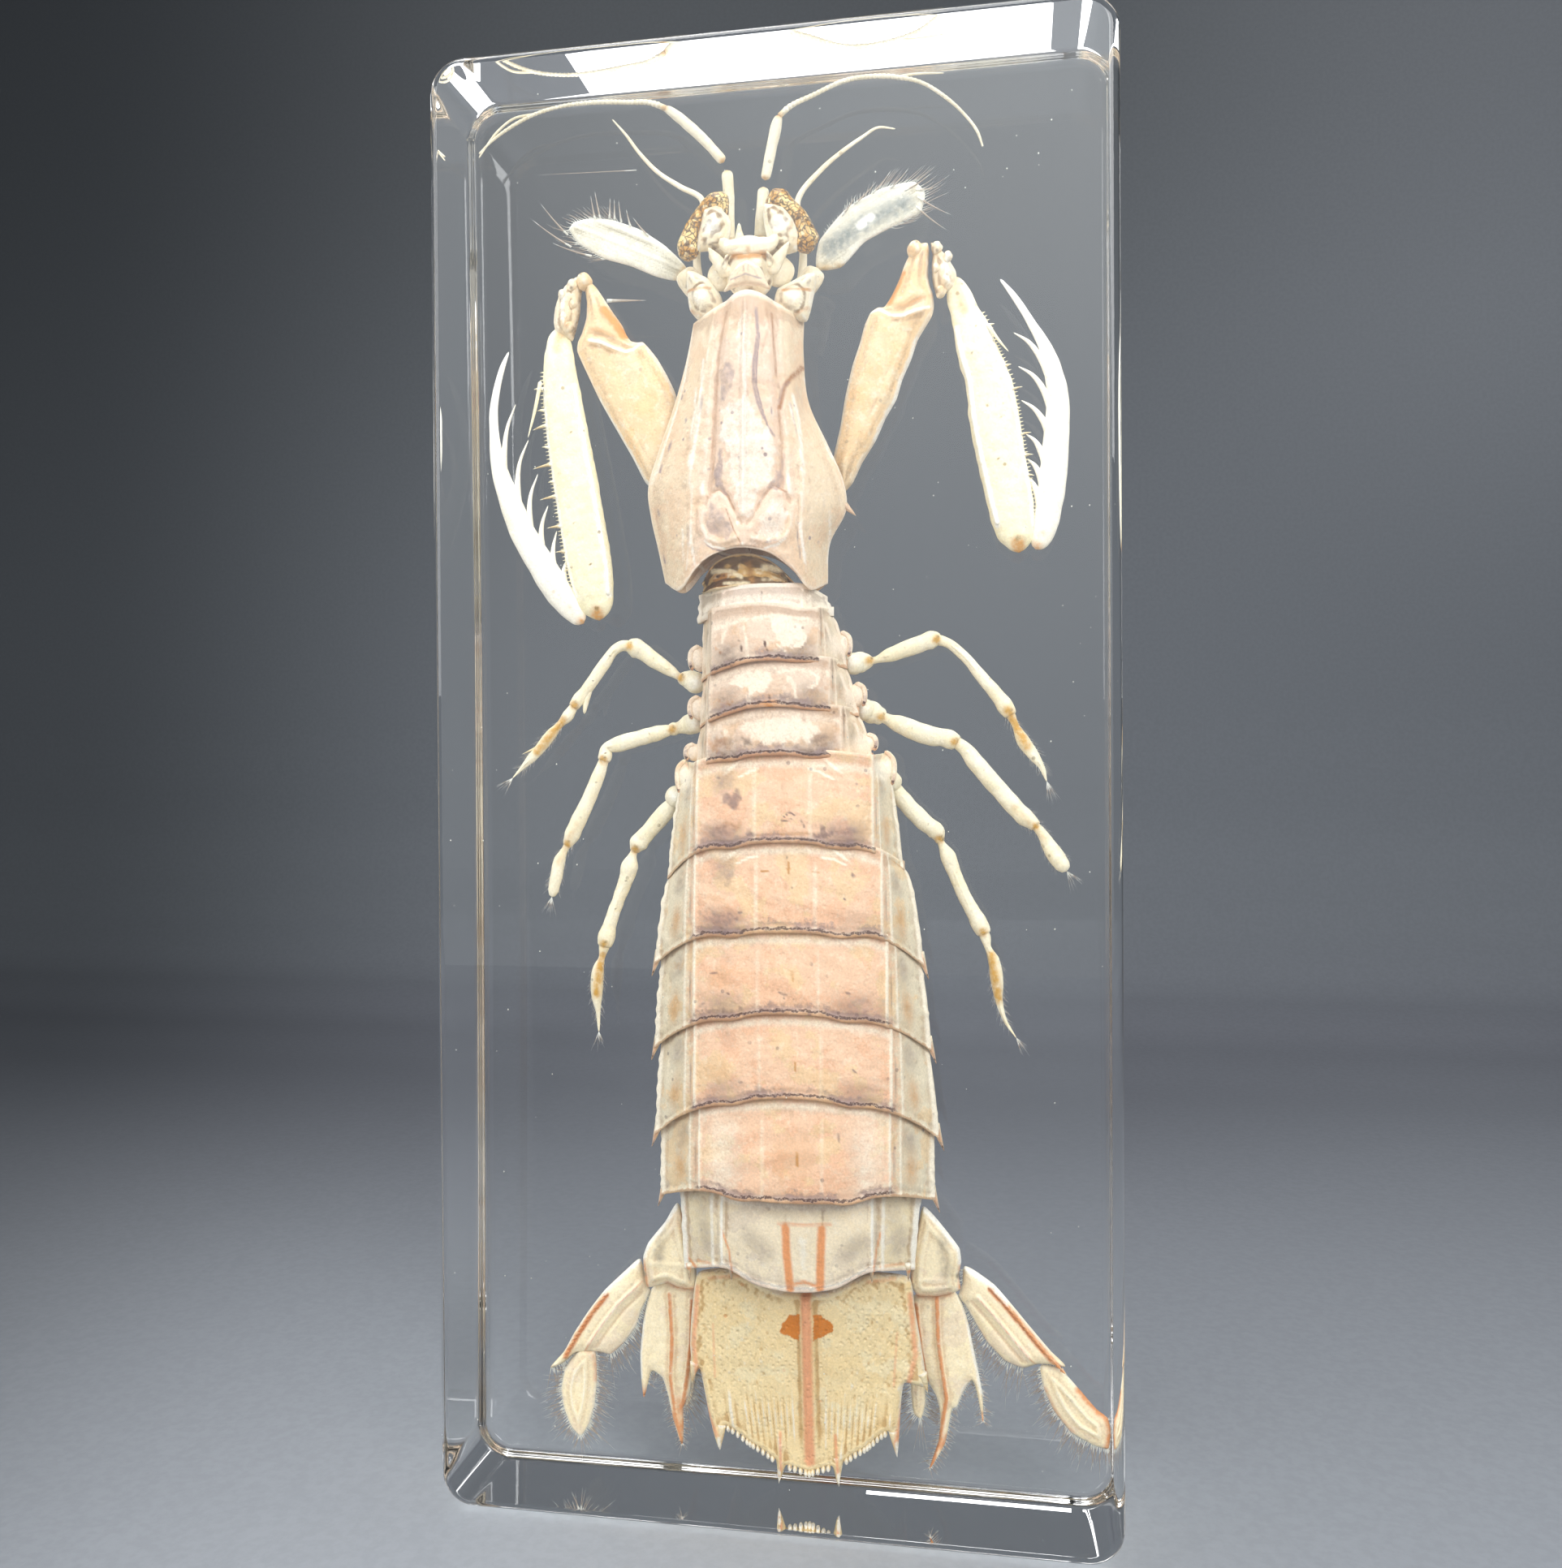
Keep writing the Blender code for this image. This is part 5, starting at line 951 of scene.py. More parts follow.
# What is painted, route of x z x z ..., reach, strength. A route that ends where it begins is filled.
RING_MARKS = {
    "thoracic_somite_5": (
        (DUSK, "-1 101.2 -0.9 99.9", 0.16, 0.8), (OCHRE, "-8.5 98.4 -3 99.1 3.5 98.7 6 98.8", 0.4, 0.5),
        (PALE, "-7.5 100 -4 100.5 0 100.6 4 100.4", 0.8, 0.6),),
    "thoracic_somite_6": (
        (PALE, "0.1 98.5 2.2 98.3 3.5 97.6 4.2 96.6 4.1 95.4 3.4 94.8 2.5 94.4 1.6 94.8 0.9 95.5 "
               "0.2 96.7 -0.1 97.6 0.1 98.5", 0.3, 0.85),
        (PALE, "-4.6 97.7 -5.2 96.4 -5.3 95.6", 0.35, 0.8),
        (PALE, "-2.9 97.4 -2.5 95.6 -2.4 94", 0.35, 0.8), (PALE, "0.9 95.2 1.8 94.4 1.9 93.8", 0.3, 0.7),
        (OCHRE, "-6.6 95.5 -5.4 95.2 -5.1 94.3 -6.3 94.1 -6.6 95.5", 0.5, 0.6),
        (DUSK, "-3.3 95.7 -3 94.5", 0.18, 0.9), (DUSK, "-0.6 95.8 -0.2 94.5", 0.2, 1),
        (OCHRE, "4.9 97.5 6 97.2 6.4 95.9 5.4 95.6 4.6 96.6 4.9 97.5", 0.5, 0.4),
        (PALE, "-6.4 97.1 -3 98 0.5 98.4 4.4 97.9", 0.5, 0.8), (PALE, "5.9 97.6 6.9 94.2", 0.3, 0.9),
        (PALE, "-7.3 96.6 -7.6 92.4", 0.3, 0.7),),
    "thoracic_somite_7": (
        (PALE, "-4.7 91.2 -4.2 91.9 -2.8 92.5 -1 92.7 0.1 92.4 0.5 91.3 0.1 90.4 -0.9 89.8 -2.1 89.9 "
               "-2.7 90.5 -3.7 90.4 -4.7 91.2", 0.3, 0.85),
        (PALE, "0.9 92.2 2.7 92.5 4.4 92.3 5.3 91.6 5.1 90.9 4.4 90.5", 0.35, 0.9),
        (PALE, "1.7 91.8 2.8 91.8 3 90.5 1.8 90.8 1.7 91.8", 0.3, 0.6), (PALE, "2.7 90.5 3 88.9", 0.3, 0.8),
        (PALE, "-2.3 89.8 -2.3 88.8", 0.3, 0.8),
        (OCHRE, "-5.7 89.5 -3.7 89.6 -3.9 88.8 -6.1 88.4 -5.7 89.5", 0.5, 0.6),
        (OCHRE, "-0.3 88.7 0.2 88.3", 0.6, 1), (DUSK, "-0.1 89.8 0 89.3", 0.2, 0.9),
        (OCHRE, "5.6 91.5 7.7 91.2 7.9 89.9 5.9 90.2 5.6 91.5", 0.5, 0.4),
        (PALE, "7.4 92.2 8.7 88.5", 0.3, 0.9), (OCHRE, "-1.2 88.9 0.8 89", 0.5, 0.9),
        (PALE, "-8 91 -8.6 87.4", 0.3, 0.7),),
    "thoracic_somite_8": (
        (PALE, "-3.7 86.7 -1.8 87.3 0 87.5 3.2 87.4 4.8 86.8 5.7 85.5 4.2 84.4 2.1 84.3 0 84 "
               "-1.8 84.3 -2.6 85.4 -3.7 85.6 -3.7 86.7", 0.4, 0.7),
        (DUSK, "-3.4 85.4 -2.4 85.6 -1.6 84.3 -2.9 84.1 -3.4 85.4", 0.4, 0.5),
        (DUSK, "4.2 84.5 5.8 84.2", 0.4, 0.5),
        (OCHRE, "-7.4 85.4 -5.3 85.7 -4.2 84.1 -6.4 83 -7.5 84.1 -7.4 85.4", 0.5, 0.45),
        (PALE, "-5.8 86.2 -4.5 86.2 -4.2 84.9 -5.3 84.9 -5.8 86.2", 0.3, 0.6),
        (PALE, "9 86.6 10 83.6", 0.3, 0.9), (PALE, "2.6 87.3 3.1 84.6", 0.4, 0.7),
        (OCHRE, "7.4 86.2 7.9 85.4", 0.8, 0.35),),
    "abdominal_somite_1": (
        (PALE, "-3.5 80.8 -2.6 81.3 -1.5 81.7", 0.26, 1), (PALE, "4.2 81.7 5.3 81.4 6.9 80.5", 0.26, 1),
        (DUSK, "-5.7 79.1 -3.2 79.9 -3 77.8 -3.7 77 -5.5 77.3 -5.7 79.1", 0.5, 0.6),
        (DUSK, "-2.4 75.2 -1.4 75.4 -1.2 74.3 -3.5 73.7 -2.4 75.2", 0.4, 0.7),
        (DUSK, "3.9 74.7 6.3 75.7 7.3 74.2 5.2 73.8 3.9 74.7", 0.5, 0.7),
        (OCHRE, "-6.4 76 -2.9 76.3 -3 74.9 -6.4 74.6 -6.4 76", 0.5, 0.45),
        (OCHRE, "-1.4 74.4 4.2 74.7", 0.5, 0.5), (DUSK, "1.6 76.5 2.1 77 2.8 76.6", 0.2, 0.9),
        (DUSK, "1.3 76 2.4 76.2", 0.2, 0.8), (DUSK, "3.5 76.1 3.7 75.4", 0.2, 0.9),
        (DUSK, "-4.2 77.5", 0.25, 0.9), (DUSK, "-5.8 80.7", 0.25, 0.9),),
    "abdominal_somite_2": (
        (OCHRE, "1.95 71.5 2 70.3", 0.22, 1), (OCHRE, "1.7 70.9 2.25 70.9", 0.16, 1),
        (OCHRE, "-1.1 70.5 -0.3 70.6", 0.2, 0.9), (OCHRE, "4.6 70.5 5.4 70.5", 0.2, 0.9),
        (DUSK, "8.9 70.2 9 70", 0.35, 0.9), (DUSK, "8.1 67.6 8.1 67.5", 0.25, 0.9),
        (DUSK, "-5.6 70.8 -4 71 -4 68.8 -5.4 68.6 -5.6 70.8", 0.5, 0.5),
        (OCHRE, "-7.4 68.4 -4.6 67.9 -4.4 66.2 -7.2 66.6 -7.4 68.4", 0.6, 0.35),
        (DUSK, "-8.4 66 -3.6 66.2 -2.2 65.2 -8.2 65 -8.4 66", 0.5, 0.6),
        (PALE, "-3.9 71.3 -2.4 72 -1.4 72.2", 0.26, 1), (PALE, "5.6 72 7 71.8 8.2 71.2", 0.26, 1),),
    "abdominal_somite_3": (
        (DUSK, "-8.8 56.1 -2.1 55.4 -1.2 55 -2.4 54.2 -4.1 54.4 -7.6 54.2 -8.8 56.1", 0.5, 0.55),
        (DUSK, "-1.2 55.5 5.8 55.6 9.7 54.7 7.2 54.6 -0.1 55.2 -1.2 55.5", 0.4, 0.45),
        (DUSK, "11 56.9 12.7 57.1 12.7 54.3 10.5 54.9 11 56.9", 0.5, 0.35),
        (DUSK, "0.8 57.3 1.6 57.2 1.5 56.7", 0.2, 0.9), (DUSK, "-6.9 59.1 -6.2 59.3", 0.22, 0.7),
        (DUSK, "-4.9 57", 0.25, 0.8), (OCHRE, "-7.9 60 -4.3 60.4 -4 57.3 -7.6 56.9 -7.9 60", 0.6, 0.3),
        (OCHRE, "2.3 59.8 2.35 58.7", 0.22, 1), (OCHRE, "2.05 59.2 2.6 59.2", 0.16, 1),
        (DUSK, "8.3 57.4 8.5 57.3", 0.25, 0.9),),
    "abdominal_somite_4": (
        (DUSK, "-2.8 45.6 -1.8 47.3 -0.1 46.8 -0.2 45.6 -2.8 45.1 -2.8 45.6", 0.4, 0.5),
        (DUSK, "-0.1 46.4 6 46.2 11.5 45.9 11.5 45.3 -0.2 45.6 -0.1 46.4", 0.4, 0.5),
        (DUSK, "-7.7 44.9 -5.8 46.1 -4.4 45 -7.7 44.5 -7.7 44.9", 0.4, 0.5),
        (OCHRE, "-8.1 49.6 -4.4 49.5 -4.4 46.7 -8.1 47.1 -8.1 49.6", 0.6, 0.3),
        (OCHRE, "2.6 49.8 2.65 48.8", 0.2, 0.8), (DUSK, "8.9 49 9.1 48.8", 0.25, 0.8),
        (DUSK, "-3.6 47.4 -3.3 47.3", 0.25, 0.7),),
    "abdominal_somite_5": (
        (OCHRE, "0.2 42.9 5 43 6.4 39.9 5.4 36 -0.4 36 -1.4 39.6 0.2 42.9", 1.6, 0.34),
        (DUSK, "-5 40.8 -4.4 37.4", 3.4, 0.3), (DUSK, "9.4 40.8 9.8 37.4", 3.2, 0.3),
        (PALE, "-5.6 42 -5.8 36.4", 4.2, 0.5), (PALE, "10.4 42 10.6 36.6", 4.2, 0.5),
        (OCHRE, "8.8 40.5 9.8 39.2 8.2 38 8.5 40 8.8 40.5", 0.4, 0.35),
        (OCHRE, "2.7 39.9 2.8 38.5", 0.22, 1), (DUSK, "7.2 42 7.3 41.3", 0.3, 0.6),
        (DUSK, "-2.5 35 4.3 35.1", 0.4, 0.5),),
    "abdominal_somite_6": (
        (OCHRE, "1.2 31.2 1.3 28.6 1.7 24.6", 0.8, 1.2), (OCHRE, "5.2 31.2 5.1 28.6 5 24.8", 0.8, 1.2),
        (OCHRE, "0.4 31.6 6.2 31.8", 0.4, 0.6), (OCHRE, "1.7 24.9 3.2 25.4 5 24.9", 0.4, 0.8),
        (OCHRE, "-6.2 30.6 -5.3 28.4 -4.9 25.6", 0.26, 0.75),
        (OCHRE, "11.6 30.9 11.1 29 10.8 26.4", 0.26, 0.75),
        (OCHRE, "-10.9 32 -11 29.4 -10.5 26.4 -9.4 25.5", 0.4, 0.8),
        (OCHRE, "15.9 32.4 15.6 29.6 15.6 27.6 14.6 26.8", 0.4, 0.8),
        (OCHRE, "-9.2 26.3 -7.4 26.4", 0.4, 0.5), (OCHRE, "11.6 27.2 14 27.2", 0.4, 0.5),
        (DUSK, "-2.8 30.2 -1 28.2", 2.6, 0.5), (DUSK, "9.4 30 8 28.6", 2.6, 0.5),
        (DUSK, "-8.2 30.6 -7.8 28.2", 1.9, 0.5), (DUSK, "13.6 30.8 13.4 28.8", 1.9, 0.5),
        (PALE, "2.4 30.6 3.9 30.6 3.7 26.4 2.8 26.4 2.4 30.6", 0.3, 0.5),),
}


def paint_ring(name, across, from_rear, from_front):
    """The marks that every ring carries, each as strong as this ring shows it."""
    dusk_left, dusk_right, ochre, lines, patch, _, ridges = RING_LOOKS[name]
    out = np.abs(across)
    side = np.where(across < 0, dusk_left, dusk_right)
    marked = ochre > 0.15
    hollow = bump(out - 0.42, 0.34) * 0.9 + bump(out - 0.1, 0.5) * 0.35
    band = bump(from_rear - 0.5, 0.6 + 0.7 * hollow) * hollow * side * 0.78
    cloud = bump(from_rear - 1.8, 2.6) * bump(out - 0.42, 0.28) * side * 0.62
    shoulder = bump(across + 0.4, 0.16) * bump(from_front - 2.5, 3.2) * patch * 0.7
    beside_keel = bump(out - 0.645, 0.018) * bump(from_rear - 4.0, 4.5) * 0.55 * marked
    glassy = bump(out - 0.78, 0.16) * bump(from_front - 2.4, 3.2) * 0.42
    dusk = np.maximum.reduce((band, cloud, shoulder, beside_keel, glassy))
    streak = bump(out - 0.8, 0.12) * bump(from_rear - 3.0, 4.0) * 0.55 * (name in BELLY_RINGS)
    low_back = bump(out, 0.26) * bump(from_rear - 1.1, 0.9) * ochre * 0.45
    middle_lines = bump(out - 0.19, 0.028) * ease((from_front - 0.8) / 2) * lines
    keel = np.maximum(bump(out - 0.61, 0.022) * 0.9, bump(out - 0.7, 0.025) * 0.8)
    edge = ease((out - 0.93) / 0.05) * 0.9
    oblique = bump(out - 0.27 - 0.075 * from_front, 0.035) * bump(from_front - 1.0, 1.3) * ridges
    glow = bump(from_front - 0.9, 0.9) * 0.55 * np.where(out < 0.6, 1.0, 0.4) * marked
    pale = np.maximum.reduce((middle_lines, keel, edge, oblique, glow))
    return np.stack((np.maximum(streak, low_back), dusk, pale * (1.0 - dusk * 0.6)), axis=-1)


def ring_relief(name, across, from_rear, from_front, half):
    """How far a ring's front stands out: rim, keels, shoulders, folds of the side plates."""
    ridges = RING_LOOKS[name][-1]
    out = np.abs(across)

    def keel(height, at, reach):
        return height * bump((out - at) * half, reach)

    relief = 0.1 * bump(from_rear - 0.2, 0.4) - 0.08 * bump(from_rear - 0.75, 0.45)
    relief = relief + keel(0.22, 0.61, 0.5) + keel(0.05, 0.19, 0.3)
    relief = relief + keel(0.1, 0.7, 0.4) + keel(0.12, 0.9, 0.45)
    relief = relief + keel(0.16 * ridges, 0.27 + 0.075 * from_front, 0.5) * bump(from_front - 1.0, 1.5)
    if name == LAST_RING:
        x = 2.3 + across * half
        for middle, reach in ((-8.0, 2.9), (-2.0, 3.1), (3.2, 1.9), (8.2, 3.1), (13.4, 2.6)):
            relief = relief + 0.55 * np.sqrt(bump(x - middle, reach)) * bump(from_front - 3.4, 4.2)
    relief = relief + 0.12 * ease((out - 0.94) / 0.05) - 0.1 * bump(across, 0.03) * ridges
    from_knob = np.hypot((out - 0.79) * half, from_front - 1.9)
    knob = bump(from_knob - 1.1, 0.6) + bump(from_knob, 0.5)
    return relief + 0.12 * knob * (1.0 if name.startswith("abd") else 0.4)


def make_ring(name, front, material, slot):
    """One ring of the body, its front tucked under the margin before it."""
    front_edges, _, ridges, _ = SOMITES[name]
    rear_x, rear_z = rear_margin(name)
    count = int((rear_x[-1] - rear_x[0]) / STEP)
    half = (rear_x[-1] - rear_x[0]) / 2
    across = np.linspace(-1.0, 1.0, count)
    out = np.abs(across)
    rear_line = through(KEYS, rear_x, across)
    rear_up = through(KEYS, rear_z, across) - RING_LOOKS[name][5] * bump(out - 0.35, 0.16)
    front_line = through(KEYS, ring_columns(front_edges, ridges), across)
    front_up = through(front[0], front[1], np.clip(front_line, front[0][0], front[0][-1]))
    top, under = through(KEYS, nine_tops(name), across), through(KEYS, nine_unders(), across)
    length = front_up - rear_up
    seed = sum(map(ord, name))
    tops, unders, plans, stains = [], [], [], []
    for share in np.linspace(-TUCK / length.mean(), 1.0, int((length.mean() + TUCK) / STEP)):
        on = max(share, 0.0)
        x = mix(front_line, rear_line, math.sqrt(on))
        z = mix(front_up, rear_up, share)
        from_rear, from_front = (1.0 - share) * length, share * length
        row = np.stack((x, top + PLATE_RISE * (1.0 - ease(share)) - 0.3 * math.sin(math.pi * on), z), axis=1)
        row[:, 1] -= ring_relief(name, across, from_rear, from_front, half)
        row[:, 1] += waves(row, 3.2, seed) * 0.07 + waves(row, 1.1, seed + 1) * 0.03
        row[:, 0] += waves(row * (1.0, 1.0, 1.7), 2.4, seed + 2) * 0.1 * out ** 6
        belly = np.maximum(under + 0.18 * np.cos(share * 3 * math.pi) * (1 - out ** 3), row[:, 1] + 0.12)
        tops.append(row)
        unders.append(np.stack((x, belly, z), axis=1))
        plans.append(np.stack((across, from_rear, np.full(count, share)), axis=1))
        stains.append(paint_ring(name, across, from_rear, from_front))
    folds = ((0.06, 0.1), (0.05, 0.3), (-0.15, RIM), (-1.0, RIM + 0.1))
    turn_under(tops, unders, folds)
    shadow = stains[-1].copy()
    shadow[:, DUSK] = 0.5
    plans += plans[-1:] * len(folds)
    stains += [shadow] * len(folds)
    shape = Shape()
    add_loft(shape, tops, unders, plans, np.concatenate(stains))
    strokes = list(RING_MARKS[name])
    if name in SIDE_LOBES:
        for (_, away), x, z in zip(SIDES, *SIDE_LOBES[name][:2]):
            add_side_lobe(shape, away, x, z, SIDE_LOBES[name][2])
            strokes.append((PALE, [(x, z)], 2.2, 1.2))
    if name in SPINED_RINGS:
        for x, z, inward in ((rear_x[0], rear_z[0], 0.5), (rear_x[-1], rear_z[-1], -0.5)):
            foot, tip = (x + inward, SIDE_TOP + 0.3, z + 1.4), (x - inward, SIDE_TOP + 0.5, z - 1.5)
            add_spike(shape, foot, tip, 1.1, sides=9, power=0.9)
    if name == LAST_RING:
        for x, z in rows("1.1 25  4.9 25.2  -5.1 25.4  10.6 26.2  -9.9 25.2  14.6 26.6"):
            add_spike(shape, (x, -0.9, z + 1.2), (x, -0.3, z - 0.9), 0.7, sides=9)
    shape.make(f"{name}_shell", material, name, slot, strokes)


def add_side_lobe(shape, away, x, z, half):
    """The knob that a leg hangs from, with a rim looped round it."""
    add_bulb(shape, (x, 3.05, z), (0.95, 0.9, half), lean=8.0 * away)
    loop = ((x - 0.1 * away, z + half, 0.5), (x + 0.75 * away, z + half * 0.6, 0.6),
            (x + 0.95 * away, z - half * 0.3, 0.55), (x + 0.7 * away, z - half * 0.9, 0.45))
    add_limb(shape, loop, y=2.5, sides=10)


def make_swimming_legs():
    """Pairs of leaf-shaped swimming legs under the abdomen, fringed with hairs."""
    for name in BELLY_RINGS:
        middle_x, middle_z = (line[4] for line in rear_margin(name))
        leaves, fringe = Shape(), Shape()
        for _, away in SIDES:
            for outer in (0, 1):
                x, y, z = middle_x + away * (2.9 + 2.6 * outer), BELLY_LIMBS + 0.35 * outer, middle_z + 4.6
                lean = away * (0.5 + 0.5 * outer)
                outline = ((x - 0.9, z + 2.4), (x + 0.9, z + 2.4), (x + 1.5 + lean, z + 0.3),
                           (x + 1.1 + lean * 1.6, z - 2.3), (x + lean * 1.8, z - 3.6),
                           (x - 1.3 + lean * 1.5, z - 2.2), (x - 1.4 + lean * 0.6, z + 0.4))
                add_blade(leaves, outline, y, 0.5, pillow=1.2, step=0.35)
                for knot in smooth_outline(outline, 0.35):
                    way = unit(knot - (x + lean, z - 0.4))
                    if way[1] < 0.35:
                        tip = knot + way * random.uniform(0.6, 1.1)
                        foot = (knot[0], y, knot[1])
                        add_spike(fringe, foot, (tip[0], BELLY_LIMBS + 0.3, tip[1]), 0.07, sides=3, rings=3)
            x, z = middle_x + away * 4.2, middle_z + 8.4
            add_limb(leaves, ((x, z, 1.6), (x - away * 0.1, z - 2.0, 2.4)), y=7.7, depth=0.6)
        leaves.make(f"{name}_swimming_legs", BELLY_SKIN, slot="abdomen")
        fringe.make(f"{name}_fringe", BRISTLE, slot="abdomen")


def make_body():
    first = next(iter(SOMITES))
    finishes = {first: COLLAR_SHELL, LAST_RING: LAST_RING_SHELL}
    front = (ring_columns(SOMITES[first][0], SOMITES[first][2]), nine_heights(*COLLAR_FRONT))
    for name in SOMITES:
        slot, usual = ("thorax", THORAX_SHELL) if name.startswith("thoracic") else ("abdomen", BACK_SHELL)
        make_ring(name, front, finishes.get(name, usual), slot)
        front = rear_margin(name)
    make_swimming_legs()


# The shield and the soft neck behind it

SHIELD_LINES = (  # routes of x z x z ..., how far each stands up or sinks, and its reach
    ("-2.4 132.6 -2.6 124.2 -2.7 116 -2.7 109.4", 0.3, 0.45),
    ("-6.2 132 -6.4 130.1 -8.2 120.5 -8.9 114.4 -8.7 108.9 -9.5 103.9", 0.25, 0.45),
    ("2 130.6 2.2 126.5 2.9 120.4 3.8 114.3 3.5 107.9 3.9 103.2", 0.25, 0.45),
    ("-4.4 134 -4.8 132.4 -5.8 124.2 -6.3 114.7 -6.6 112.4", -0.4, 0.8),
    ("0.5 133.4 0.8 131 1.3 118.6 1.4 112.7", -0.4, 0.8),
    ("-9.6 131 -10.8 126 -13.2 118.4 -14.2 113.8 -13.9 110.4", 0.15, 0.5),
    ("3.2 131 3.4 125 4.6 120.4 6.6 115.4 7.7 112", 0.15, 0.5),
    ("-7.4 110.4 -7.7 108.8 -6.9 107.1 -5.2 106.4 -3.6 106.9", 0.25, 0.6),
    ("2.5 110.4 2.6 108.6 1.8 106.9 0 106.3 -1.6 106.8", 0.25, 0.6),
    ("-7.3 110.4 -6.6 111.9 -5.4 112.4 -4.4 111.5 -3.7 109.9 -3 108.4", -0.22, 0.45),
    ("2.4 110.4 1.7 112 0.6 112.5 -0.4 111.5 -1.3 109.8 -2.3 108.4", -0.22, 0.45),
    ("-5.2 109.4", 0.45, 1.9),
    ("0.1 109.2", 0.45, 1.9),
)
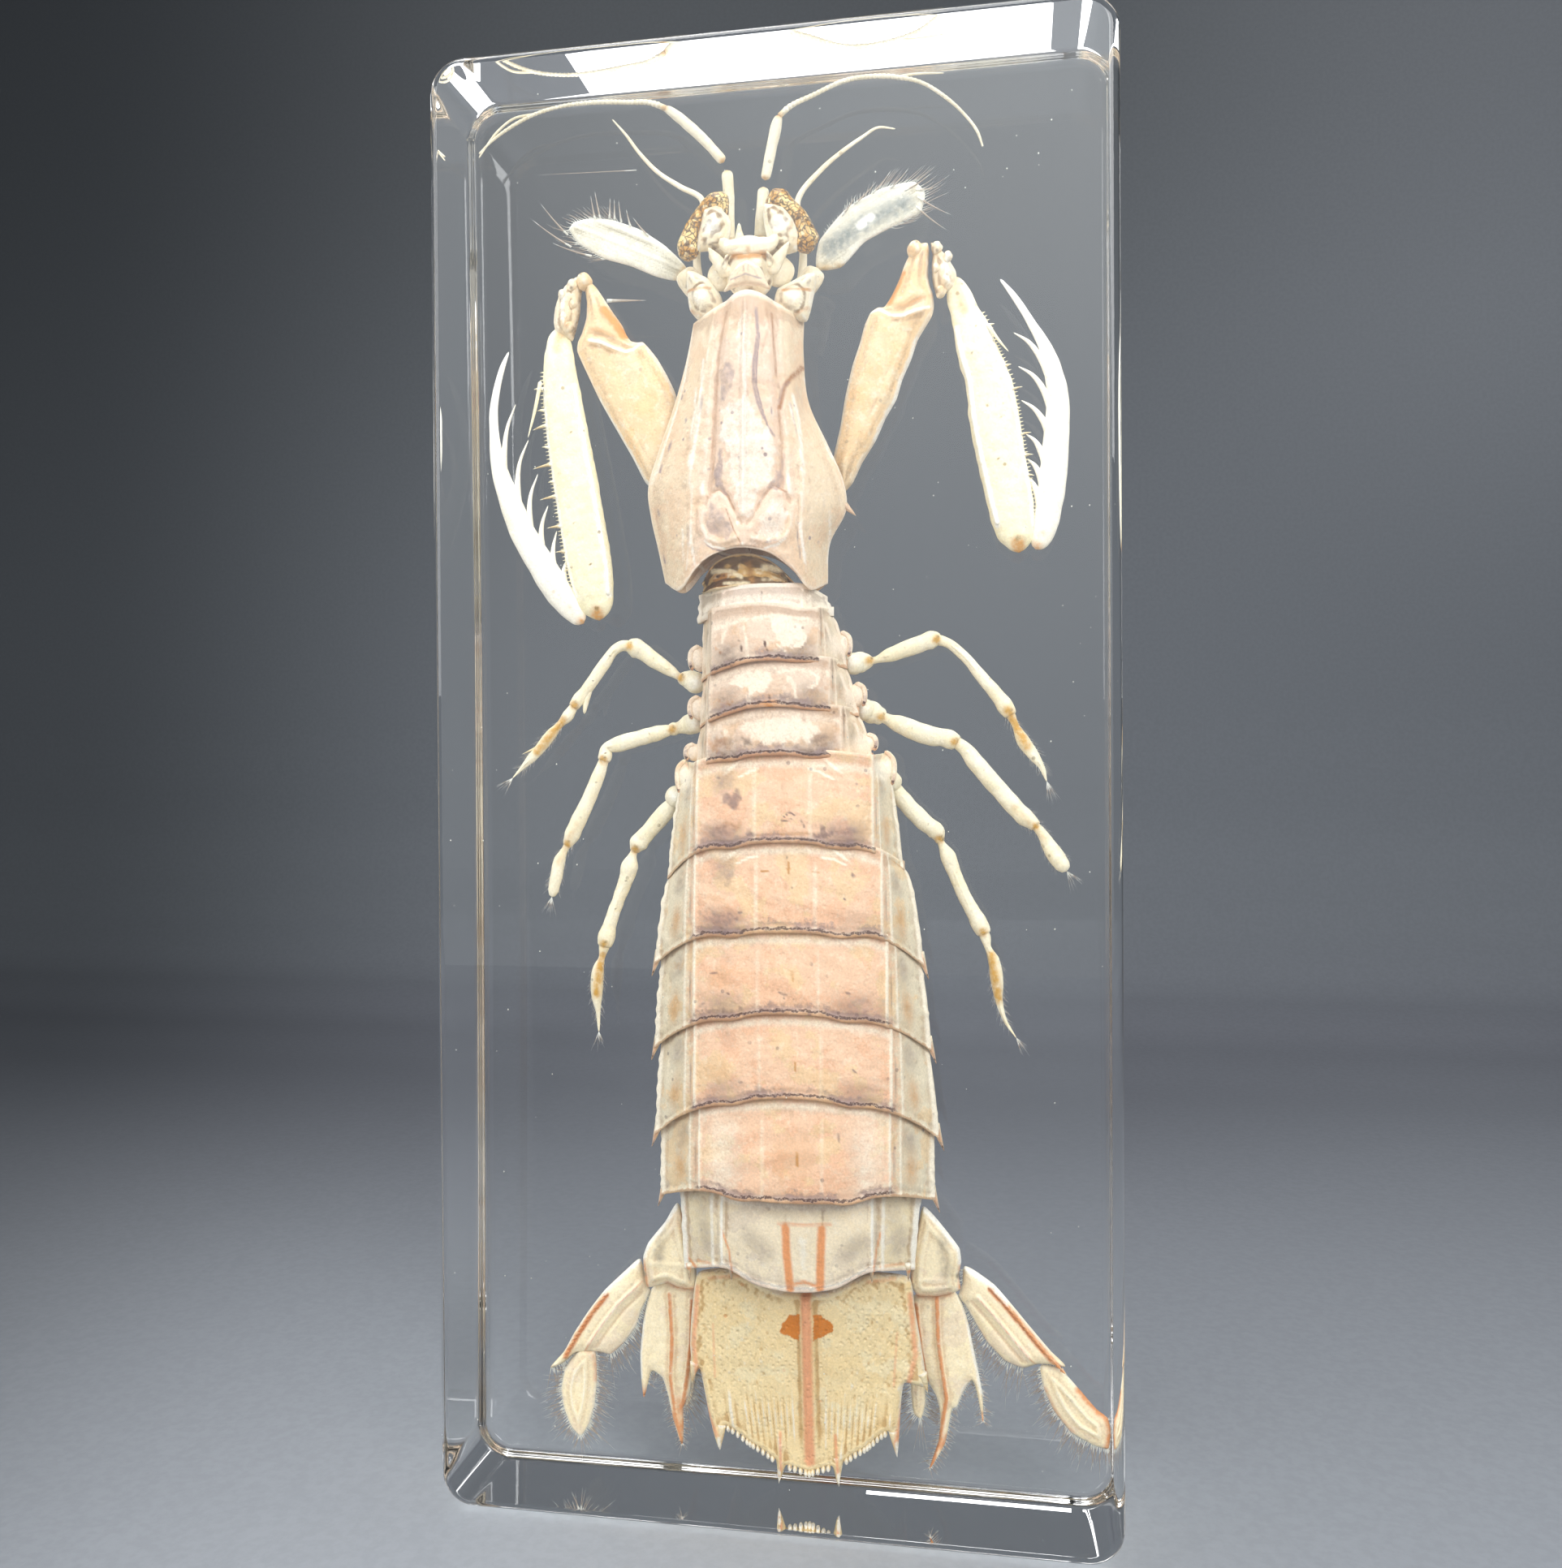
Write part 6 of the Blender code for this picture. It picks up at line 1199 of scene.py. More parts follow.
SHIELD_STROKES = (
    (DUSK, "-3.5 125.8 -3.5 124.3 -3.9 122.4 -4.7 121.9 -5.4 121.1 -5.5 123.4 -5.5 125.6 -4.5 126.3 "
           "-3.5 125.8", 0.3, 0.52),
    (DUSK, "-5.4 117.5 -4.9 116.4 -4.7 115 -4.9 113.6 -4.5 112.5 -4.3 111.7 -5.2 111.7 -6.1 112.6 "
           "-6 115.1 -5.4 117.5", 0.3, 0.64),
    (DUSK, "1.5 117.2 2 116 1.9 114.3 1.5 112.1 0.7 111.8 -0.4 112.1 -0.3 112.9 0.7 113.4 1.2 114.8 "
           "1.5 117.2", 0.3, 0.52),
    (DUSK, "-7 111 -5.5 111.4 -4.8 110 -4 108.6 -3.6 107.8 -4.1 107 -5.5 106.5 -7 107.1 -7.3 108.3 "
           "-7.2 109.9 -7 111", 0.4, 0.45),
    (PALE, "-0.6 110.3 0.4 111.2 1.6 110.8 2.1 109.6 "
           "2 107.7 0.8 106.4 -1.3 106.6 -1 108.8 -0.6 110.3", 0.4, 0.55),
    (PALE, "-3 122.3 -4.5 121.7 -5.2 121.1 -5.7 119 -5.4 117.8 -4.6 116.4 -4.6 114.4 -4 111.9 "
           "-3.2 109.7 -2.4 108.8 -1.2 109.3 -0.7 111.5 0.7 113.4 1.1 115.9 0.8 117.6 -0.2 119.2 "
           "-1.2 120.9 -2 122.3 -3 122.3", 0.4, 0.6),
    (PALE, "-3.3 131.9 -3.5 126.2 -2 123.1 -1.5 126.1 -1.7 131.6 -3.3 131.9", 0.4, 0.45),
    (DUSK, "-1.2 131.6 -1 128.9 -1.4 126.1 -1.5 123.4 -1 121.4 -0.4 119.8", 0.38, 0.8),
    (DUSK, "-0.8 128.9 -1.1 126.1 -1.2 123.3 -0.6 120.9 -0 118.9 0.7 117.8", 0.2, 1),
    (OCHRE, "-4.6 131.8 -5.5 127.3 -5.9 122.3 -6.1 120.1", 0.34, 0.5),
    (OCHRE, "-6.1 120.1 -6.3 117.4 -6.2 114 -5.7 112.3", 0.26, 0.5),
    (OCHRE, "0.4 131.3 0.7 127.1 0.9 124.3", 0.26, 0.64),
    (OCHRE, "1.1 120.9 1.2 118.7 1.5 117.1 1.4 114.3", 0.28, 0.5),
    (OCHRE, "-0.2 132 0.2 129.8 -0.6 126.9", 0.3, 0.44),
    (OCHRE, "-6.9 111.6 -5.6 112.4 -4.5 111.6 -3.7 109.9", 0.26, 0.6),
    (OCHRE, "-1.3 109.8 -0.5 111.5 0.6 112.5 1.9 111.8", 0.26, 0.6), (OCHRE, "0.4 109.2 1 108.4", 1.8, 0.3),
    (OCHRE, "1.2 120.9 1.7 123.3 2.6 124.8 3.3 126.1", 0.45, 0.85),
    (DUSK, "1.1 121.5 1.5 123.2 2.2 123.9", 0.3, 0.52),
    (OCHRE, "-4.6 110 -3.8 107.8 -2.9 106.1", 0.18, 0.7),
    (PALE, "-2.4 126.9 -2.4 119.8 -2.7 113.2", 0.32, 0.85),
    (PALE, "-7.4 126.9 -7.7 122.7 -8.1 118.8 -8.8 114.9", 0.3, 0.95),
    (PALE, "-8.3 124 -8.5 120.6 -9 117.3 -9.1 114.1", 0.28, 0.9),
    (DUSK, "-7.5 122.9 -7.8 119.9 -8.2 117.9", 0.16, 0.8), (DUSK, "-9.6 127.8 -9.8 125.2", 0.8, 0.3),
    (PALE, "2.5 122.6 3.1 120.1 3.5 117.3 3.6 114.2", 0.28, 1), (PALE, "2.2 121.6 2.7 119.4", 0.3, 0.7),
    (DUSK, "2.3 121.6 2.8 118.9 3.3 116.1", 0.16, 0.9), (DUSK, "2.9 123.5 3.5 120.2", 0.9, 0.3),
    (PALE, "-9.4 131.1 -10 125.8 -10.9 122.4 -12.7 117.4 -13.9 114", 0.4, 0.8),
    (PALE, "3.6 125 4.6 121.3 6.3 116.5 7.8 114.5", 0.4, 0.8),
    (PALE, "-9 108.9 -8.8 106.4 -8.4 104.2", 0.28, 0.9), (PALE, "-9.9 108.3 -9.8 104.8", 0.3, 0.6),
    (DUSK, "-9.3 108.7 -9.1 105.9", 0.2, 0.6), (PALE, "3.3 108.4 3.6 106 3.8 104.1", 0.28, 0.95),
    (DUSK, "3 108 3.3 104.6", 0.2, 0.6), (PALE, "6.4 109.9 6.3 107.6 5.9 104.5", 0.28, 0.7),
    (DUSK, "5.4 109.2 5.9 110.7 6 112.2", 0.3, 0.3), (PALE, "-7.4 113.2 -7.6 112", 0.42, 1),
    (PALE, "2.1 113.6 2.3 111.8", 0.4, 1), (PALE, "-3.3 108.5", 0.45, 1), (PALE, "-2.8 106.2", 0.35, 1),
    (PALE, "-7.2 106.8 -6.3 106.1 -4.9 105.8", 0.24, 1), (PALE, "-0.4 105.7 1 106.1 1.8 106.7", 0.24, 1),
    (DUSK, "-6.9 106.3 -6.1 105.8 -4.9 105.5", 0.2, 0.9), (DUSK, "-0.3 106.3 0.8 106.6", 0.2, 0.8),
    (DUSK, "-10.3 124.2 -10.3 123.1", 0.2, 1), (DUSK, "-11.5 119.1 -11.9 116.5", 0.16, 0.9),
    (DUSK, "-12.5 117.4 -12.9 115.1", 0.16, 0.8), (DUSK, "-13 111.7 -13.1 110.3", 0.18, 0.9),
    (DUSK, "-13.1 107.6 -12.5 104.9", 0.14, 0.8), (DUSK, "-9.6 121.2 -9.5 119.7", 0.16, 0.8),
    (DUSK, "-7.3 108.4 -7.6 106.9", 0.14, 0.6), (DUSK, "8.3 111.4 8.8 110.3", 0.3, 0.38),
    (DUSK, "0.4 120.8 0.4 120.2", 0.2, 0.9), (DUSK, "-2.5 122.5 -2.4 122.3", 0.2, 0.8),
    (DUSK, "-4.4 114.6 -4 114.5", 0.18, 0.7),
    (OCHRE, "-7.7 104.4 -6.1 105.1 -3.2 105.5 -0.4 105.3 1.2 104.7 2.3 103.7 3.3 102.4", 0.34, 0.6),
    (OCHRE, "-13.8 113.2 -13.9 111.7 -13 108.8", 0.4, 0.4), (OCHRE, "8.8 111.7 9.1 109.8", 0.5, 0.6),
)


def shield_relief(points):
    relief = sum(height * bump(distance_to_route(points, route), reach)
                 for route, height, reach in SHIELD_LINES)
    return relief + waves(points, 3.6, 5) * 0.1 + waves(points, 1.3, 6) * 0.05


def make_shield():
    knots = []
    for z, left, groove_left, groove_right, right in SHIELD_STATIONS:
        middle = (mix(groove_left, groove_right, share) for share in (0.0, 0.28, 0.5, 0.72, 1.0))
        xs = (left, mix(left, groove_left, 0.45), *middle, mix(right, groove_right, 0.45), right)
        knots.append([(x, top, z) for x, top in zip(xs, SHIELD_TOPS)])
    knots.append([(x, top + 0.5, z) for x, top, z in zip(SHIELD_REAR_X, SHIELD_TOPS, SHIELD_REAR_Z)])
    knots = np.asarray(knots)
    knots[0, :, 1] += SHIELD_FRONT_SINK
    knots[0, :, 2] += SHIELD_FRONT_RISE
    keys = np.arange(len(knots))
    along = np.linspace(0.0, len(knots) - 1.0, 116)
    across = np.linspace(-1.0, 1.0, 86)
    lines = np.stack([through(keys, knots[:, column], along) for column in range(9)], axis=1)
    tops = np.stack([through(SHIELD_KEYS, line, across) for line in lines])
    unders = tops.copy()
    edge = np.abs(across) ** 8
    tops[..., 1] += 0.25 * edge
    tops[..., 1] -= shield_relief(tops.reshape(-1, 3)).reshape(tops.shape[:2]) * (1 - edge)
    unders[..., 1] = np.maximum(through(SHIELD_KEYS, SHIELD_UNDERS, across), tops[..., 1] + 0.15)
    plans = np.stack(np.broadcast_arrays(across, 30.0 - along[:, None], along[:, None] / 7.0), axis=2)
    tops, unders, plans = list(tops), list(unders), list(plans)
    folds = ((0.05, 0.12), (0.0, 0.32), (-0.8, 0.45))
    turn_under(tops, unders, folds)
    shape = Shape()
    add_loft(shape, tops, unders, plans + plans[-1:] * len(folds))
    add_spike(shape, (7.2, 2.2, 111.4), (9.1, 2.3, 109.6), 1.2, sides=9)
    shape.make("carapace_shell", SHIELD_SHELL, "carapace", "carapace", SHIELD_STROKES)


def make_neck():
    """Folded skin between the shield and the collar, with pale bands across it."""
    across = np.linspace(-1.0, 1.0, 46)
    keys = (-1.0, -0.5, 0.0, 0.5, 1.0)
    front, rear, xs, arch, under = (through(keys, row, across) for row in (
        (102.6, 104.8, 105.5, 104.4, 101.4), (101.5, 101.7, 101.9, 101.7, 101.2),
        (-8.3, -6.2, -2.9, 0.2, 3.0),
        (1.4, -0.9, -1.6, -0.9, 1.4), (3.6, 5.4, 6.2, 5.4, 3.6)))
    tops, unders, plans = [], [], []
    for share in np.linspace(0.0, 1.0, 26):
        z = mix(front, rear, share)
        row = np.stack((xs * (1 - 0.02 * math.sin(math.pi * share)), arch, z), axis=1)
        folds = 0.22 * np.sin(share * 4.5 * math.pi + waves(row, 5.0, 3) * 1.2)
        row[:, 1] += 0.3 * math.sin(math.pi * share) - folds + waves(row, 1.2, 4) * 0.12
        tops.append(row)
        unders.append(np.stack((row[:, 0], np.maximum(under, row[:, 1] + 0.2), z), axis=1))
        from_front = (1 - share) * (front - rear)
        plans.append(np.stack((across * 0.5, from_front, np.full(len(across), share)), axis=1))
    shape = Shape()
    add_loft(shape, tops, unders, plans)
    strokes = (
        (DUSK, "-6.4 104.2 -5.2 104.4", 0.4, 1.0), (DUSK, "-6.2 103.1 -5.4 103.2", 0.35, 1.0),
        (DUSK, "1 103.4 2.3 103.2", 0.4, 1.0), (DUSK, "-3.3 104.7 -2.2 105", 0.35, 0.9),
        (DUSK, "0.2 104.6 1.2 104.4", 0.35, 0.8), (PALE, "-6.8 103.7 -4.6 103.6 -3.4 102.9", 0.5, 0.9),
        (PALE, "-0.9 103.9 0.8 103.7 2.2 103.9", 0.7, 0.85), (PALE, "-5.4 102.3 -2.6 102.2", 0.4, 0.8),
        (PALE, "-1 102.6 1.4 102.7", 0.5, 0.6), (OCHRE, "-2.6 104.4 -2.2 102.6", 0.8, 0.7),
    )
    shape.make("thorax_neck_skin", NECK_SKIN, "thorax_neck", "neck", strokes)


# The head

def edge_fold(height, at, reach):
    """Relief of one fold that follows a blade's edge."""
    return lambda x, z, inward: height * bump(inward - at, reach)


def make_rostrum():
    outline = rows("-4.9 134  -4.5 134.9  -4 136  -3.3 136.9  -2.3 137.3  -1.3 136.9  -0.6 136  -0.2 134.9  "
                   "0.2 134  -1.2 134.4  -2.4 134.5  -3.6 134.4")

    def relief(x, z, inward):
        return 0.3 * bump(x + 2.35, 1.6) + 0.2 * bump(inward - 0.4, 0.3) + 0.15 * bump(x + 2.35, 0.3)

    shape = Shape()
    add_blade(shape, outline, -2.6, 1.1, pillow=1.1, step=0.15, relief=relief)
    shape.make("rostrum_plate", SHIELD_SHELL, "rostrum", "carapace", (
        (DUSK, "-4.1 135.2 -2.4 135.6 -0.7 135.1", 0.22, 0.7), (DUSK, "-2.6 136.6 -2.6 136", 0.14, 0.9),
        (DUSK, "-2.1 136.6 -2.1 136", 0.14, 0.9), (PALE, "-3.6 136.4 -2.4 137.1 -1.2 136.4", 0.25, 0.9),
        (OCHRE, "-4.4 134.5 -2.4 134.8 -0.3 134.4", 0.3, 0.4)))


def make_head():
    shape = Shape()
    add_limb(shape, rows("-2.4 133.8 5.2  -2.4 136 5.4  -2.4 138.6 5  -2.4 140.2 3.8", 3), y=1.2,
             depth=0.85, sides=36, relief=0.12)
    plate = rows("-5.6 140.4 0.9  -4.9 139.6 1.5  -3.6 139.3 2  -2.4 139.4 2.3  -1.2 139.3 2  0.1 139.5 1.5  "
                 "0.8 140.4 0.9", 3)
    add_limb(shape, plate, y=-0.4, depth=0.55, sides=24)
    add_limb(shape, rows("-3.4 140 1.3  -3.5 141 0.8  -3.5 142.1 0.2", 3), y=0.1)
    for _, away in SIDES:
        x = -2.45 + away * 2.3
        horn = ((x, 136.2, 1.6), (x + away * 0.8, 137.5, 1.5), (x + away * 1.6, 138.6, 1.0),
                (x + away * 2.25, 139.6, 0.2))
        add_limb(shape, horn, y=-0.1, depth=0.75)
        rod = ((x + away * 0.3, 136.6, 0.7), (x + away * 0.1, 137.6, 0.5), (x - away * 0.1, 138.4, 0.4))
        add_limb(shape, rod, y=-1.4, depth=0.9, sides=12)
        add_bulb(shape, (x + away * 1.0, 1.8, 136.8), (1.6, 1.3, 1.7))
    shape.make("head_plates", HEAD_SHELL, "head", "head", (
        (OCHRE, "-4.2 138.3 -2.4 138.1 -0.6 138.3", 0.75, 0.9), (DUSK, "-5.2 137.4 -4.4 138", 0.6, 0.7),
        (DUSK, "0.3 137.4 -0.4 138", 0.6, 0.7), (PALE, "-4.9 139.8 -2.4 139.7 0.2 139.8", 0.5, 0.8),
        (OCHRE, "-2.4 139 -2.4 138.6", 0.6, 0.6)))


def make_mouthparts():
    """The small feeding limbs, folded in pairs under the shield."""
    middle = -2.7
    shape = Shape()
    add_limb(shape, rows("-2.6 131.6 4.4  -2.6 127 5.8  -2.6 120 7.2  -2.7 112 8  -2.7 108.6 5.4", 3), y=4.9,
             depth=0.28, sides=36, relief=0.12)
    for pair in range(4):
        z, reach = 128.6 - pair * 4.6, 3.2 + 0.5 * pair
        for _, away in SIDES:
            knots = ((1.2, 0.0, 1.6), (reach - 0.6, 1.7, 1.7), (reach, 1.5, 1.2), (reach + 0.3, -0.6, 1.5),
                     (reach - 0.6, -2.4, 1.1), (reach - 1.6, -3.1, 0.3))
            limb = [(middle + away * out, z + up, width) for out, up, width in knots]
            add_limb(shape, limb, y=6.2, depth=0.7, sides=14)
        add_bulb(shape, (middle, 6.0, z - 1.0), (0.9, 0.7, 1.6))
    shape.make("folded_feeding_limbs", HEAD_SHELL, "mouthparts", "head", (
        (OCHRE, "-2.7 127 -2.7 111", 0.9, 0.6), (DUSK, "-4.6 124 -4.8 114", 0.5, 0.4),
        (DUSK, "-0.6 124 -0.4 114", 0.5, 0.4)))


def eye_finish():
    """The cornea: gold with a dark ragged net and pale glints, under a clear gloss."""
    material, nodes = new_material("eye_lens")
    drift = nodes.add("ShaderNodeTexNoise", {"Vector": nodes.place(), "Scale": 900.0}).outputs["Color"]
    shift = nodes.add("ShaderNodeVectorMath", {0: drift, "Scale": 0.0012}, operation="SCALE").outputs[0]
    moved = nodes.add("ShaderNodeVectorMath", {0: nodes.place(), 1: shift}, operation="ADD").outputs[0]
    net = nodes.cells(1500.0, "DISTANCE_TO_EDGE", moved)
    patches = nodes.noise(620.0, 4.0, 0.65)
    shade = nodes.blend(nodes.span(patches, 0.42, 0.6), tint("c48f3c"), tint("f4d48e"))
    shade = nodes.blend(nodes.times(nodes.span(net, 0.13, 0.03), 0.9), shade, tint("4a2c10"))
    shade = nodes.blend(nodes.span(nodes.noise(1100.0), 0.6, 0.7), shade, tint("f3e2b8"))
    holes = nodes.times(nodes.span(nodes.noise(1700.0, 2.0), 0.56, 0.62), 0.75)
    nodes.surface(nodes.add("ShaderNodeBsdfPrincipled", {
        "Base Color": nodes.blend(holes, shade, tint("523414")), "Coat Weight": 0.3,
        "Roughness": nodes.span(patches, 0.3, 0.7, 0.2, 0.36),
        "Normal": nodes.relief(nodes.cells(5200.0), 0.00004)}))
    return material


def make_eye(side, away, lens_finish):
    lens = Shape()
    add_blade(lens, CORNEAS[side], EYE_Y - 0.2, 2.6, pillow=1.3, step=0.16, relief=edge_fold(0.12, 0.9, 0.4))
    lens.make(f"eye_{side}_lens", lens_finish, f"eye_{side}", "eye")
    x, z = heart = np.mean(EYE_STALKS[side], axis=0)

    def lumps(x, z, inward):
        knob = bump(np.hypot(x - heart[0] + away * 0.4, z - heart[1] - 0.8), 1.3)
        return 0.35 * knob + waves(upright(x, z), 1.2, 61) * 0.14

    stalk = Shape()
    add_blade(stalk, EYE_STALKS[side], EYE_Y - 0.3, 3.0, pillow=1.7, step=0.18, relief=lumps)
    skirt = ((x - away * 0.4, z - 1.2, 2.4), (x - away * 0.7, z - 2.4, 2.9), (x - away * 1.2, z - 3.6, 2.2))
    add_limb(stalk, skirt, y=1.9, sides=26)
    stalk.make(f"eye_{side}_stalk", HEAD_SHELL, f"eye_{side}", "head", (
        (DUSK, ((x - away * 0.2, z - 2.1), (x - away * 1.1, z - 3.4)), 1.0, 0.7),
        (PALE, ((x, z + 0.2),), 1.5, 0.9),
        (OCHRE, ((x + away * 1.2, z - 1.2), (x + away * 1.4, z + 0.4)), 0.5, 0.4),
        (DUSK, ((x - away * 1.6, z - 1.4), (x + away * 0.4, z - 1.7)), 0.2, 0.8)))


def make_eyes():
    lens_finish = eye_finish()
    for side, away in SIDES:
        make_eye(side, away, lens_finish)


def make_antennule(side):
    """The inner feeler: a jointed stem and two ringed threads."""
    shape = Shape()
    for stem in ANTENNULE_STEMS[side]:
        add_limb(shape, stem, depth=0.9)
    for thread in (FEELER_THREADS[side], SIDE_THREADS[side]):
        add_limb(shape, thread, depth=1.0, sides=10, round_ends=False)
    spots, _ = resample(FEELER_THREADS[side], 0.5)
    for x, z, width in spots[2:-2]:
        add_bulb(shape, (x, LIMB_PLANE, z), (width * 0.62,) * 3, columns=8, rings=5)
    joints = [stem[end][:2] for stem in ANTENNULE_STEMS[side] for end in (0, -1)]
    strokes = [(OCHRE, (joint,), 0.9, 0.8) for joint in joints]
    strokes += [(DUSK, ((x, z),), 0.22, 0.5) for x, z, _ in spots[1::2]]
    shape.make(f"antennule_{side}_stem", FEELER_SHELL, f"antennule_{side}", "feeler", strokes)


def make_antenna(side, away):
    """The outer feeler with its swollen base and the foot of its scale."""
    x, z = ANTENNA_BULBS[side]
    cup = np.mean(ANTENNA_CUPS[side], axis=0)

    def swelling(x, z, inward):
        from_top = np.hypot(x - cup[0] + away * 0.6, z - cup[1] + 0.4)
        return 0.3 * bump(from_top, 1.4) - 0.2 * bump(from_top - 1.7, 0.35)

    base = Shape()
    add_blade(base, ANTENNA_CUPS[side], BULB_Y - 0.8, 3.6, pillow=1.8, step=0.18, relief=swelling)
    scale_foot = ((x + away * 0.6, z + 0.8, 2.4), (x + away * 1.6, z + 2.2, 2.6),
                  (x + away * 2.4, z + 3.4, 2.2))
    add_limb(base, scale_foot, y=3.6, sides=22, relief=0.1, blunt=0.5)
    add_limb(base, ANTENNA_STALKS[side], y=STALK_Y, sides=14, lean=0.4)
    base.make(f"antenna_{side}_base", HEAD_SHELL, f"antenna_{side}", "feeler", (
        (PALE, ((x, z - 0.4),), 1.6, 0.6),
        (OCHRE, ((x - away * 1.2, z + 0.4), (x + away * 1.8, z + 0.3)), 0.35, 0.75),
        (OCHRE, ((x + away * 1.6, z - 1.6), (x, z - 2.4)), 0.5, 0.5),
        (DUSK, ((x - away * 2.0, z + 1.2),), 0.6, 0.6)))


def make_scale(side):
    """The feeler's leaf-shaped scale, with its fringe of setae on a piece of its own."""
    outline = np.array(SCALES[side])
    foot, tip = outline[0], outline[5]
    run = unit(tip - foot)
    normal = np.array((-run[1], run[0]))

    def relief(x, z, inward):
        span = (x - foot[0]) * normal[0] + (z - foot[1]) * normal[1]
        ribs = 0.022 * np.sin(span * 17.0) + 0.22 * bump(span + 1.2, 0.45) + 0.1 * bump(span - 0.4, 0.3)
        return ribs + 0.08 * bump(inward - 0.3, 0.2)

    scale = Shape()
    add_blade(scale, outline, LIMB_PLANE, 0.7, pillow=0.9, step=0.2, relief=relief)
    strokes = [(OCHRE, outline[[0, -1]], 1.2, 0.7), (DUSK, outline[[2, 4]], 0.5, 0.35)]
    if side == "right":
        strokes += [(DUSK, "6.2 139.8 10.4 142.4 14.6 144", 2.2, 0.75),
                    (PALE, "9.6 142 10.8 142.8", 0.9, 1.0)]
    scale.make(f"antennal_scale_{side}_blade", SCALE_SHELL, f"antennal_scale_{side}", "feeler", strokes)

    fringe = Shape()
    centre = outline.mean(axis=0)
    for knot in smooth_outline(outline, 0.3):
        way = unit(knot - centre)
        along = way @ run
        up = way @ normal * (1 if normal[1] > 0 else -1)
        if along > 0.55 or (side == "right" and up > 0.4):
            length = random.uniform(0.6, 2.6) * (0.4 + 0.6 * max(along, 0.3))
            x, z = knot + (way * 0.7 + run * 0.6) * length
            end = (inside_block(x, 0.8), LIMB_PLANE + random.uniform(-0.2, 0.4), z)
            add_spike(fringe, (knot[0], LIMB_PLANE, knot[1]), end, 0.12, rise=random.uniform(-0.2, 0.2),
                      sides=3, rings=5)
    y = LIMB_PLANE - 0.4
    for foot_x, foot_z, tip_x, tip_z in SCALE_HAIRS[side]:
        add_spike(fringe, (foot_x, y, foot_z), (tip_x, y, tip_z), 0.26, rise=-0.15, sides=4)
    fringe.make(f"antennal_scale_{side}_fringe", BRISTLE, slot="feeler")


def make_feelers():
    for side, away in SIDES:
        make_antennule(side)
        make_antenna(side, away)
        make_scale(side)


# The striking claws

def make_claw_arm(side, away):
    outline = MERUS[side]
    lip = np.array(rows(MERUS_LIPS[side]))
    crest = np.array(outline[MERUS_CRESTS[side]])
    knob = outline[MERUS_KNOBS[side]]

    def relief(x, z, inward):
        return (0.35 * near_line(x, z, lip, 0.5) - 0.3 * near_line(x, z, lip + (0.0, 1.1), 0.8)
                + 0.3 * near_line(x, z, crest - (away * 1.2, 0.0), 0.7)
                + waves(upright(x, z), 2.2, 31) * 0.08)

    arm = Shape()
    add_blade(arm, outline, LIMB_PLANE, 3.4, pillow=2.9, relief=relief)
    add_bulb(arm, (knob[0] - away * 0.2, LIMB_PLANE - 0.4, knob[1] - 0.7), (0.9, 1.4, 1.0), relief=0.1)
    arm.make(f"claw_merus_{side}_shell", ARM_SHELL, f"claw_merus_{side}", "claw_arm", (
        (PALE, lip, 0.3, 1.0), (OCHRE, SADDLES[side], 0.9, 1.1), (PALE, crest, 0.6, 0.8),
        (DUSK, (knob,), 0.35, 0.8), (OCHRE, lip[1:] + (0.3, 1.3), 0.4, 0.45), (PALE, outline[:5], 0.5, 0.5),
        (DUSK, outline[16:20], 0.3, 0.6)))


def make_claw_wrist(side, away):
    outline = CARPUS[side]
    heart = np.mean(outline, axis=0)

    def relief(x, z, inward):
        out = (x - heart[0]) * away
        folds = 0.25 * bump(out - 0.5, 0.6) - 0.2 * bump(out + 0.4, 0.35) + 0.12 * bump(inward - 0.5, 0.3)
        return folds + waves(upright(x, z), 1.1, 33) * 0.22

    wrist = Shape()
    for up, out, size in rows("2.4 -0.5 0.75  1.4 0.7 0.6  0.2 -0.6 0.55  -1.2 0.4 0.6  -2.4 -0.1 0.7", 3):
        centre = (heart[0] + away * out, LIMB_PLANE - 0.9, heart[1] + up)
        add_bulb(wrist, centre, (size * 0.8, 0.7, size), relief=0.12)
    add_blade(wrist, outline, LIMB_PLANE, 2.4, pillow=1.4, step=0.15, relief=relief)
    wrist.make(f"claw_carpus_{side}_shell", CARPUS_SHELL, f"claw_carpus_{side}", "claw", (
        (DUSK, outline[CARPUS_CREASES[side]], 0.45, 0.75), (DUSK, (heart + (away * -0.5, 2.0),), 0.4, 0.8),
        (PALE, (heart + (away * 0.6, 1.4), heart + (away * 0.7, -1.4)), 0.5, 0.8),
        (OCHRE, (heart - (0.0, 2.2),), 0.8, 0.6)))


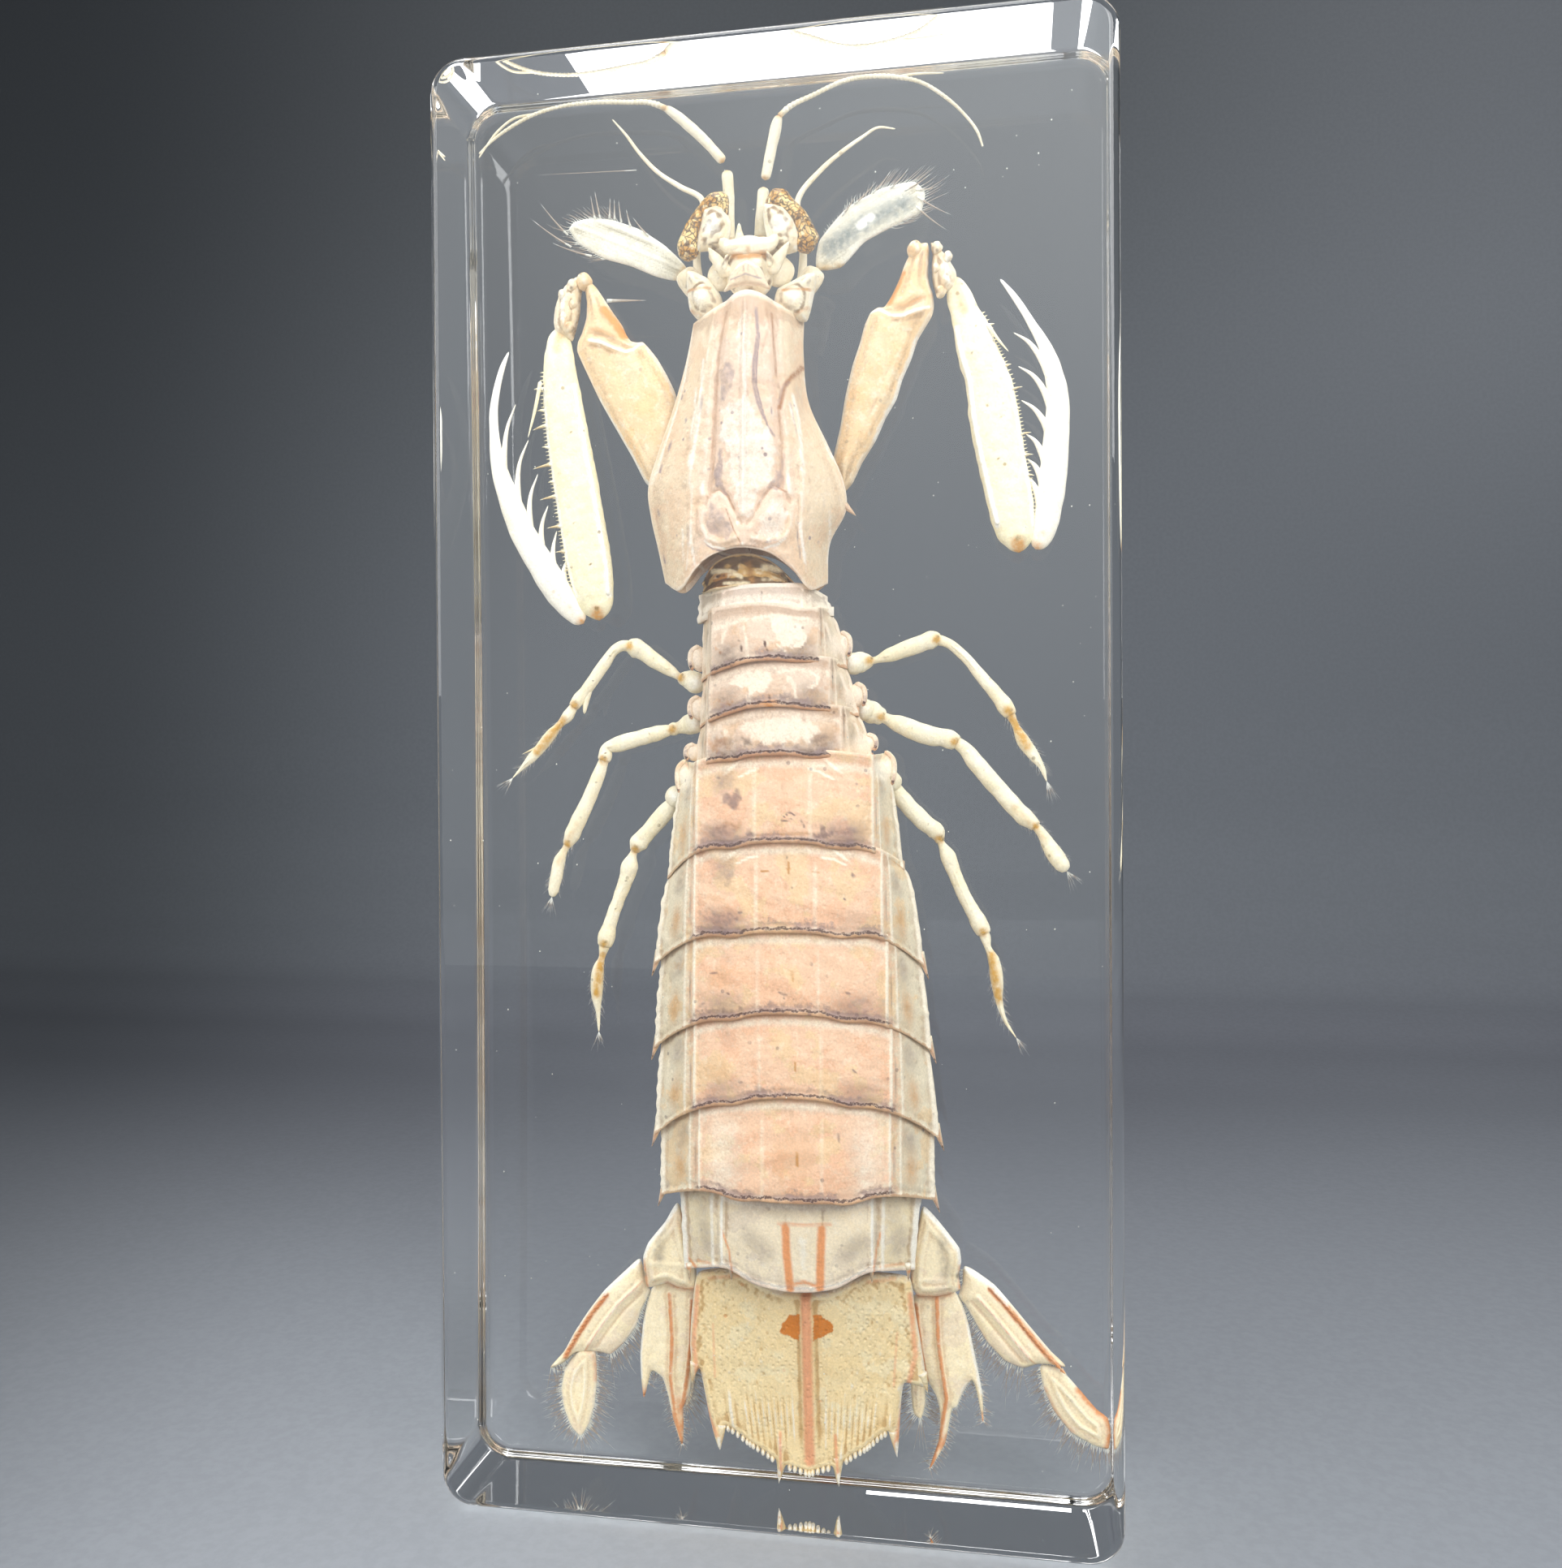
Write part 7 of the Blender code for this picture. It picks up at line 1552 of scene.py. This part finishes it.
def make_claw_hand(side, away):
    route = PROPODUS[side]
    inner = route[3:-2]
    hand = Shape()
    add_limb(hand, route, depth=0.56, sides=44, relief=0.05)
    band = [(x - away * width * 0.4, z) for x, z, width in inner]
    add_limb(hand, [(x, z, 0.6) for x, z in band], y=LIMB_PLANE - 0.9, sides=12)
    for foot_x, foot_z, tip_x, tip_z in COMB[side]:
        add_spike(hand, (foot_x, 4.6, foot_z), (tip_x, 4.5, tip_z), 0.48, rise=0.06, sides=9)
    spots, _ = resample(route, 0.42)
    for (x, z, width), way in list(zip(spots, np.gradient(spots[:, :2], axis=0)))[12:-8]:
        way = unit(way)
        out = np.array((way[1], -way[0])) * (1 if way[1] * away > 0 else -1)
        foot, tip = (np.array((x, z)) + out * reach for reach in (width * 0.47, width * 0.5 + 0.35))
        add_spike(hand, (foot[0], 4.8, foot[1]), (tip[0], 4.7, tip[1]), 0.22, sides=6, rings=4)
    add_limb(hand, MOVABLE_SPINES[side], y=4.2, depth=0.9, sides=10)
    x, z, _ = route[-2]
    strokes = [(PALE, band, 0.55, 0.95), (OCHRE, ((x, z), route[-1][:2]), 1.5, 0.8),
               (DUSK, ((x, z + 0.5),), 0.5, 0.9),
               (PALE, [(x + away * width * 0.46, z) for x, z, width in inner], 0.4, 0.8),
               (OCHRE, (route[0][:2], route[2][:2]), 1.2, 0.5)]
    strokes += [(DUSK, ((x + away * drift, z),), 0.24, 0.9)
                for (x, z, _), drift in zip(inner, (0.5, -0.7, 0.2, 0.8, -0.4))]
    hand.make(f"claw_propodus_{side}_shell", CLAW_SHELL, f"claw_propodus_{side}", "claw", strokes)


def make_claw_finger(side):
    route = [row[:2] for row in DACTYL[side]]
    finger = Shape()
    add_limb(finger, DACTYL[side], depth=0.55, sides=30)
    for tooth in DACTYL_TEETH[side]:
        widths = np.linspace(1.0, 0.0, len(tooth)) ** 0.9 * 0.9 + 0.1
        add_limb(finger, [(*knot, width) for knot, width in zip(tooth, widths)], y=4.9, sides=11)
    finger.make(f"claw_dactyl_{side}_shell", FINGER_SHELL, f"claw_dactyl_{side}", "claw", (
        (OCHRE, route[:1], 1.6, 0.75), (PALE, route[3:], 1.0, 0.8), (OCHRE, route[1:2], 0.9, 0.35)))


def make_claws():
    for side, away in SIDES:
        make_claw_arm(side, away)
        make_claw_wrist(side, away)
        make_claw_hand(side, away)
        make_claw_finger(side)


# The walking legs

def make_leg(name, spots, along):
    def spot_at(share):
        return spots[int(share * (len(spots) - 1))]

    leg = Shape()
    joints = LEG_JOINTS[name]
    strokes = []
    for low, high in zip((0.0, *joints), (*joints, 1.0)):
        inside = (along >= low - 0.012) & (along <= high + 0.012)
        part = spots[inside]
        share = (along[inside] - low) / (high - low)
        part[:, 2] *= 1.0 - 0.22 * bump(share, 0.2) + 0.2 * bump(share - 0.9, 0.12)
        add_limb(leg, part, sides=18, relief=0.035, step=0.18, blunt=0.4)
        if len(part) > 26:
            ridge_y = LIMB_PLANE - 0.32 * part[:, 2].mean()
            add_limb(leg, part[8:-8] * (1.0, 1.0, 0.28), y=ridge_y, depth=0.6, sides=8)
    for joint in joints:
        x, z, width = spot_at(joint)
        add_bulb(leg, (x, LIMB_PLANE, z), (width * 0.4, width * 0.36, width * 0.4), columns=14, rings=9)
        strokes += [(OCHRE, ((x, z),), 1.0, 0.9), (DUSK, ((x + 0.2, z + 0.3),), 0.35, 0.7)]
    x, z, _ = spots[0]
    away = -1 if "left" in name else 1
    add_bulb(leg, (x + away * 0.2, LIMB_PLANE - 0.3, z), (1.25, 1.3, 1.25))
    tinge = 0.4 if "leg_2" in name else 0.8
    strokes += [(PALE, ((x, z),), 1.6, 0.7), (OCHRE, (spot_at(0.7)[:2], spot_at(0.86)[:2]), 1.0, tinge)]
    strokes += [(DUSK, (spot_at(share)[:2] + (0.2, 0.15),), 0.22, 0.8) for share in (0.2, 0.4, 0.52)]
    if name == "leg_1_left":
        add_limb(leg, LEG_TWIG, depth=0.9, sides=10)
        add_spike(leg, (-28.6, 5.0, 84.4), (-30.5, 5.0, 83.6), 0.4)
    leg.make(f"{name}_shell", LEG_SHELL, name, "leg", strokes)


def make_leg_hairs(name, spots):
    """Hairs along the last part of a leg and a tuft at its tip."""
    hairs = Shape()
    last = len(spots) - 1
    for _ in range(60):
        index = int(random.uniform(0.72, 0.97) * last)
        spot, width = spots[index, :2], spots[index, 2]
        way = unit(spots[min(index + 3, last), :2] - spot)
        out = np.array((-way[1], way[0])) * random.choice((-1.0, 1.0))
        foot = spot + out * width * 0.4
        tip = foot + (way * 0.8 + out * 0.5) * random.uniform(0.5, 1.3)
        add_spike(hairs, (foot[0], LIMB_PLANE + random.uniform(-0.3, 0.3), foot[1]),
                  (inside_block(tip[0], 0.7), LIMB_PLANE + random.uniform(-0.6, 0.6), tip[1]), 0.06,
                  sides=3, rings=3)
    end = spots[-1, :2]
    run = unit(end - spots[-12, :2])
    for _ in range(14):
        fan = random.uniform(-0.45, 0.45)
        turn = np.array(((math.cos(fan), -math.sin(fan)), (math.sin(fan), math.cos(fan))))
        tip = end + turn @ run * random.uniform(0.8, 2.6)
        add_spike(hairs, (end[0], LIMB_PLANE, end[1]), (inside_block(tip[0], 0.7), LIMB_PLANE, tip[1]), 0.07,
                  sides=3, rings=3)
    hairs.make(f"{name}_hairs", BRISTLE, slot="leg")


def make_legs():
    for name, route in LEGS.items():
        spots, at = resample(route, STEP)
        make_leg(name, spots, at / at[-1])
        make_leg_hairs(name, spots)


# The tail fan

def make_telson():
    def lift(x, z):
        share = np.clip((z - 2.5) / 22.0, 0.0, 1.0)
        return -1.6 * share * np.clip(1.0 - ((x - 3.1) / 12.0) ** 2, 0.0, 1.0)

    def relief(x, z, inward):
        middle = 3.15 + (24.6 - z) * 0.018
        side = np.abs(x - middle)
        keel = 0.95 * bump(x - middle, 1.15) * ease((z - 3.5) / 5.0)
        spread = 0.7 + 0.35 * z / 24.0
        ribs = sum(bump(side - offset * spread, 0.3) for offset in np.arange(2.2, 9.0, 0.8))
        teeth = bump(side - 3.4, 0.5) * ease((9.0 - z) / 4.0)
        teeth = teeth + bump(side - 9.6 + (16 - z) * 0.1, 0.6) * ease((14.0 - z) / 5.0)
        points = upright(x, z)
        pits = waves(points, 0.9, 11) * 0.06 * ease((side - 2.6) / 2.0) * ease((z - 11.0) / 2.0)
        ribs = 0.2 * ribs * bump(z - 9.0, 5.5)
        rim = 0.2 * bump(inward - 0.45, 0.4)
        return keel + ribs + 0.35 * teeth + rim + pits + waves(points, 2.4, 12) * 0.06

    shape = Shape()
    add_blade(shape, TELSON_OUTLINE, 3.1, 1.5, pillow=1.0, step=0.2, relief=relief, lean=lift)
    teeth = [(x, z) for x, z in smooth_outline(TELSON_OUTLINE, 0.52)
             if (-6.1 < x < -0.7 or 0.9 < x < 5.6 or 7.2 < x < 12.0) and z < 8.8]
    for x, z in teeth:
        add_bulb(shape, (x, 2.7, z - 0.12), (0.25, 0.55, 0.44), columns=10, rings=7)
    spines = rows("-6.7 7.6 -7 4.6  0.2 4.8 -0.2 1.4  6.4 5 6.6 1.6  12.7 8.4 13.1 5.4  "
                  "-9.8 14.4 -10.2 11.9  15.9 15 16.5 12.8", 4)
    for foot_x, foot_z, tip_x, tip_z in spines:
        add_spike(shape, (foot_x, 2.6, foot_z), (tip_x, 3.0, tip_z), 1.1, sides=11, rings=8)
    strokes = [
        (OCHRE, "3.15 24.4 3.3 14 3.4 4.4", 1.0, 1.2),
        (DUSK, "2.5 21.2 1.2 20.8 0.3 19.8 0.1 18.8 1.4 18.2 2.5 18 2.5 21.2", 0.12, 1.0),
        (DUSK, "3.9 21.3 4.9 21.1 6.2 20.1 6.2 19.3 4.9 18.5 3.9 18.2 3.9 21.3", 0.12, 1.0),
        (OCHRE, "-9.4 23 -9.9 16.5 -9.2 11 -7.3 6.4", 0.6, 0.75),
        (OCHRE, "14.6 23.6 15.2 17 14 12 13 7", 0.6, 0.75), (OCHRE, "0.1 7.4 0.1 3", 0.35, 0.8),
        (OCHRE, "6.3 7.6 6.5 3.2", 0.35, 0.8), (PALE, "-0.2 2.8 -0.2 1.4", 0.4, 0.9),
        (PALE, "6.6 3 6.6 1.6", 0.4, 0.9), (PALE, "-7 6 -7 4.4", 0.4, 0.9),
        (PALE, "13.1 7 13.1 5.2", 0.4, 0.9),
        (OCHRE, "-8 24.2 -4 24.9", 0.5, 0.5), (OCHRE, "10 25 13 25.4", 0.5, 0.5),
        (OCHRE, "-7.6 19 -7.4 13", 0.3, 0.55), (OCHRE, "13.2 19.4 12.8 13.4", 0.3, 0.55)]
    strokes += [(PALE, ((x, z - 0.3),), 0.42, 1.2) for x, z in teeth]
    shape.make("telson_shell", TAIL_SHELL, "telson", "tail", strokes)


def make_uropod_base(side, away):
    stem, plate = UROPOD_STEMS[side], UROPOD_BASES[side]

    def stem_relief(x, z, inward):
        return 0.25 * bump(inward - 1.0, 0.5) + 0.1 * bump(z - 25.2, 0.5)

    def ribs(x, z, inward):
        keels = sum(0.4 * near_line(x, z, keel, 0.45) for keel in UROPOD_KEELS[side])
        return keels + waves(upright(x, z), 1.6, 41) * 0.05

    base = Shape()
    add_blade(base, stem, 3.9, 2.0, pillow=1.6, step=0.2, relief=stem_relief)
    add_blade(base, plate, 5.0, 1.3, pillow=1.4, step=0.2, relief=ribs)
    # Painted shade runs down the hollow inside the stem's raised rim, along this x.
    shaded_hollow_x = stem[2][0] - away * 1.8
    strokes = [(OCHRE, keel, 0.42, 1.0) for keel in UROPOD_KEELS[side]]
    strokes += [(OCHRE, (row,), 2.2, 0.8) for row in plate if row[1] < 9.6]
    strokes += [(DUSK, (stem[4],), 0.7, 0.8), (OCHRE, (stem[3], stem[5]), 0.6, 0.7),
                (OCHRE, stem[6:9], 0.9, 0.6), (PALE, stem[:4], 0.7, 0.9),
                (DUSK, ((shaded_hollow_x, 30.0), (shaded_hollow_x + away * 0.4, 25.8)), 1.5, 0.55),
                (PALE, plate[UROPOD_PALE_EDGES[side]], 0.5, 0.8), (OCHRE, stem[-3:], 0.6, 0.5)]
    base.make(f"uropod_base_{side}_shell", FAN_SHELL, f"uropod_base_{side}", "tail", strokes)


def make_paddle(side, away):
    outline = PADDLES[side]
    outer = outline[2:6] if side == "left" else outline[1:6]
    ridge = np.array([(x - away * 1.7, z - 1.4) for x, z in outline[1:6]])

    def relief(x, z, inward):
        return 0.3 * near_line(x, z, ridge, 0.5) - 0.18 * near_line(x, z, ridge - (away * 0.7, 0.6), 0.45)

    paddle = Shape()
    add_blade(paddle, outline, 5.0, 1.7, pillow=1.5, step=0.18, relief=relief)
    for x, z, _ in resample([(*spot, 1.0) for spot in outer], 0.62)[0]:
        add_spike(paddle, (x - away * 0.45, 4.3, z - 0.2), (x + away * 0.1, 4.0, z - 0.62), 0.45, sides=8)
    paddle.make(f"uropod_paddle_{side}_shell", FAN_SHELL, f"uropod_paddle_{side}", "tail", (
        (OCHRE, [(x - away * 0.35, z - 0.4) for x, z in outer], 0.6, 1.0), (PALE, outline[:3], 0.8, 0.8),
        (OCHRE, ridge, 0.22, 0.6), (OCHRE, outline[8:12], 0.4, 0.4), (DUSK, outline[7:9], 0.6, 0.5)))


def make_fan_leaves(side):
    """The paddle's soft tip and the hidden inner lobe."""
    tip, inner = Shape(), Shape()
    outline = PADDLE_TIPS[side]
    add_blade(tip, outline, 5.0, 1.2, pillow=1.4, step=0.18, relief=edge_fold(0.2, 1.3, 0.35))
    strokes = [(OCHRE, outline[-3:], 0.8, 0.5), (DUSK, outline[:2], 0.6, 0.4)]
    if side == "right":
        strokes.append((OCHRE, outline[2:7], 0.9, 0.9))
    tip.make(f"uropod_paddle_tip_{side}_blade", FAN_SHELL, f"uropod_paddle_tip_{side}", "tail", strokes)
    outline = INNER_LOBES[side]
    add_blade(inner, outline, 6.2, 0.6, step=0.2, relief=edge_fold(0.12, 0.9, 0.4))
    inner.make(f"uropod_inner_{side}_blade", FAN_SHELL, f"uropod_inner_{side}", "tail",
               [(OCHRE, outline[1:4], 0.5, 0.5)])


def add_setae(shape, outline, y, length, keep, gap=0.12):
    """A fringe of fine hairs round a blade's edge, where keep says so of x, z and the way out."""
    rim = smooth_outline(outline, gap)
    after, before = np.roll(rim, -1, axis=0), np.roll(rim, 1, axis=0)
    sense = 1.0 if np.sum(rim[:, 0] * after[:, 1] - rim[:, 1] * after[:, 0]) < 0 else -1.0
    for knot, way in zip(rim, after - before):
        out = unit(np.array((-way[1], way[0]))) * sense
        if keep(*knot, out):
            tip = knot + (out + (0.0, -0.5) + random.normal(0.0, 0.3, 2)) * length * random.uniform(0.55, 1.1)
            foot = knot - out * 0.1
            end = (inside_block(tip[0], 0.6), y + random.uniform(-0.25, 0.45), max(tip[1], 0.8))
            add_spike(shape, (foot[0], y, foot[1]), end, 0.11, rise=random.uniform(-0.08, 0.08),
                      sides=3, rings=4)


def make_setae(side, away):
    setae = Shape()
    add_setae(setae, PADDLE_TIPS[side], 5.0, 1.9, lambda x, z, out: out[1] < 0.5)
    add_setae(setae, INNER_LOBES[side], 6.2, 2.4, lambda x, z, out: z < 14.0)
    add_setae(setae, PADDLES[side], 5.1, 2.2, lambda x, z, out: out[0] * away < 0.1 and out[1] < 0.2)
    add_setae(setae, UROPOD_BASES[side][6:], 5.2, 0.9, lambda x, z, out: z < 19.0 and out[1] < 0.4, gap=0.2)
    setae.make(f"uropod_setae_{side}", BRISTLE, slot="tail")


def make_tail_fan():
    for side, away in SIDES:
        make_uropod_base(side, away)
        make_paddle(side, away)
        make_fan_leaves(side)
        make_setae(side, away)


# The block

def resin_finish():
    """Clear resin, which lets the lamps' light through to the specimen as thin grey glass does."""
    material, nodes = new_material("clear_resin")
    shader = nodes.add("ShaderNodeBsdfPrincipled", {
        "Base Color": (0.985, 0.992, 0.99, 1.0), "Roughness": 0.0, "IOR": 1.52, "Transmission Weight": 1.0,
        "Normal": nodes.relief(nodes.noise(55.0, 2.0), 0.00002, 0.03)})
    passing = nodes.add("ShaderNodeBsdfTransparent", {"Color": (0.86, 0.88, 0.88, 1.0)})
    in_shadow = nodes.add("ShaderNodeLightPath").outputs["Is Shadow Ray"]
    nodes.surface(nodes.add("ShaderNodeMixShader", {
        0: in_shadow, 1: shader.outputs[0], 2: passing.outputs[0]}))
    return material


def make_resin():
    """One clear block in place of its two halves, so that no seam crosses it."""
    shape = bmesh.new()
    bmesh.ops.create_cube(shape, size=1.0)
    shape.transform(Matrix.Translation(place(0.0, 0.0, BLOCK_HEIGHT / 2))
                    @ Matrix.Diagonal((BLOCK_WIDTH * MM, BLOCK_DEPTH * MM, BLOCK_HEIGHT * MM, 1.0)))
    corners = [edge for edge in shape.edges
               if abs(edge.verts[0].co.y - edge.verts[1].co.y) > BLOCK_DEPTH * MM / 2]
    bmesh.ops.bevel(shape, geom=corners, offset=CORNER_RADIUS * MM, segments=10, profile=0.5, affect="EDGES")
    rims = [edge for edge in shape.edges if abs(edge.verts[0].co.y - edge.verts[1].co.y) < 1e-7
            and len(edge.link_faces) == 2 and edge.calc_face_angle(0.0) > 1.2]
    bmesh.ops.bevel(shape, geom=rims, offset=EDGE_RADIUS * MM, segments=6, profile=0.5, affect="EDGES")
    mesh = bpy.data.meshes.new("resin_block")
    shape.to_mesh(mesh)
    shape.free()
    piece = add_object("resin_block", mesh, resin_finish())
    piece.modifiers.new("face_normals", "WEIGHTED_NORMAL")
    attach(piece, "root")
    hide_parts("block_front", "block_back")


def make_specks():
    """Fine pale dust and two thin pale streaks caught in the resin."""
    specks = Shape()
    for _ in range(190):
        size = random.uniform(0.035, 0.085)
        spot = (random.uniform(-35.0, 35.0), random.uniform(-9.5, 9.5), random.uniform(3.0, 157.0))
        add_bulb(specks, spot, (size, size, size * 1.2), columns=5, rings=4)
    add_spike(specks, (-18.9, 1.0, 134.75), (-14.4, 1.0, 134.5), 0.42, sides=8, rings=8)
    add_spike(specks, (-15.4, 1.4, 149.2), (-27.0, 1.4, 149.6), 0.1, rings=8, sides=6)
    specks.make("resin_specks", BRISTLE)


# The studio

SWEEP = rows("-900 -0.5  150 -0.5  200 0  240 4  268 14  286 32  296 60  300 100  300 900")
SWEEP_WIDTH = 2400.0
CARD_Y = -400.0
# Each lamp: its name, where it hangs, what it points at, its width and height, its watts. The thin
# ones behind the block are seen only in its top and bottom walls.
LAMPS = (
    ("key_softbox", (260, -330, 330), (0, 0, 85), (260, 260), 1.35),
    ("fill_softbox", (-420, -260, 260), (0, 0, 80), (300, 300), 1.0),
    ("overhead_softbox", (-40, -40, 460), (0, 0, 80), (300, 200), 0.9),
    ("low_front_softbox", (-60, -560, 30), (0, 0, 60), (500, 400), 1.2),
    ("top_wall_strip", (-12, 104, 101), (-12, 108, 141), (92, 40), 0.03),
    ("bottom_wall_strip", (16, 117.6, 60), (16, 116, 20), (42, 0.8), 0.00045),
    ("bottom_wall_glint", (17, 114.6, 60), (17, 113, 20), (39, 1.0), 0.0005),
    ("bottom_wall_edge", (-20, 119.6, 60), (-20, 118, 20), (60, 0.6), 0.0004),
)
UNMIRRORED = "low_front_softbox"  # this lamp lights the shell but is seen in no gloss and through no resin

CAMERA_PLACE = (25.72, -146.36, 81.5)
CAMERA_YAW, CAMERA_PITCH, CAMERA_ROLL = (math.radians(angle) for angle in (9.934, -0.588, -0.359))
CAMERA_LENS = 30.0
CAMERA_SENSOR = 36.0


def paper_finish():
    """Matt studio paper with painted light and shade: paler to the front and the right, darker at the left
    and up the wall, with a trace of grain.
    """
    material, nodes = new_material("studio_paper")
    across, away, up = nodes.parts(nodes.place())
    # Painted light falloff: the floor dims towards the back, and the wall dims upwards.
    floor = nodes.blend(nodes.span(away, -0.12, 0.2), (0.44, 0.47, 0.51, 1.0), (0.17, 0.18, 0.205, 1.0))
    wall = nodes.blend(nodes.span(up, 0.05, 0.34), (0.17, 0.185, 0.205, 1.0), (0.085, 0.092, 0.1, 1.0))
    shade = nodes.blend(nodes.span(away, 0.24, 0.296), floor, wall)
    # Painted shade: the paper darkens towards the left.
    slant = nodes.sum("DIVIDE", across, nodes.plus(nodes.sum("MAXIMUM", away, -0.05), 0.25))
    left = nodes.times(nodes.span(slant, -0.2, -0.6), nodes.span(away, 0.1, 0.27, 0.55, 0.68))
    shade = nodes.blend(left, shade, (0.02, 0.024, 0.028, 1.0))
    # Painted light: the paper turns paler towards the right.
    bright = nodes.sum("MAXIMUM", nodes.span(up, 0.1, 0.24, 0.0, 0.3), nodes.span(away, 0.28, 0.12, 0.0, 0.4))
    shade = nodes.blend(nodes.times(nodes.span(slant, 0.0, 0.4), bright), shade, (0.36, 0.385, 0.42, 1.0))
    fibre = nodes.span(nodes.noise(900.0), 0.3, 0.7, 0.96, 1.03)
    nodes.surface(nodes.add("ShaderNodeBsdfPrincipled", {
        "Base Color": nodes.shaded(shade, fibre), "Roughness": 0.85, "Specular IOR Level": 0.15}))
    return material


def make_stage():
    spots = []
    for (y0, z0), (y1, z1) in zip(SWEEP[:-1], SWEEP[1:]):
        spots.extend((mix(y0, y1, step / 4), mix(z0, z1, step / 4)) for step in range(4))
    spots.append(SWEEP[-1])
    mesh = bpy.data.meshes.new("paper_sweep")
    points = [place(x, y, z) for y, z in spots for x in (-SWEEP_WIDTH / 2, SWEEP_WIDTH / 2)]
    mesh.from_pydata(points, [], grid_faces(len(spots), 2))
    sweep = add_object("paper_sweep", mesh, paper_finish())
    world = bpy.data.worlds.new("studio_air")
    world.use_nodes = True
    back = world.node_tree.nodes["Background"]
    back.inputs["Color"].default_value = (0.5, 0.52, 0.56, 1.0)
    back.inputs["Strength"].default_value = 0.35
    bpy.context.scene.world = world
    bpy.context.scene.view_settings.view_transform = "Standard"


def make_lamps():
    for name, where, toward, (width, height), watts in LAMPS:
        lamp = bpy.data.lights.new(name, "AREA")
        lamp.shape = "RECTANGLE"
        lamp.size, lamp.size_y = width * MM, height * MM
        lamp.energy = watts
        holder = bpy.data.objects.new(name, lamp)
        holder.location = place(*where)
        way = place(*toward) - holder.location
        holder.rotation_euler = way.to_track_quat("-Z", "Y").to_euler()
        holder.visible_camera = False
        holder.visible_glossy = holder.visible_transmission = name != UNMIRRORED
        bpy.context.collection.objects.link(holder)


def card_finish():
    """The glow of the card in front, stronger to the upper right."""
    material, nodes = new_material("haze_card")
    x, _, z = nodes.parts(nodes.place())
    across = nodes.sum("DIVIDE", nodes.minus(x, 0.05), 0.3)
    up = nodes.sum("DIVIDE", nodes.minus(z, 0.38), 0.3)
    away = nodes.sum("SQRT", nodes.plus(nodes.times(across, across), nodes.times(up, up)))
    low = nodes.plus(nodes.span(z, -0.12, 0.1, 0.0, 1.2), nodes.span(z, 0.16, 0.42, 0.0, 1.3))
    strength = nodes.plus(nodes.span(away, 1.1, 0.0, 0.0, 2.4), low)
    nodes.surface(nodes.add("ShaderNodeEmission", {"Color": (0.94, 0.98, 1.0, 1.0), "Strength": strength}))
    return material


def make_haze_card():
    """A large soft card in front, whose sheen lies on the block's face and is seen nowhere else."""
    mesh = bpy.data.meshes.new("haze_card")
    mesh.from_pydata([place(x, CARD_Y, z) for z in (-160, 480) for x in (-420, 260)], [], [(0, 1, 3, 2)])
    card = add_object("haze_card", mesh, card_finish())
    card.visible_camera = card.visible_diffuse = card.visible_transmission = card.visible_shadow = False


def make_camera():
    """The camera, set by the block's corners in the photograph."""
    data = bpy.data.cameras.new("camera")
    data.lens = CAMERA_LENS
    data.sensor_width = CAMERA_SENSOR
    data.clip_start, data.clip_end = 0.005, 10.0
    level = math.cos(CAMERA_PITCH)
    ahead = Vector((-math.sin(CAMERA_YAW) * level, math.cos(CAMERA_YAW) * level, math.sin(CAMERA_PITCH)))
    right = ahead.cross(Vector((0.0, 0.0, 1.0))).normalized()
    up = right.cross(ahead)
    across = math.cos(CAMERA_ROLL) * right + math.sin(CAMERA_ROLL) * up
    over = math.cos(CAMERA_ROLL) * up - math.sin(CAMERA_ROLL) * right
    camera = bpy.data.objects.new("camera", data)
    camera.matrix_world = (Matrix.Translation(place(*CAMERA_PLACE))
                           @ Matrix((across, over, -ahead)).transposed().to_4x4())
    bpy.context.collection.objects.link(camera)
    bpy.context.scene.camera = camera


make_camera()
make_stage()
make_lamps()
make_haze_card()
make_resin()
make_body()
make_shield()
make_neck()
make_rostrum()
make_head()
make_mouthparts()
make_eyes()
make_feelers()
make_claws()
make_legs()
make_telson()
make_tail_fan()
make_specks()
